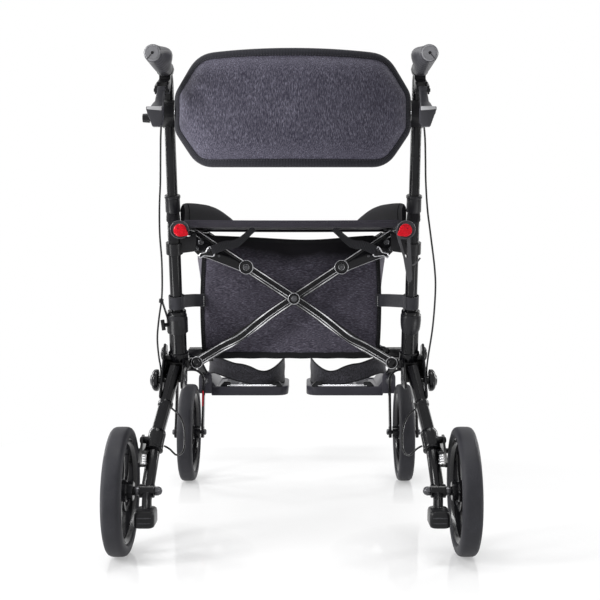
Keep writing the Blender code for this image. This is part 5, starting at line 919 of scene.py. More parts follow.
def draw_guard(bm):
    """Padded wing with a rounded top edge and a flat foot on the sling."""
    rings = []
    for i, (x, y, height, half) in enumerate(GUARD_STATIONS):
        floor = guard_floor(x, half)
        ring = [vec(x - half * 0.85, y, floor), vec(x + half * 0.85, y, floor)]
        for step, angle in enumerate(spread(10, 0.0, pi)):
            puff = 1.0 + 0.05 * sin(i * 1.9 + step)
            across = half * puff * cos(angle) * (1.0 if 0 < step < 10 else 0.97)
            ring.append(vec(x + across, y, floor + guard_arch(height, sin(angle))))
        rings.append(ring)
    add_rings(bm, rings)


def draw_guard_seams(bm):
    """A piped edge along the top and an upright seam near the rear end."""
    top = [vec(x, y, guard_floor(x, half) + height) for x, y, height, half in GUARD_STATIONS]
    add_tube(bm, smooth_route(top, 0.004), 0.001, 8)
    x, y, height, half = GUARD_STATIONS[2]
    floor = guard_floor(x, half)
    arch = [
        vec(x - half * 1.05 * cos(angle), y, floor + guard_arch(height, sin(angle)))
        for angle in spread(10, 0.0, pi)
    ]
    feet = [vec(x + sign * half * 0.97, y, floor + 0.002) for sign in (-1, 1)]
    add_tube(bm, feet[:1] + arch + feet[1:], 0.0009, 8)


def make_guards():
    for side in RAILS:
        for part, draw, material, nodes in (
            ("cloth", draw_guard, GUARD_CLOTH, [f"side_guard_{side}"]),
            ("seams", draw_guard_seams, EDGE_TAPE, []),
        ):
            name = f"side_guard_{side}_{part}"
            piece = add_piece(name, draw, material, None, nodes, 50.0, side == "left")
            bend_with_rails(piece)


def draw_upright_sleeve(bm):
    """Fabric loop of the side guard round the upright, above the seat rail."""
    low, high = upright_point(0.541), upright_point(0.571)
    length = (high - low).length
    profile = [(0.0, UPRIGHT_RADIUS)]
    for i, share in enumerate(spread(12)):
        puff = 0.0005 * sin(share * 9.0) * sin(share * 4.1) + (0.0006 if i in (1, 11) else 0.0)
        profile.append((length * share, UPRIGHT_RADIUS + 0.0008 + puff))
    add_turned(bm, low, RAKE_DIRECTION, profile + [(length, UPRIGHT_RADIUS)], 32)


# Bag


def bag_share(z):
    return (z - BAG_BOTTOM_Z) / (BAG_TOP_Z - BAG_BOTTOM_Z)


def bag_edge(z):
    """Half width of the bag at a height, rounded in at the bottom corners."""
    share = bag_share(z)
    return BAG_HALF_WIDTH + 0.004 * sin(pi * min(1.0, share * 1.1)) - 0.02 * max(0.0, 1 - share / 0.09) ** 2


def bag_wrinkle(x, z, side):
    """Folds of the loose cloth: slanting ones from the upper right, short ones at the lower corners."""
    share = bag_share(z)
    slant = sin(136 * z + 16 * x * side + 2.3 * side) * max(0.0, share - 0.45) * 0.003
    corner = max(0.0, abs(x) / BAG_HALF_WIDTH - 0.55) * max(0.0, 0.5 - share) * 0.006
    corner *= sin(150 * abs(x) + 260 * z)
    soft = sin(23 * x + 1.1) * sin(26 * z + 0.4) * 0.0014
    fade = max(0.0, min(1.0, (-0.105 - x) / 0.03))
    away = z - 0.377 + 1.08 * (x + 0.158)
    pulled = sum(exp(-(((away + step) / 0.0055) ** 2)) for step in (0.0, 0.021, 0.04)) * 0.0042 * fade
    return slant + corner + soft + pulled


def bag_ring(z, inset):
    """One closed ring of the bag's wall at a height: rear face, right side, front face, left side."""
    share = bag_share(z)
    w = bag_edge(z) - inset
    corner = 0.01
    belly = 0.0015 * sin(pi * min(1.0, max(0.0, share)))
    rim_drop = max(0.0, share - 0.86) / 0.14
    flare = BAG_FLARE * max(0.0, min(1.0, (share - 0.42) / 0.4)) - BAG_FLARE * 0.3 * rim_drop
    inset += 0.002
    points = []
    faces = ((1, BAG_REAR_Y + inset, 5.3 * share + 1), (-1, BAG_FRONT_Y - inset, 4.7 * share + 2))
    for way, y, wave in faces:
        for x in spread(BAG_COLUMNS, way * (corner - w), way * (w - corner)):
            fade = min(1.0, (w - abs(x)) / 0.02)
            hollow = 1 - (x / w) ** 2
            if way == 1:
                sag = rim_drop * (0.003 - 0.0072 * hollow**2 * (1 + 0.3 * sin(19 * x)))
            else:
                sag = -0.0085 * rim_drop * hollow
            points.append((x, y - way * (belly + bag_wrinkle(x, z, way)) * fade, z + sag))
        points.append((way * (w - corner * 0.3), y + way * corner * 0.3, z))
        depth = BAG_FRONT_Y - BAG_REAR_Y - 2 * (inset + corner)
        for part in spread(16):
            round_out = sin(pi * part)
            x = w + (flare + 0.0022 * sin(wave)) * round_out
            points.append((way * x, y + way * (corner + depth * part), z - 0.01 * rim_drop * round_out))
        points.append((way * (w - corner * 0.3), y + way * (depth + 1.7 * corner), z))
    return [vec(*point) + BAG_SHIFT for point in points]


def draw_bag(bm):
    """Outer wall, rounded bottom, and the inside skin."""
    wall = 0.0018
    rings = [bag_ring(z, 0.0) for z in spread(44, BAG_TOP_Z, BAG_BOTTOM_Z + 0.006)]
    bottom = []
    for drop, inset in ((0.0025, 0.0015), (0.0005, 0.006), (0.0, 0.014), (-0.001, 0.035), (-0.001, 0.07)):
        ring = bag_ring(BAG_BOTTOM_Z + 0.006, inset)
        level = BAG_BOTTOM_Z + drop
        bottom.append([vec(p.x, p.y, level + 0.0012 * (abs(p.x) / BAG_HALF_WIDTH) ** 4) for p in ring])
    rings += bottom + [[p + UP * wall for p in ring] for ring in bottom[:0:-1]]
    rings += [bag_ring(z, wall) for z in spread(30, BAG_BOTTOM_Z + 0.008, BAG_TOP_Z)]
    add_rings(bm, rings, closed_along=True)


def draw_bag_trim(bm):
    """Tapes: the rim, the upright edges of the rear and front panels, and their bottom edges."""
    rim = bag_ring(BAG_TOP_Z, 0.0009)
    half = [(0.0021, -0.006), (0.0023, 0.0), (0.0012, 0.0016)]
    section = half + [(-a, b) for a, b in reversed(half)]
    rings = []
    for before, point, after in zip(rim[-1:] + rim, rim, rim[1:] + rim[:1]):
        along = (after - before).normalized()
        out = vec(along.y, -along.x, 0.0).normalized()
        rings.append([point + out * a + UP * b for a, b in section])
    add_rings(bm, rings, closed_along=True)
    for y, turn in ((BAG_REAR_Y, -1), (BAG_FRONT_Y, 1)):
        for sign in (-1, 1):
            path = []
            for z in spread(26, BAG_BOTTOM_Z + 0.01, BAG_TOP_Z - 0.006):
                path.append(vec(sign * (bag_edge(z) - 0.003), y - turn * 0.0022, z) + BAG_SHIFT)
            add_sweep(bm, path, rectangle(0.0034, 0.0011), OUT)
        path = []
        for i, share in enumerate(spread(32, -1.0, 1.0)):
            z = BAG_BOTTOM_Z + 0.0062 + 0.0004 * sin(i * 1.3) + 0.05 * max(0.0, abs(share) - 0.93)
            path.append(vec(share * (BAG_HALF_WIDTH - 0.008), y - turn * 0.001, z) + BAG_SHIFT)
        add_sweep(bm, path, [(-0.0056, -0.0012), (0.0056, -0.0012), (0.0052, 0.0012), (-0.0052, 0.0012)], UP)


def draw_bag_stitches(bm):
    for sign in (-1, 1):
        zs = spread(30, BAG_BOTTOM_Z + 0.012, BAG_TOP_Z - 0.008)
        line = [vec(sign * (bag_edge(z) - 0.0046), BAG_REAR_Y + 0.0011, z) + BAG_SHIFT for z in zs]
        add_stitches(bm, line, -FORE)


def draw_hook_strap(bm, edge):
    """Hook-and-loop strap: a loop round the upright and a flat tail sewn to the bag's edge."""
    half = STRAP_HEIGHT / 2 - 0.0006
    thick = 0.0009
    section = [(-thick, -1.0), (0.0, -1.02), (thick, -1.0), (thick, 1.0), (0.0, 1.02), (-thick, 1.0)]
    middle = upright_point(STRAP_Z)
    radius = UPRIGHT_RADIUS + 0.0018
    fore = vec(0, RAKE_DIRECTION.z, -RAKE_DIRECTION.y)
    loop = []
    for share in spread(32):
        angle = 2 * pi * share - radians(135)
        out = OUT * cos(angle) + fore * sin(angle)
        spot = middle + out * (radius + 0.0012 * share)
        loop.append([spot + RAKE_DIRECTION * b * half + out * a for a, b in section])
    add_rings(bm, loop)
    start = middle + (OUT * -0.72 - fore * 0.7) * (radius + 0.0006)
    route = [vec(start.x, start.y, STRAP_Z + 0.001)]
    for ahead, back, rise in ((0.016, 0.0165, 0.0004), (0.003, 0.0042, 0), (-0.006, 0.002, 0)):
        route.append(vec(edge + ahead, BAG_REAR_Y - back, STRAP_Z + rise))
    route = smooth_route(route, 0.004)
    add_rings(bm, [[point + vec(0, -a, b * half) for a, b in section] for point in route])


def draw_hook_strap_stitches(bm, edge):
    half = STRAP_HEIGHT / 2 - 0.001
    line = [vec(edge - 0.0025, BAG_REAR_Y - 0.004, z) for z in spread(12, STRAP_Z - half, STRAP_Z + half)]
    add_stitches(bm, line, -FORE, 0.003, 0.0008, 0.0009, 0.0006)


def make_bag():
    for name, draw, material, nodes in (
        ("bag_body", draw_bag, BAG_CLOTH, ["bag"]), ("bag_trim", draw_bag_trim, EDGE_TAPE, []),
        ("bag_stitches", draw_bag_stitches, THREAD, []),
    ):
        fold_with_width(add_piece(name, draw, material, "left_frame", nodes, 60.0))
    for side, sign in (("right", 1), ("left", -1)):
        edge = BAG_HALF_WIDTH + sign * BAG_SHIFT.x
        for name, draw, material in (
            ("bag_strap", draw_hook_strap, HOOK_STRAP),
            ("bag_strap_stitches", draw_hook_strap_stitches, PALE_STITCH_AND_HIGHLIGHT),
        ):
            add_piece(
                f"{name}_{side}", lambda bm: draw(bm, edge), material, FRAMES[side],
                mirrored=side == "left",
            )


# Webbing and wire rings between the seat and the cross frame

WEBBING_STATIONS = [
    (0.1434, -0.219, 0.4915, (0.39, 0.92), 0.0078), (0.136, -0.22, 0.4946, (0.39, 0.92), 0.0079),
    (0.127, -0.2202, 0.4984, (0.36, 0.93), 0.0078), (0.1185, -0.2196, 0.5008, (0.22, 0.98), 0.0077),
    (0.1095, -0.2186, 0.501, (0.1, 1.0), 0.0074), (0.101, -0.2176, 0.5034, (0.42, 0.91), 0.0068),
    (0.093, -0.2164, 0.509, (0.62, 0.78), 0.006), (0.085, -0.215, 0.5162, (0.68, 0.73), 0.0054),
    (0.0775, -0.2135, 0.5232, (0.69, 0.72), 0.0052), (0.07, -0.2122, 0.53, (0.69, 0.72), 0.0052),
]
RING_CORNERS = [
    (0.1482, 0.4999), (0.1552, 0.488), (0.164, 0.4862), (0.1668, 0.4815), (0.1649, 0.4776), (0.1578, 0.4822),
    (0.1412, 0.4808), (0.1392, 0.4845),
]


def draw_ring_webbing(bm):
    """Ribbed strap that hangs from the sling's underside and is looped through the wire ring."""
    section = [(-1.0, -0.0008), (1.0, -0.0008), (1.02, 0.0), (1.0, 0.0008), (-1.0, 0.0008), (-1.02, 0.0)]
    rings = []
    for x, y, z, (a, b), half in WEBBING_STATIONS:
        rings.append([vec(x + a * half * u, y + v, z + b * half * u) for u, v in section])
    add_rings(bm, rings)
    low, across, lift = vec(*WEBBING_STATIONS[0][:3]), vec(0.39, 0, 0.92) * 0.0078, FORE * 0.0009
    fold = []
    for lean in spread(6, 0.0, pi):
        fold.append(low + vec(0.92, 0, -0.39) * 0.0016 * sin(lean) + FORE * 0.0016 * (1 - cos(lean)))
    fold.append(fold[-1] + vec(-0.023, 0.0003, 0.0098))
    add_rings(bm, [[p - across, p + across, p + across + lift, p - across + lift] for p in fold])


def draw_wire_ring(bm):
    """Triangle of wire with a pinched eye, held in the strap's loop."""
    path = [vec(x, WEBBING_STATIONS[0][1] + 0.0012, z) for x, z in rounded_outline(RING_CORNERS, 0.0024, 4)]
    add_tube(bm, path, 0.0011, 10, True)


# Cross frame


def cross_point(side, arm, y):
    """A point on the bar that leans to one side; arm is measured up from the crossing."""
    rise = vec(side * cos(CROSS_ANGLE), 0.0, sin(CROSS_ANGLE))
    return vec(0.0, y, CROSS_CENTRE_Z) + rise * arm


def bar_section(width, thickness, grooved):
    """Rounded flat bar from its upper edge down; the rear face of a grooved one carries two channels."""
    w, t, edge = width / 2, thickness / 2, 0.0014
    rear = [(-w + edge, -t)]
    if grooved:
        for share, depth in (
            (-0.6, 0), (-0.53, 0.0009), (-0.47, 0.0015), (-0.18, 0.0015), (-0.12, 0.0009), (-0.06, 0),
            (0.2, 0), (0.26, 0.0009), (0.32, 0.0015), (0.6, 0.0015), (0.66, 0.0009), (0.72, 0),
        ):
            rear.append((share * w, -t + depth))
    side = [(w - edge, t), (w - edge * 0.3, t - edge * 0.3), (w, t - edge)]
    lower = [(a, -b) for a, b in side] + side[::-1]
    return rear + lower + [(-a, b) for a, b in reversed(lower[1:])]


def draw_cross_half(bm, side):
    shift = side * BAR_SPACING / 2
    across = vec(side * sin(CROSS_ANGLE), 0, -cos(CROSS_ANGLE))
    bend = ((-0.66, 0.0028), (-0.6, 0.003), (-0.54, 0.0027), (-0.2, 0.0003), (-0.12, 0.0))
    for cross_y in (REAR_CROSS_Y, FRONT_CROSS_Y):
        y = cross_y + shift
        path = [cross_point(side, share * LOWER_ARM, y) + across * away for share, away in ((-1, 0.0), *bend)]
        path.append(cross_point(side, UPPER_ARM - 0.007, y))
        section = bar_section(BAR_WIDTH, BAR_THICKNESS, cross_y == REAR_CROSS_Y)
        add_sweep(bm, path, [(a, b * side) for a, b in section], across)


GUSSET_CORNERS = [
    (0.088, -0.073), (0.109, -0.0641), (0.1531, -0.0473), (0.1654, -0.0456), (0.1795, -0.0315),
    (0.188, -0.025), (0.1885, -0.0125), (0.172, -0.0125), (0.1566, -0.0156), (0.1214, -0.0385),
    (0.09, -0.059),
]
GUSSET_BOLTS = [
    (0.1636, -0.019, 0.005), (0.1724, -0.0306, 0.005), (0.1806, -0.0196, 0.003), (0.15, -0.033, 0.0032),
    (0.16, -0.037, 0.0024), (0.132, -0.044, 0.0024),
]


def joint_face(side):
    """Rear face of the bar that leans to one side."""
    return REAR_CROSS_Y + side * BAR_SPACING / 2 - BAR_THICKNESS / 2


def draw_joints(bm, side):
    """Round ends of the bars, the middle disc and the gusset plate that runs from it to the rail."""
    for cross_y in (REAR_CROSS_Y, FRONT_CROSS_Y):
        for arm in (-LOWER_ARM, 0.0):
            middle = cross_point(side, arm, cross_y + side * BAR_SPACING / 2)
            reach = FORE * (BAR_THICKNESS / 2 + (0.0006 if arm else -0.0002))
            add_rod(bm, middle + reach, middle - reach, 0.0106, 40, 0.001)
    low = joint_face(side) - 0.0008
    outline = rounded_outline([(side * x, RAIL_Z + z) for x, z in GUSSET_CORNERS], 0.004, 4)
    add_slab(bm, outline, "XZ", low, low + 0.0036, 0.0008)
    profile = [
        (0.0, 0.0124), (0.0014, 0.0124), (0.0021, 0.0117), (0.0022, 0.0104), (0.0012, 0.0097),
        (0.0012, 0.003),
    ]
    add_turned(bm, cross_point(side, MIDDLE_DISC_ARM, low + 0.0006), -FORE, profile, 44)


def draw_edge_lights(bm, side):
    """Bright rims of the discs and of the gusset's lower edge, drawn in steel as painted highlights."""
    low = joint_face(side) - 0.0008
    discs = [(MIDDLE_DISC_ARM, 0.012, 0.0011), (-LOWER_ARM, 0.0098, 0.0001), (0.0, 0.0098, 0.0001)]
    for arm, radius, proud in discs if side == -1 else discs[:2]:
        middle = cross_point(side, arm, low - proud)
        for reach, thick in ((radius, 0.0005), (0.0052, 0.0003)):
            add_tube(bm, [middle + vec(x, 0, z) for x, z in circle(reach, 48)], thick, 8, True)
    edge = [vec(side * x, low + 0.0003, RAIL_Z + z) for x, z in GUSSET_CORNERS[:4]]
    add_tube(bm, smooth_route(edge, 0.003), 0.0005, 8)


def draw_cross_bolts(bm, side):
    """Bolts of the gusset and of the middle disc."""
    low = joint_face(side) - 0.0006
    for x, z, radius in GUSSET_BOLTS:
        head = [(0, 1), (0.0012, 1), (0.0018, 0.8), (0.0016, 0.5), (0.0008, 0.45)]
        head = [(rise, radius * share) for rise, share in head]
        add_turned(bm, vec(side * x, low, RAIL_Z + z), -FORE, head, 20)
    profile = [(0.0, 0.0046), (0.0022, 0.0044), (0.003, 0.0036), (0.0031, 0.002), (0.0024, 0.0017)]
    add_turned(bm, cross_point(side, MIDDLE_DISC_ARM, low - 0.0008), -FORE, profile, 6)


def draw_rail(bm, side):
    """The seat rail, a rod with softened ends."""
    ends = [vec(side * RAIL_X, y, RAIL_Z) for y in (RAIL_REAR_Y, RAIL_FRONT_Y)]
    add_rod(bm, *ends, RAIL_RADIUS, 36, 0.0008)


def draw_pin_ring(bm):
    """Dark ring round the pin at the crossing."""
    profile = [(-0.0002, 0.0088), (0.0016, 0.0086), (0.0022, 0.0078), (0.0018, 0.0062), (0.0006, 0.0058)]
    add_turned(bm, cross_point(0, 0, joint_face(-1)), -FORE, profile, 36)


def draw_pin_head(bm):
    """Six-sided head of the pin, and the line round it."""
    head = vec(0, PIN_HEAD_Y, CROSS_CENTRE_Z)
    profile = [(-0.0004, 0.0034), (0.001, 0.0034), (0.0014, 0.0028), (0.0008, 0.0014)]
    add_turned(bm, head, -FORE, profile, 6)
    add_tube(bm, [head + vec(x, 0.0001, z) for x, z in circle(0.0056, 36)], 0.0004, 8, True)


def make_cross_frame():
    for side, node, body in ((1, "cross_bar_a", "x_frame_a"), (-1, "cross_bar_b", "x_frame_b")):
        for part, draw, material, slot, nodes, sharp in (
            ("bars", draw_cross_half, BAR_METAL, "bar_metal", [node], 30.0),
            ("joints", draw_joints, GLOSS_BLACK, "bar_metal", [], 30.0),
            # The steel rims and edge line are painted highlights.
            ("edge_highlights", draw_edge_lights, STEEL, "bar_metal", [], 30.0),
            ("rail", draw_rail, FRAME_PAINT, "bar_metal", [], 38.0),
            ("bolts", draw_cross_bolts, DARK_METAL, "steel", [], 30.0),
        ):
            add_piece(f"{node}_{part}", lambda bm: draw(bm, side), material, body, nodes, sharp)
    add_piece("cross_pin_ring", draw_pin_ring, GLOSS_BLACK, "x_frame_b")
    add_piece("cross_pin_hex", draw_pin_head, DARK_METAL, "x_frame_b", [], 30.0)


# Reflectors


def egg_outline(radius):
    """Outline of the reflector's holder, drawn out to the lower left."""
    points = []
    for turn in turns_of(48):
        reach = radius * (1.0 + 0.1 * max(0.0, cos(turn - radians(215))) ** 2)
        points.append((RAIL_X + 0.0055 + reach * cos(turn), RAIL_Z + reach * sin(turn)))
    return points


def draw_holder(bm):
    """Egg-shaped holder with a raised lip round the lens, on a neck that plugs into the rail."""
    face = RAIL_REAR_Y - 0.0145
    stops = [(0.0, 0.0062), (0.0, 0.001), (0.0006, 0.0002), (0.0014, 0.0), (0.0022, 0.0004), (0.0026, 0.0016)]
    rings = []
    for inset, depth in stops:
        rings.append([vec(x, face + depth, z) for x, z in inset_outline(egg_outline(0.015), inset)])
    add_rings(bm, rings)
    add_rod(bm, (RAIL_X, face + 0.003, RAIL_Z), (RAIL_X, RAIL_REAR_Y - 0.0003, RAIL_Z), RAIL_RADIUS - 0.001)


def lens_outline():
    """Teardrop round LENS_MIDDLE: most of a circle, closed by two straight sides to a tip."""
    turns = spread(24, radians(-80), radians(175))
    arc = [LENS_MIDDLE + vec(cos(turn), sin(turn)) * 0.0098 for turn in turns]
    tip = LENS_MIDDLE - vec(0.0128, 0.008)
    bow = vec(-0.0006, 0.0006)
    points = [arc[-1].lerp(tip, share) + bow * sin(pi * share) for share in (0.35, 0.7, 0.9)]
    points += [tip.lerp(arc[0], share) - bow * sin(pi * share) for share in (0.1, 0.3, 0.65)]
    return arc + points


def draw_lens(bm):
    """Domed teardrop lens."""
    centre, pivot = vec(RAIL_X + 0.002, RAIL_Z - 0.003), vec(RAIL_X + 0.005, RAIL_Z)
    stops = [(1.0, 0.014), (1.0, 0.0152), (0.94, 0.016), (0.8, 0.0165), (0.5, 0.0168), (0.15, 0.0169)]
    rings = []
    for scale, depth in stops:
        flat = [centre + (point - pivot) * scale * LENS_GROWTH for point in lens_outline()]
        rings.append([vec(point.x, RAIL_REAR_Y - depth, point.y) for point in flat])
    add_rings(bm, rings)


def draw_lens_dot(bm):
    start = vec(LENS_MIDDLE.x, RAIL_REAR_Y - 0.0162, LENS_MIDDLE.y)
    add_turned(bm, start, -FORE, [(0.0, 0.001), (0.0006, 0.0009), (0.0008, 0.0005)], 20)


def make_reflectors():
    add_pair("rail_end_holder", draw_holder, GREY_PLASTIC, RAILS, "grey_plastic", ["rail_end"])
    add_pair("reflector_glass", draw_lens, REFLECTOR, RAILS, "reflector", ["reflector"])
    add_pair("reflector_dot", draw_lens_dot, GLOSS_BLACK, RAILS, "dark_plastic")


# Handles


def handle_path():
    half_turn = RAKE_DIRECTION.angle(-FORE) / 2
    start = upright_point(GRIP_AXIS_Z) - RAKE_DIRECTION * GRIP_BEND_RADIUS * tan(half_turn)
    normal = (RAKE_DIRECTION * FORE.dot(RAKE_DIRECTION) - FORE).normalized()
    path = [upright_point(z) for z in (0.43, 0.6, 0.68)]
    for turn in spread(14, 0.0, 2 * half_turn):
        path.append(start + (RAKE_DIRECTION * sin(turn) + normal * (1 - cos(turn))) * GRIP_BEND_RADIUS)
    return path + [vec(UPRIGHT_X, GRIP_END_Y + 0.012, GRIP_AXIS_Z)]


def draw_collar(bm):
    """Ring with a rolled lip at the top of the upright."""
    profile = [
        (0.0, 0.011), (0.0004, 0.0121), (0.0014, 0.0125), (0.024, 0.0125), (0.0246, 0.0133), (0.0262, 0.0136),
        (0.0285, 0.0134), (0.0295, 0.0124), (0.0297, 0.0096),
    ]
    add_turned(bm, upright_point(0.5562), RAKE_DIRECTION, profile, 40)


def draw_grip(bm):
    """Moulded grip: rounded end, palm wing swelling inwards and upwards, finger ribs underneath."""
    rings = []
    for share in spread(44):
        wing = GRIP_WING * sin(pi * min(1.0, share * 1.15)) ** 1.4 if share < 0.87 else 0.0
        rim = min(share, 1 - share) * GRIP_LENGTH
        rounding = 1.0 if rim > 0.004 else 0.82 + 0.18 * sqrt(1 - (1 - rim / 0.004) ** 2)
        middle = vec(UPRIGHT_X, GRIP_END_Y + GRIP_LENGTH * share, GRIP_AXIS_Z)
        ring = []
        for turn in turns_of(44):
            away = remainder(turn - GRIP_WING_ANGLE, 2 * pi)
            ribs = 0.0005 * (sin(share * 60) if 0.1 < share < 0.82 else 0.0) - 0.0005
            radius = GRIP_RADIUS * rounding + wing * exp(-((away / 0.62) ** 2))
            radius += ribs * max(0.0, -sin(turn)) ** 2
            ring.append(middle + vec(radius * cos(turn), 0, radius * sin(turn)))
        rings.append(ring)
    add_rings(bm, rings)


def draw_grip_disc(bm):
    """Pale end disc of the grip."""
    profile = [
        (0.0, 0.012), (0.0024, 0.0118), (0.0031, 0.011), (0.0033, 0.01), (0.0029, 0.0096),
        (0.0034, 0.009),
    ]
    add_turned(bm, (UPRIGHT_X, GRIP_END_Y + 0.002, GRIP_AXIS_Z), -FORE, profile, 40)


def draw_grip_slot_shade(bm):
    """Black marks for the hole in the middle of the end disc and the slit that runs from it to the rim:
    painted shade of the recesses.
    """
    start = vec(UPRIGHT_X, GRIP_END_Y - 0.001, GRIP_AXIS_Z)
    add_turned(bm, start, -FORE, [(0.0, 0.0024), (0.0007, 0.0024), (0.0009, 0.0018)], 6)
    slit = [start + vec(0.006 * t, -0.0006 + 0.0002 * t, -0.0072 * t) for t in (0.2, 0.6, 1.1, 1.45)]
    add_tube(bm, slit, 0.0005, 8)


def draw_lever(bm):
    """Flared lever with soft edges from its pin to the deep end plate."""
    pivot = vec(UPRIGHT_X, -0.423, 0.741)
    root, width = 0.013, 0.025
    near = [(0.004, 0.002, 0.01), (-0.004, -0.004, 0.012), (-0.014, -0.012, root)]
    far = [
        (0.044, 0.0135, 0.014), (0.032, 0.0085, 0.017), (0.02, 0.0026, 0.0195), (0.01, -0.003, 0.0224),
        (0.001, -0.0055, 0.0238), (-0.004, -0.0065, 0.0236),
    ]
    lift = vec(0.0, -0.5736, 0.8192)
    rings = []
    for origin, stops in ((pivot, near), (LEVER_END, far)):
        for y, z, wide in stops:
            outline = rounded_outline(rectangle(wide / 2, 0.004), 0.0024, 4)
            rings.append([origin + vec(a, y, z) + lift * b for a, b in outline])
    add_rings(bm, rings)
    add_rod(bm, pivot - OUT * root / 2, pivot + OUT * root / 2, 0.0062)
    outline = [(-1, -0.001), (-1, -0.02146), (-0.7, -0.029), (0.25, -0.029), (1, -0.00348), (1, 0.0)]
    outline += [(0.92, 0.0012), (-0.92, 0.0012)]
    outline = [(LEVER_END.x + a * width / 2, LEVER_END.z + b) for a, b in outline]
    add_slab(bm, rounded_outline(outline, 0.0018, 4), "XZ", LEVER_END.y - 0.01, LEVER_END.y + 0.002, 0.0014)


def draw_lever_top_highlight(bm):
    """Pale strip along the top edge of the lever's end plate: a painted highlight."""
    outline = [(-0.0112, -0.0052), (0.0112, -0.0034), (0.0112, 0.001), (-0.0112, 0.001)]
    outline = [(LEVER_END.x + a, LEVER_END.z + b) for a, b in outline]
    add_slab(bm, rounded_outline(outline, 0.001, 3), "XZ", LEVER_END.y - 0.0108, LEVER_END.y - 0.0085)


def make_handles():
    add_pair(
        "handle_tube_shape", lambda bm: add_tube(bm, handle_path(), HANDLE_RADIUS, 36), FRAME_PAINT, "handle",
        "frame_paint", ["handle_tube"],
    )
    add_pair("height_collar_shape", draw_collar, COLLAR_PLASTIC, FRAMES, "dark_plastic", ["height_collar"])
    add_pair("grip_shape", draw_grip, GRIP_RUBBER, "handle", "grip_rubber", ["grip"])
    add_pair("grip_end_disc", draw_grip_disc, CAP_PLASTIC, "handle", "grey_plastic")
    # The black marks on the grip ends are painted shade.
    add_pair("grip_end_slot_shade", draw_grip_slot_shade, GLOSS_BLACK, "handle", "dark_plastic")
    add_pair("brake_lever_shape", draw_lever, GREY_PLASTIC, "lever", "grey_plastic", ["brake_lever"])
    add_pair("brake_lever_top_highlight", draw_lever_top_highlight, PALE_STITCH_AND_HIGHLIGHT, "lever", "grey_plastic")


# Footplates


def foot_outline(inset, margin):
    """The footplate's outline in plan; the margin keeps the deck clear of its rim on three sides."""
    outer, front = FOOT_OUTER_X - 2 * inset, FOOT_FRONT_Y - inset
    inner, rear = FOOT_INNER_X + margin, FOOT_REAR_Y + margin
    corner = (0.022 - margin * 0.4) * 1.6
    corners = [(outer, rear), (outer, front), (inner, front), (inner, rear)]
    return rounded_outline(corners, [0.003, 0.003, corner, corner], 8)


def draw_footplate(bm):
    """Moulded plate: softened rim, sunk deck with anti-slip ridges, hinge knuckle and its web."""
    edge, deck = foot_outline(0.0, 0.0), foot_outline(0.006, 0.027)
    floor = FOOT_TOP_Z - FOOT_RECESS
    stops = [
        (edge, 0.003, FOOT_BOTTOM_Z), (edge, 0.0008, FOOT_BOTTOM_Z + 0.0008),
        (edge, 0.0, FOOT_BOTTOM_Z + 0.003), (edge, 0.0, FOOT_TOP_Z - 0.003),
        (edge, 0.0005, FOOT_TOP_Z - 0.001), (edge, 0.0022, FOOT_TOP_Z), (deck, -0.0008, FOOT_TOP_Z),
        (deck, 0.0002, FOOT_TOP_Z - 0.0006), (deck, 0.0006, floor),
    ]
    add_rings(bm, [[vec(x, y, z) for x, y in inset_outline(outline, inset)] for outline, inset, z in stops])
    section = [(-0.0022, 0.0), (0.0022, 0.0), (0.0015, 0.0014), (-0.0015, 0.0014)]
    lows = spread(3, FOOT_INNER_X + 0.04, FOOT_OUTER_X - 0.02)
    for row in range(9):
        y = FOOT_REAR_Y + 0.042 + row * 0.0155
        for low, high in zip(lows, lows[1:]):
            rings = []
            for x, scale in ((low, 0.3), (low + 0.001, 1.0), (high - 0.007, 1.0), (high - 0.006, 0.3)):
                rings.append([vec(x, y + a * scale, floor - 0.0002 + b * scale) for a, b in section])
            add_rings(bm, rings)
    ends = [vec(FOOT_HINGE_X, y, FOOT_HINGE_Z) for y in (FOOT_REAR_Y - 0.0025, FOOT_FRONT_Y - 0.01)]
    add_rod(bm, *ends, 0.0095, 36, 0.001)
    web = [
        (FOOT_OUTER_X - 0.012, FOOT_BOTTOM_Z + 0.004), (FOOT_OUTER_X, FOOT_BOTTOM_Z + 0.006),
        (FOOT_HINGE_X + 0.007, FOOT_HINGE_Z - 0.006), (FOOT_HINGE_X - 0.006, FOOT_HINGE_Z + 0.0068),
        (FOOT_OUTER_X - 0.012, FOOT_TOP_Z - 0.001),
    ]
    add_slab(bm, rounded_outline(web, 0.0015, 3), "XZ", FOOT_REAR_Y + 0.001, FOOT_FRONT_Y - 0.012, 0.0008)


def draw_foot_clips(bm):
    """Two clips on the plate's rear edge that hold the steel rod."""
    for x, left, right in ((0.044, -0.002, 0.0125), (0.1655, -0.0125, 0.002)):
        outline = [(x - 0.0135, -0.001), (x + 0.0135, -0.001), (x + right, 0.0115), (x + left, 0.0115)]
        outline = rounded_outline([(a, FOOT_TOP_Z + b) for a, b in outline], 0.0026, 4)
        add_slab(bm, outline, "XZ", FOOT_REAR_Y + 0.0008, FOOT_REAR_Y + 0.0085, 0.0014)


def draw_foot_rod(bm):
    add_rod(bm, *[(x, FOOT_REAR_Y + 0.003, FOOT_TOP_Z + 0.0018) for x in (0.048, 0.16)], 0.0024, 20, 0.0005)


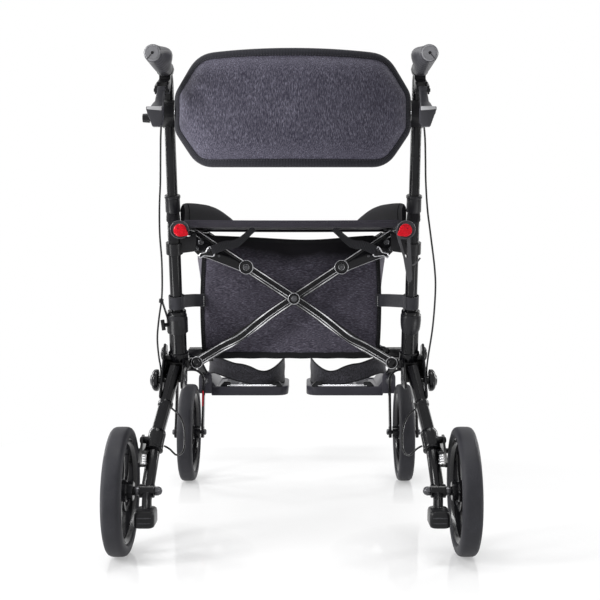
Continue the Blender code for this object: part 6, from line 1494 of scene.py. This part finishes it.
HEEL_STATIONS = [
    (0.207, 0.452, 0.206, 0.245, 0.0), (0.2065, 0.415, 0.206, 0.247, 0.0),
    (0.203, 0.393, 0.206, 0.248, -0.001), (0.193, 0.378, 0.2085, 0.248, -0.002),
    (0.178, 0.367, 0.205, 0.2455, -0.003), (0.162, 0.359, 0.2, 0.2405, -0.004),
    (0.144, 0.3552, 0.1945, 0.235, -0.005), (0.125, 0.3535, 0.19, 0.2325, -0.006),
    (0.107, 0.353, 0.1862, 0.227, -0.0066), (0.09, 0.354, 0.184, 0.219, -0.007),
    (0.074, 0.357, 0.1835, 0.2165, -0.006), (0.06, 0.362, 0.183, 0.2205, -0.005),
    (0.049, 0.37, 0.1828, 0.227, -0.003), (0.041, 0.382, 0.1825, 0.233, -0.002),
    (0.036, 0.398, 0.1822, 0.2375, -0.001), (0.033, 0.415, 0.1822, 0.2395, 0.0),
    (0.032, 0.452, 0.1822, 0.239, 0.0),
]


def heel_frames():
    """Bottom, top and thickness direction along the sling, at finer stations."""
    low = smooth_route([(x, y, z) for x, y, z, _, _ in HEEL_STATIONS], 0.0)
    high = smooth_route([(x, y + lean, z) for x, y, _, z, lean in HEEL_STATIONS], 0.0)
    frames = []
    for i in range(0, len(low), 6):
        reach = low[min(i + 6, len(low) - 1)] - low[max(i - 6, 0)]
        frames.append((low[i], high[i], vec(-reach.y, reach.x, 0.0).normalized()))
    return frames


def draw_heel_sling(bm):
    """Wide padded sling with a slightly bellied face and turned edges."""
    rings = []
    for bottom, top, across in heel_frames():
        ring = []
        for face, shares in ((1, spread(12)), (-1, spread(12)[::-1])):
            for share in shares:
                thick = 0.00145 if 0 < share < 1 else 0.0008
                belly = 0.0006 * sin(pi * share) * sin(3 * pi * share + top.x * 60)
                ring.append(bottom.lerp(top, share) + across * (face * thick + belly))
        rings.append(ring)
    add_rings(bm, rings)


def draw_heel_edges(bm):
    """Turned tapes along the sling's two edges."""
    for low, high in ((0, 1), (1, 0)):
        path = [ends[low] + (ends[high] - ends[low]).normalized() * 0.0012 for ends in heel_frames()]
        add_tube(bm, path, 0.0019, 12)


def draw_hanger(bm):
    """Bent arm from the caster head to the footplate's hinge, and the hinge's pin."""
    block_front = FOOT_REAR_Y - 0.0028
    route = [
        (CASTER_WHEEL.x - 0.001, SWIVEL_Y + 0.015, 0.256), (CASTER_WHEEL.x - 0.001, SWIVEL_Y + 0.0278, 0.256),
        (CASTER_WHEEL.x - 0.004, SWIVEL_Y + 0.044, 0.252), (FOOT_HINGE_X + 0.008, SWIVEL_Y + 0.062, 0.238),
        (FOOT_HINGE_X + 0.002, SWIVEL_Y + 0.088, 0.219), (FOOT_HINGE_X, block_front - 0.002, 0.211),
    ]
    add_sweep(bm, smooth_route(route, 0.004), rounded_outline(rectangle(0.008, 0.0045), 0.002, 4), OUT)
    add_rod(bm, *[(FOOT_HINGE_X, y, FOOT_HINGE_Z) for y in (block_front - 0.004, 0.515)], 0.004, 20)


def draw_hinge_block(bm):
    """Upright block with a rounded top that carries the footplate's hinge."""
    half = 0.015
    outline = [(-half, -0.029), (half, -0.029)]
    outline += [(half * cos(turn), 0.006 + half * sin(turn)) for turn in spread(16, 0.0, pi)]
    outline = [(FOOT_HINGE_X + a, FOOT_HINGE_Z + b) for a, b in outline]
    add_slab(bm, outline, "XZ", FOOT_REAR_Y - 0.0145, FOOT_REAR_Y - 0.0028, 0.0016)


def draw_hanger_bolt(bm):
    profile = [
        (0.0, 0.0078), (0.0012, 0.0076), (0.0014, 0.0056), (0.003, 0.0054), (0.0036, 0.0046),
        (0.0028, 0.0026),
    ]
    add_turned(bm, (FOOT_HINGE_X, FOOT_REAR_Y - 0.0145, FOOT_HINGE_Z), -FORE, profile, 32)


def make_footrests():
    add_pair("footplate_shape", draw_footplate, DECK_PLASTIC, "footrest", "dark_plastic", ["footplate"])
    add_pair("footplate_clips", draw_foot_clips, GLOSS_BLACK, "footrest", "dark_plastic")
    add_pair("footplate_rod", draw_foot_rod, STEEL, "footrest", "steel")
    slings = add_pair("heel_sling", draw_heel_sling, HEEL_MESH, "footrest", "webbing", ["heel_strap"], 60.0)
    add_pair("heel_sling_edges", draw_heel_edges, EDGE_TAPE, "footrest", "webbing")
    add_pair("footplate_hanger_shape", draw_hanger, FRAME_PAINT, FRAMES, "grey_plastic", ["footplate_hanger"])
    add_pair("footplate_hinge_block", draw_hinge_block, DECK_PLASTIC, FRAMES, "grey_plastic")
    add_pair("footplate_hanger_bolt", draw_hanger_bolt, DARK_METAL, FRAMES, "steel")


# Casters


def fork_leg(x, z):
    """A point on the middle line of a fork leg, which leans forward as it goes down."""
    share = max(0.0, min((FORK_TOP_Z - z) / (FORK_TOP_Z - WHEEL_RADIUS), 1.0))
    return vec(CASTER_WHEEL.x + x, SWIVEL_Y + (CASTER_WHEEL.y - SWIVEL_Y) * share**1.3, z)


def draw_fork(bm):
    """Bent flat bar with rounded edges, swivel washer, axle and its bosses."""
    w, bend, top = FORK_HALF_WIDTH, 0.024, FORK_TOP_Z - 0.0025
    half = [(w, WHEEL_RADIUS + rise) for rise in (-0.01, 0.0, 0.03, 0.06)] + [(w, top - bend - 0.012)]
    half += [(w - bend + bend * cos(turn), top - bend + bend * sin(turn)) for turn in spread(12, 0.0, pi / 2)]
    path = [fork_leg(x, z) for x, z in half + [(-x, z) for x, z in reversed(half)]]
    add_sweep(bm, path, rounded_outline(rectangle(0.012, 0.0025), 0.0016, 4), FORE)
    x = CASTER_WHEEL.x
    add_rod(bm, (x, SWIVEL_Y, FORK_TOP_Z - 0.002), (x, SWIVEL_Y, 0.2382), 0.012, 36, 0.0005)
    add_rod(bm, (x, SWIVEL_Y, FORK_TOP_Z - 0.003), (x, SWIVEL_Y, 0.2635), 0.006, 20)
    add_rod(bm, CASTER_WHEEL - OUT * w, CASTER_WHEEL + OUT * w, 0.004, 20)
    profile = [(0.0, 0.0125), (0.0045, 0.0125), (0.0054, 0.0116), (0.0055, 0.0066)]
    for way in (-OUT, OUT):
        add_turned(bm, CASTER_WHEEL + way * (w - 0.002), way, profile, 36)


def draw_fork_nuts(bm):
    profile = [(0.0, 0.006), (0.003, 0.0062), (0.004, 0.005), (0.0048, 0.0038), (0.005, 0.002)]
    for way, sides in ((-OUT, 24), (OUT, 6)):
        add_turned(bm, CASTER_WHEEL + way * 0.0318, way, profile, sides)


def draw_fork_stripe(bm):
    """Thin red reflective strip on the rear edge of the fork's inner leg."""
    path = []
    for z in spread(8, 0.19, 0.158):
        place = fork_leg(FORK_HALF_WIDTH, z)
        path.append(vec(place.x - 2 * CASTER_WHEEL.x, place.y - 0.0121, z))
    add_sweep(bm, path, [(-0.0011, -0.0002), (0.0011, -0.0002), (0.0011, 0.0004), (-0.0011, 0.0004)], OUT)


def make_casters():
    add_pair("caster_fork_shape", draw_fork, FRAME_PAINT, "caster", "frame_paint", ["caster_fork"])
    add_pair("caster_fork_nuts", draw_fork_nuts, DARK_METAL, "caster", "steel", [], 30.0)
    add_piece("caster_fork_stripe", draw_fork_stripe, REFLECTOR, "caster_left")


# Rear legs and their fittings


def leg_point(z):
    return LEG_TOP.lerp(LEG_KNEE, (LEG_TOP.z - z) / (LEG_TOP.z - LEG_KNEE.z))


def draw_rear_leg(bm):
    """Ribbed upper part, collar, bent sleeve, lower tube, axle boss and the brake's pivot and spring seat."""
    a, b, rib = 0.01, 0.012, 0.0132
    quarter = [(a, 0.5 * b), (0.8 * a, 0.86 * b), (0.45 * a, b)]
    section = [(-a, -0.5 * b), (-0.8 * a, -0.86 * b), (-0.45 * a, -b), (0.2 * a, -b), (0.26 * a, -rib)]
    section += [(0.4 * a, -rib), (0.46 * a, -b), (0.6 * a, -0.97 * b), (0.88 * a, -0.8 * b), (a, -0.5 * b)]
    section += quarter + [(-across, depth) for across, depth in reversed(quarter)]
    down = (LEG_KNEE - LEG_TOP).normalized()
    low = (LEG_FOOT - LEG_KNEE).normalized()
    add_sweep(bm, [LEG_TOP, LEG_KNEE], section, OUT)
    profile = [
        (0.0, 0.0118), (0.0006, 0.0127), (0.0016, 0.013), (0.0066, 0.013), (0.0076, 0.0127),
        (0.0082, 0.0118),
    ]
    add_turned(bm, leg_point(0.228) - down * 0.0041, down, profile, 36)
    start, end = LEG_KNEE - down * 0.0198, LEG_KNEE + low * 0.0162
    bend = [(1 - t) ** 2 * start + 2 * t * (1 - t) * LEG_KNEE + t * t * end for t in spread(10)]
    sleeve = add_tube(bm, bend, 0.0145, 36)
    for ring in (sleeve[0], sleeve[-1]):
        centre = sum((v.co for v in ring), Vector()) / len(ring)
        for vertex in ring:
            vertex.co = centre.lerp(vertex.co, 0.9)
    lip = [(0.0, 0.014), (0.0008, 0.0152), (0.0026, 0.0152), (0.0036, 0.0135)]
    add_turned(bm, LEG_KNEE + low * 0.0135, low, lip, 36)
    add_rod(bm, LEG_KNEE, LEG_FOOT, 0.0105, 32)
    boss = [(0.0, 0.0098), (0.0008, 0.011), (0.0237, 0.011), (0.0245, 0.0098)]
    add_turned(bm, (0.2225, LEG_FOOT.y, LEG_FOOT.z), OUT, boss, 36)
    y, z = BRAKE_PIVOT.yz
    add_rod(bm, (0.23, y, z), (0.2474, y, z), 0.006, 24)
    add_rod(bm, (0.23, y, z), (0.2522, y, z), 0.003, 20)
    add_turned(bm, (0.2521, y, z), OUT, [(0.0, 0.005), (0.0014, 0.005), (0.0022, 0.0038)], 24)
    x, y, z = SPRING_PLACE.x, SPRING_PLACE.y, SPRING_TOP_Z
    add_block(bm, (x - 0.006, y - 0.006, z + 0.0003), (x + 0.0035, LEG_KNEE.y - 0.008, z + 0.003), 0.0008)


def draw_pedal(bm):
    """Moulded kerb pedal on its neck: a rounded block that narrows upwards, with a shallow top."""
    neck = [(0.003, 0.039, 0.027), (0.002, 0.025, 0.019), (0.0, 0.011, 0.009), (0.0, 0.001, 0.003)]
    neck = [PEDAL + vec(*offset) for offset in neck]
    add_sweep(bm, smooth_route(neck, 0.003), circle(0.008, 24), OUT)
    rings = []
    for lift, scale in (
        (-0.013, 0.8), (-0.0118, 0.92), (-0.0085, 1.0), (0.0, 1.0), (0.0075, 0.98), (0.0112, 0.92),
        (0.0129, 0.8),
    ):
        corners = rectangle(0.0165 * scale, 0.023 * (0.5 + scale / 2))
        rings.append([PEDAL + vec(a, b, lift) for a, b in rounded_outline(corners, 0.0085, 6)])
    add_rings(bm, rings)


def draw_pedal_ridges(bm):
    """Two pale ridges across the pedal's rear face."""
    for z in (0.0035, -0.0045):
        path = [PEDAL + vec(0.0115 * t, 0.0012 * abs(t) ** 3 - 0.0228, z) for t in spread(12, -1.0, 1.0)]
        add_tube(bm, path, 0.0009, 10)


def draw_axle(bm):
    """Axle with a turned outer head, a spacer at the hub and a domed nut inside the boss."""
    y, z = REAR_WHEEL.yz
    add_rod(bm, (0.2185, y, z), (0.293, y, z), 0.004, 24)
    add_turned(bm, (0.2923, y, z), OUT, [(0.0, 0.009), (0.001, 0.009), (0.002, 0.0078), (0.0022, 0.004)], 32)
    add_rod(bm, (0.2473, y, z), (0.2562, y, z), 0.0075, 32)
    add_turned(bm, (0.2222, y, z), -OUT, [(0.0, 0.0072), (0.001, 0.0076), (0.006, 0.0076), (0.007, 0.007)], 6)
    dome = [(0.0, 0.0064), (0.0014, 0.0062), (0.003, 0.0052), (0.0042, 0.0036), (0.005, 0.0016)]
    add_turned(bm, (0.2154, y, z), -OUT, dome, 32)


def draw_spring(bm):
    radius, wire, curls, per_curl = 0.0037, 0.0008, 4, 24
    steps = curls * per_curl
    points = []
    for i, z in enumerate(spread(steps, SPRING_TOP_Z - wire, SPRING_PLACE.z + wire)):
        turn = 2 * pi * i / per_curl
        points.append(vec(SPRING_PLACE.x + radius * cos(turn), SPRING_PLACE.y + radius * sin(turn), z))
    add_sweep(bm, points, circle(wire, 10), UP)


def draw_cover_knob(bm):
    """Glossy domed cap on a short collar."""
    face = leg_point(0.266)
    face.x = 0.2298
    add_rod(bm, face - OUT * 0.02, face + OUT * 0.008, 0.004, 20)
    add_rod(bm, face, face + OUT * 0.0065, 0.0075)
    profile = [
        (0.0, 0.0172), (0.0006, 0.0186), (0.0016, 0.019), (0.005, 0.019), (0.0066, 0.0186), (0.0084, 0.0172),
        (0.0104, 0.0142), (0.0108, 0.0126), (0.0104, 0.0118), (0.0108, 0.0108), (0.0132, 0.0086),
        (0.0142, 0.005), (0.0145, 0.002),
    ]
    add_turned(bm, face + OUT * 0.0047, OUT, profile, 48)


# Side frames


def draw_side_frame(bm):
    """Upright with its sleeve, cheeks round the rear leg, front leg, caster head and pivot lugs."""
    foot = upright_point(0.2975)
    length = (upright_point(0.384) - foot).length
    sleeve = [
        (0.0, 0.014), (0.0008, 0.0168), (0.0016, 0.0175), (0.0152, 0.0175), (0.016, 0.0168), (0.0166, 0.0152),
        (0.02, 0.015),
    ]
    sleeve += [
        (length + rise, radius)
        for rise, radius in (
            (-0.0042, 0.015), (-0.0036, 0.0158), (-0.0026, 0.0162), (0.0016, 0.0162), (0.0028, 0.0156),
            (0.0032, 0.0144), (0.0032, 0.011),
        )
    ]
    add_turned(bm, foot, RAKE_DIRECTION, sleeve, 44)
    add_rod(bm, foot + RAKE_DIRECTION * 0.004, upright_point(0.582), UPRIGHT_RADIUS, 36)
    rib = vec(sin(radians(27)), -cos(radians(27)), 0) * 0.015
    add_tube(bm, [foot + rib + RAKE_DIRECTION * 0.016, upright_point(0.3425) + rib], 0.0012, 12)
    middle, low, front = leg_point(0.262).y, leg_point(0.2365).y, foot.y + 0.019
    inner = [
        (front, 0.306), (foot.y - 0.016, 0.303), (middle - 0.015, 0.262), (middle - 0.01, 0.252),
        (front, 0.252),
    ]
    outer = [
        (front, 0.322), (foot.y - 0.01, 0.328), (foot.y - 0.02, 0.31), (low - 0.013, 0.2425),
        (low - 0.004, 0.2365), (low + 0.012, 0.2415), (front, 0.262),
    ]
    add_slab(bm, rounded_outline(inner, 0.0055, 5), "YZ", 0.191, 0.195, 0.0009)
    add_slab(bm, rounded_outline(outer, 0.0075, 6), "YZ", 0.2255, 0.2295, 0.0012)
    add_block(bm, (0.191, front - 0.008, 0.256), (0.2295, front + 0.004, 0.3065), 0.0018)
    add_block(bm, (0.191, foot.y - 0.014, 0.2985), (0.2295, front, 0.3065), 0.0018)
    profile = [(0.0, 0.0143), (0.001, 0.0155), (0.0315, 0.0155), (0.033, 0.0146), (0.0335, 0.012)]
    add_turned(bm, (CASTER_WHEEL.x, SWIVEL_Y, 0.2385), UP, profile, 40)
    leg_start, leg_end = vec(0.2085, front - 0.004, 0.28), vec(CASTER_WHEEL.x, SWIVEL_Y, 0.255)
    add_rod(bm, leg_start, leg_end, 0.0135, 36)
    bulge = [
        (0.0, 0.0125), (0.0022, 0.0124), (0.0038, 0.0112), (0.0052, 0.009), (0.0062, 0.0056),
        (0.0065, 0.002),
    ]
    add_turned(bm, (0.229, foot.y - 0.001, 0.3085), OUT, bulge, 36)
    draw_lug(bm, REAR_CROSS_Y, 0.193, 0.0)
    draw_lug(bm, FRONT_CROSS_Y, leg_start.lerp(leg_end, 0.45).x - 0.00675, 0.013)


def draw_cuff(bm):
    """Moulded cuff at the top of the upright's sleeve; its lower edge dips at the back."""
    fore = vec(0, RAKE_DIRECTION.z, -RAKE_DIRECTION.y)
    rings = []
    for rise, radius in (
        (0.029, 0.0112), (0.029, 0.016), (0.027, 0.0176), (0.018, 0.018), (0.008, 0.0174), (0.0015, 0.0164),
        (0.0, 0.0152),
    ):
        ring = []
        for turn in turns_of(44):
            dip = 0.0065 * max(0.0, -sin(turn)) ** 1.5 * (1 - rise / 0.029)
            facet = 0.0005 * cos(3 * turn + 0.6) * (1 if 0.001 < rise < 0.028 else 0)
            out = OUT * cos(turn) + fore * sin(turn)
            ring.append(upright_point(0.3535) + RAKE_DIRECTION * (rise - dip) + out * (radius + facet))
        rings.append(ring)
    add_rings(bm, rings, False)


def draw_lug(bm, cross_y, root_x, drop):
    """Block and guard that hold the cross bars' lower pivot."""
    front = cross_y + BAR_SPACING / 2 + BAR_THICKNESS / 2 + 0.001
    rear = cross_y - BAR_SPACING / 2 - BAR_THICKNESS / 2 - 0.0005
    x, z = LOWER_ARM * cos(CROSS_ANGLE), 0.293
    add_block(bm, (x - 0.009, front, z - 0.0085 - drop), (root_x, front + 0.011, z + 0.0065), 0.002)
    add_block(bm, (x + 0.0118, rear - 0.002, z - 0.0082), (root_x - 0.0005, front + 0.004, z + 0.0055), 0.002)
    add_rod(bm, (x, front + 0.003, z), (x, rear - 0.001, z), 0.004, 20)
    profile = [(0.0, 0.0065), (0.0024, 0.0065), (0.0036, 0.0054), (0.004, 0.0034), (0.0034, 0.0026)]
    add_turned(bm, (x, rear, z), -FORE, profile)


def make_frames():
    for name, draw, material, slot, *more in (
        ("side_frame_shape", draw_side_frame, FRAME_PAINT, "frame_paint", ["side_frame"]),
        ("upright_cuff", draw_cuff, COLLAR_PLASTIC, "dark_plastic"),
        ("upright_sleeve", draw_upright_sleeve, SLEEVE_CLOTH, "fabric"),
        ("rear_leg_shape", draw_rear_leg, FRAME_PAINT, "frame_paint", ["rear_leg"]),
        ("kerb_pedal", draw_pedal, DARK_PLASTIC, "dark_plastic"),
        ("kerb_pedal_ridges", draw_pedal_ridges, GREY_PLASTIC, "grey_plastic"),
        ("rear_axle_shape", draw_axle, DARK_METAL, "steel", ["rear_axle"], 30.0),
        ("cover_knob_shape", draw_cover_knob, GLOSS_BLACK, "dark_plastic", ["cover_knob"]),
    ):
        add_pair(name, draw, material, FRAMES, slot, *more)
    for piece in add_pair("brake_spring_shape", draw_spring, STEEL, None, "steel", ["brake_spring"]):
        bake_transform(piece)
    add_pair("ring_webbing", draw_ring_webbing, WEBBING, RAILS, "webbing")
    add_pair("wire_ring", draw_wire_ring, STEEL, RAILS, "steel")


# Brake cables

CABLE_TOP = [
    (0.2035, -0.399, 0.74), (0.2055, -0.401, 0.718), (0.211, -0.376, 0.694), (0.217, -0.34, 0.673),
    (0.2195, -0.324, 0.64),
]
CABLE_MIDDLE = {
    "right": [
        (0.221, -0.315, 0.605), (0.225, -0.304, 0.56), (0.2317, -0.29, 0.519), (0.241, -0.272, 0.459),
        (0.2435, -0.26, 0.419), (0.241, -0.244, 0.36), (0.2345, -0.233, 0.308),
    ],
    "left": [
        (0.221, -0.315, 0.605), (0.224, -0.304, 0.565), (0.2255, -0.29, 0.519), (0.2245, -0.272, 0.47),
        (0.2265, -0.256, 0.415), (0.233, -0.245, 0.375), (0.237, -0.238, 0.34), (0.2355, -0.232, 0.308),
    ],
}
CABLE_FOOT = [
    (0.2322, -0.2285, 0.284), (0.2322, -0.227, 0.264), (0.231, -0.218, 0.234), (0.218, -0.206, 0.214),
    (0.201, -0.215, 0.2), (0.189, -0.245, 0.18), (0.1865, -0.28, 0.152), (0.195, -0.304, 0.148),
    (0.206, -0.312, 0.16), (0.2152, -0.312, 0.165),
]


def make_cables():
    for side, middle in CABLE_MIDDLE.items():
        sign = 1 if side == "right" else -1
        path = smooth_route([(sign * x, y, z) for x, y, z in CABLE_TOP + middle + CABLE_FOOT], 0.006)
        name = f"brake_cable_{side}"
        cable = add_piece(
            f"{name}_casing", lambda bm: add_tube(bm, path, CABLE_RADIUS, 14), CASING, None, [name],
        )
        low, high = upright_point(0.6), upright_point(0.74)
        low.x, high.x = sign * low.x, sign * high.x
        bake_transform(cable)


# Camera, light and stage


def make_camera():
    """Level camera behind the object; lengths and offsets are in picture points."""
    data = bpy.data.cameras.new("camera")
    data.sensor_width = 36.0
    data.lens = FOCAL_LENGTH / PICTURE_SIZE * 36.0
    data.shift_x, data.shift_y = [offset / PICTURE_SIZE for offset in CENTRE_OFFSET]
    data.clip_start, data.clip_end = 0.05, 50.0
    camera = bpy.data.objects.new("camera", data)
    bpy.context.scene.collection.objects.link(camera)
    camera.location = CAMERA_PLACE + FRAME_SHIFT
    camera.rotation_euler = (radians(90), 0, 0)
    bpy.context.scene.camera = camera


def add_light(name, place, target, size, power, along=(0, 0, 1)):
    """Area light aimed at a target; its second side lies as near as can be to the direction called along."""
    data = bpy.data.lights.new(name, "AREA")
    data.shape = "RECTANGLE"
    data.size, data.size_y = size
    data.energy = power
    light = bpy.data.objects.new(name, data)
    bpy.context.scene.collection.objects.link(light)
    light.location = place
    back = (Vector(place) - Vector(target)).normalized()
    across = Vector(along).cross(back).normalized()
    light.rotation_euler = Matrix((across, back.cross(across), back)).transposed().to_euler()


def seen_share(nodes):
    """1 for rays that show the background: straight from the camera, mirrored or through glass."""
    rays = nodes.add("ShaderNodeLightPath").outputs
    seen = nodes.math("MAXIMUM", rays["Is Camera Ray"], rays["Is Glossy Ray"])
    return nodes.math("MAXIMUM", seen, rays["Is Transmission Ray"])


def make_world():
    """White wherever it is seen, directly, mirrored or through glass, and dimmer as light."""
    world = bpy.data.worlds.new("studio")
    bpy.context.scene.world = world
    world.use_nodes = True
    nodes = Nodes(world.node_tree)
    background = world.node_tree.nodes["Background"]
    nodes.give(background.inputs["Color"], (1, 1, 1))
    nodes.give(background.inputs["Strength"], nodes.ramp(seen_share(nodes), 0.0, 1.0, WORLD_DIFFUSE, 1.0))


def make_floor():
    """White floor: a soft shadow, and a faint mirror image close to the wheels only."""
    bm = bmesh.new()
    bmesh.ops.create_grid(bm, x_segments=1, y_segments=1, size=FLOOR_SIZE)
    mesh = bpy.data.meshes.new("floor")
    bm.to_mesh(mesh)
    bm.free()
    floor = bpy.data.objects.new("floor", mesh)
    bpy.context.scene.collection.objects.link(floor)
    floor.location.z = -0.0006
    paint = Paint("floor_white", FLOOR_WHITE, 0.06)
    near = FLOOR_SIZE
    for wheel in (REAR_WHEEL, CASTER_WHEEL):
        for sign in (-1, 1):
            spot = vec(sign * wheel.x, wheel.y, 0) + FRAME_SHIFT
            away = paint.add("ShaderNodeVectorMath", {0: paint.space, 1: spot}, operation="DISTANCE")
            near = paint.math("MINIMUM", away.outputs["Value"], near)
    mirror = paint.ramp(near, *MIRROR_REACH, 1.0, 0.0)
    paint.plug(Specular_IOR_Level=mirror)
    length = paint.add("ShaderNodeVectorMath", {0: paint.space}, operation="LENGTH").outputs["Value"]
    clear = paint.math("MULTIPLY_ADD", mirror, -FLOOR_MIRROR, FLOOR_LIFT)
    lift = paint.math("MAXIMUM", paint.ramp(length, *SHADOW_REACH), clear)
    share = paint.math("MULTIPLY", lift, seen_share(paint))
    white = paint.add("ShaderNodeEmission").outputs[0]
    mix = paint.add("ShaderNodeMixShader", {0: share, 1: paint.shader.outputs[0], 2: white})
    paint.give(paint.tree.nodes["Material Output"].inputs["Surface"], mix.outputs[0])
    mesh.materials.append(paint.material)


bpy.context.scene.view_settings.view_transform = "Standard"
make_camera()
make_world()
make_floor()
for light in (
    ("key", (-2.4, -1.5, 1.5), (0, 0, 0.5), (0.5, 1.5), 72.0),
    ("fill", (2.4, -1.8, 1.2), (0, 0, 0.45), (0.25, 1.5), 5.0),
    ("low_left", (-0.92, -0.7, 0.02), (-0.92, -0.7, 1.0), (0.22, 1.0), 7.0, (-0.85, -0.53, 0)),
    ("low_right", (0.96, -0.74, 0.02), (0.96, -0.74, 1.0), (0.14, 1.0), 3.0, (0.85, -0.53, 0)),
    ("rim_left", (-2.2, 1.2, 1.4), (0, 0, 0.4), (0.3, 2.0), 42.0),
    ("rim_right", (2.2, 1.2, 1.4), (0, 0, 0.4), (0.3, 2.0), 34.0),
    ("top", (0.0, -0.5, 2.8), (0, 0, 0), (1.4, 1.0), 42.0, (0, 1, 0)),
):
    add_light(*light)
dress_nodes()
for make in (
    make_wheels, make_frames, make_casters, make_cross_frame, make_reflectors, make_handles, make_footrests,
    make_cables, make_seat, make_guards, make_bag, make_backrest,
):
    make()
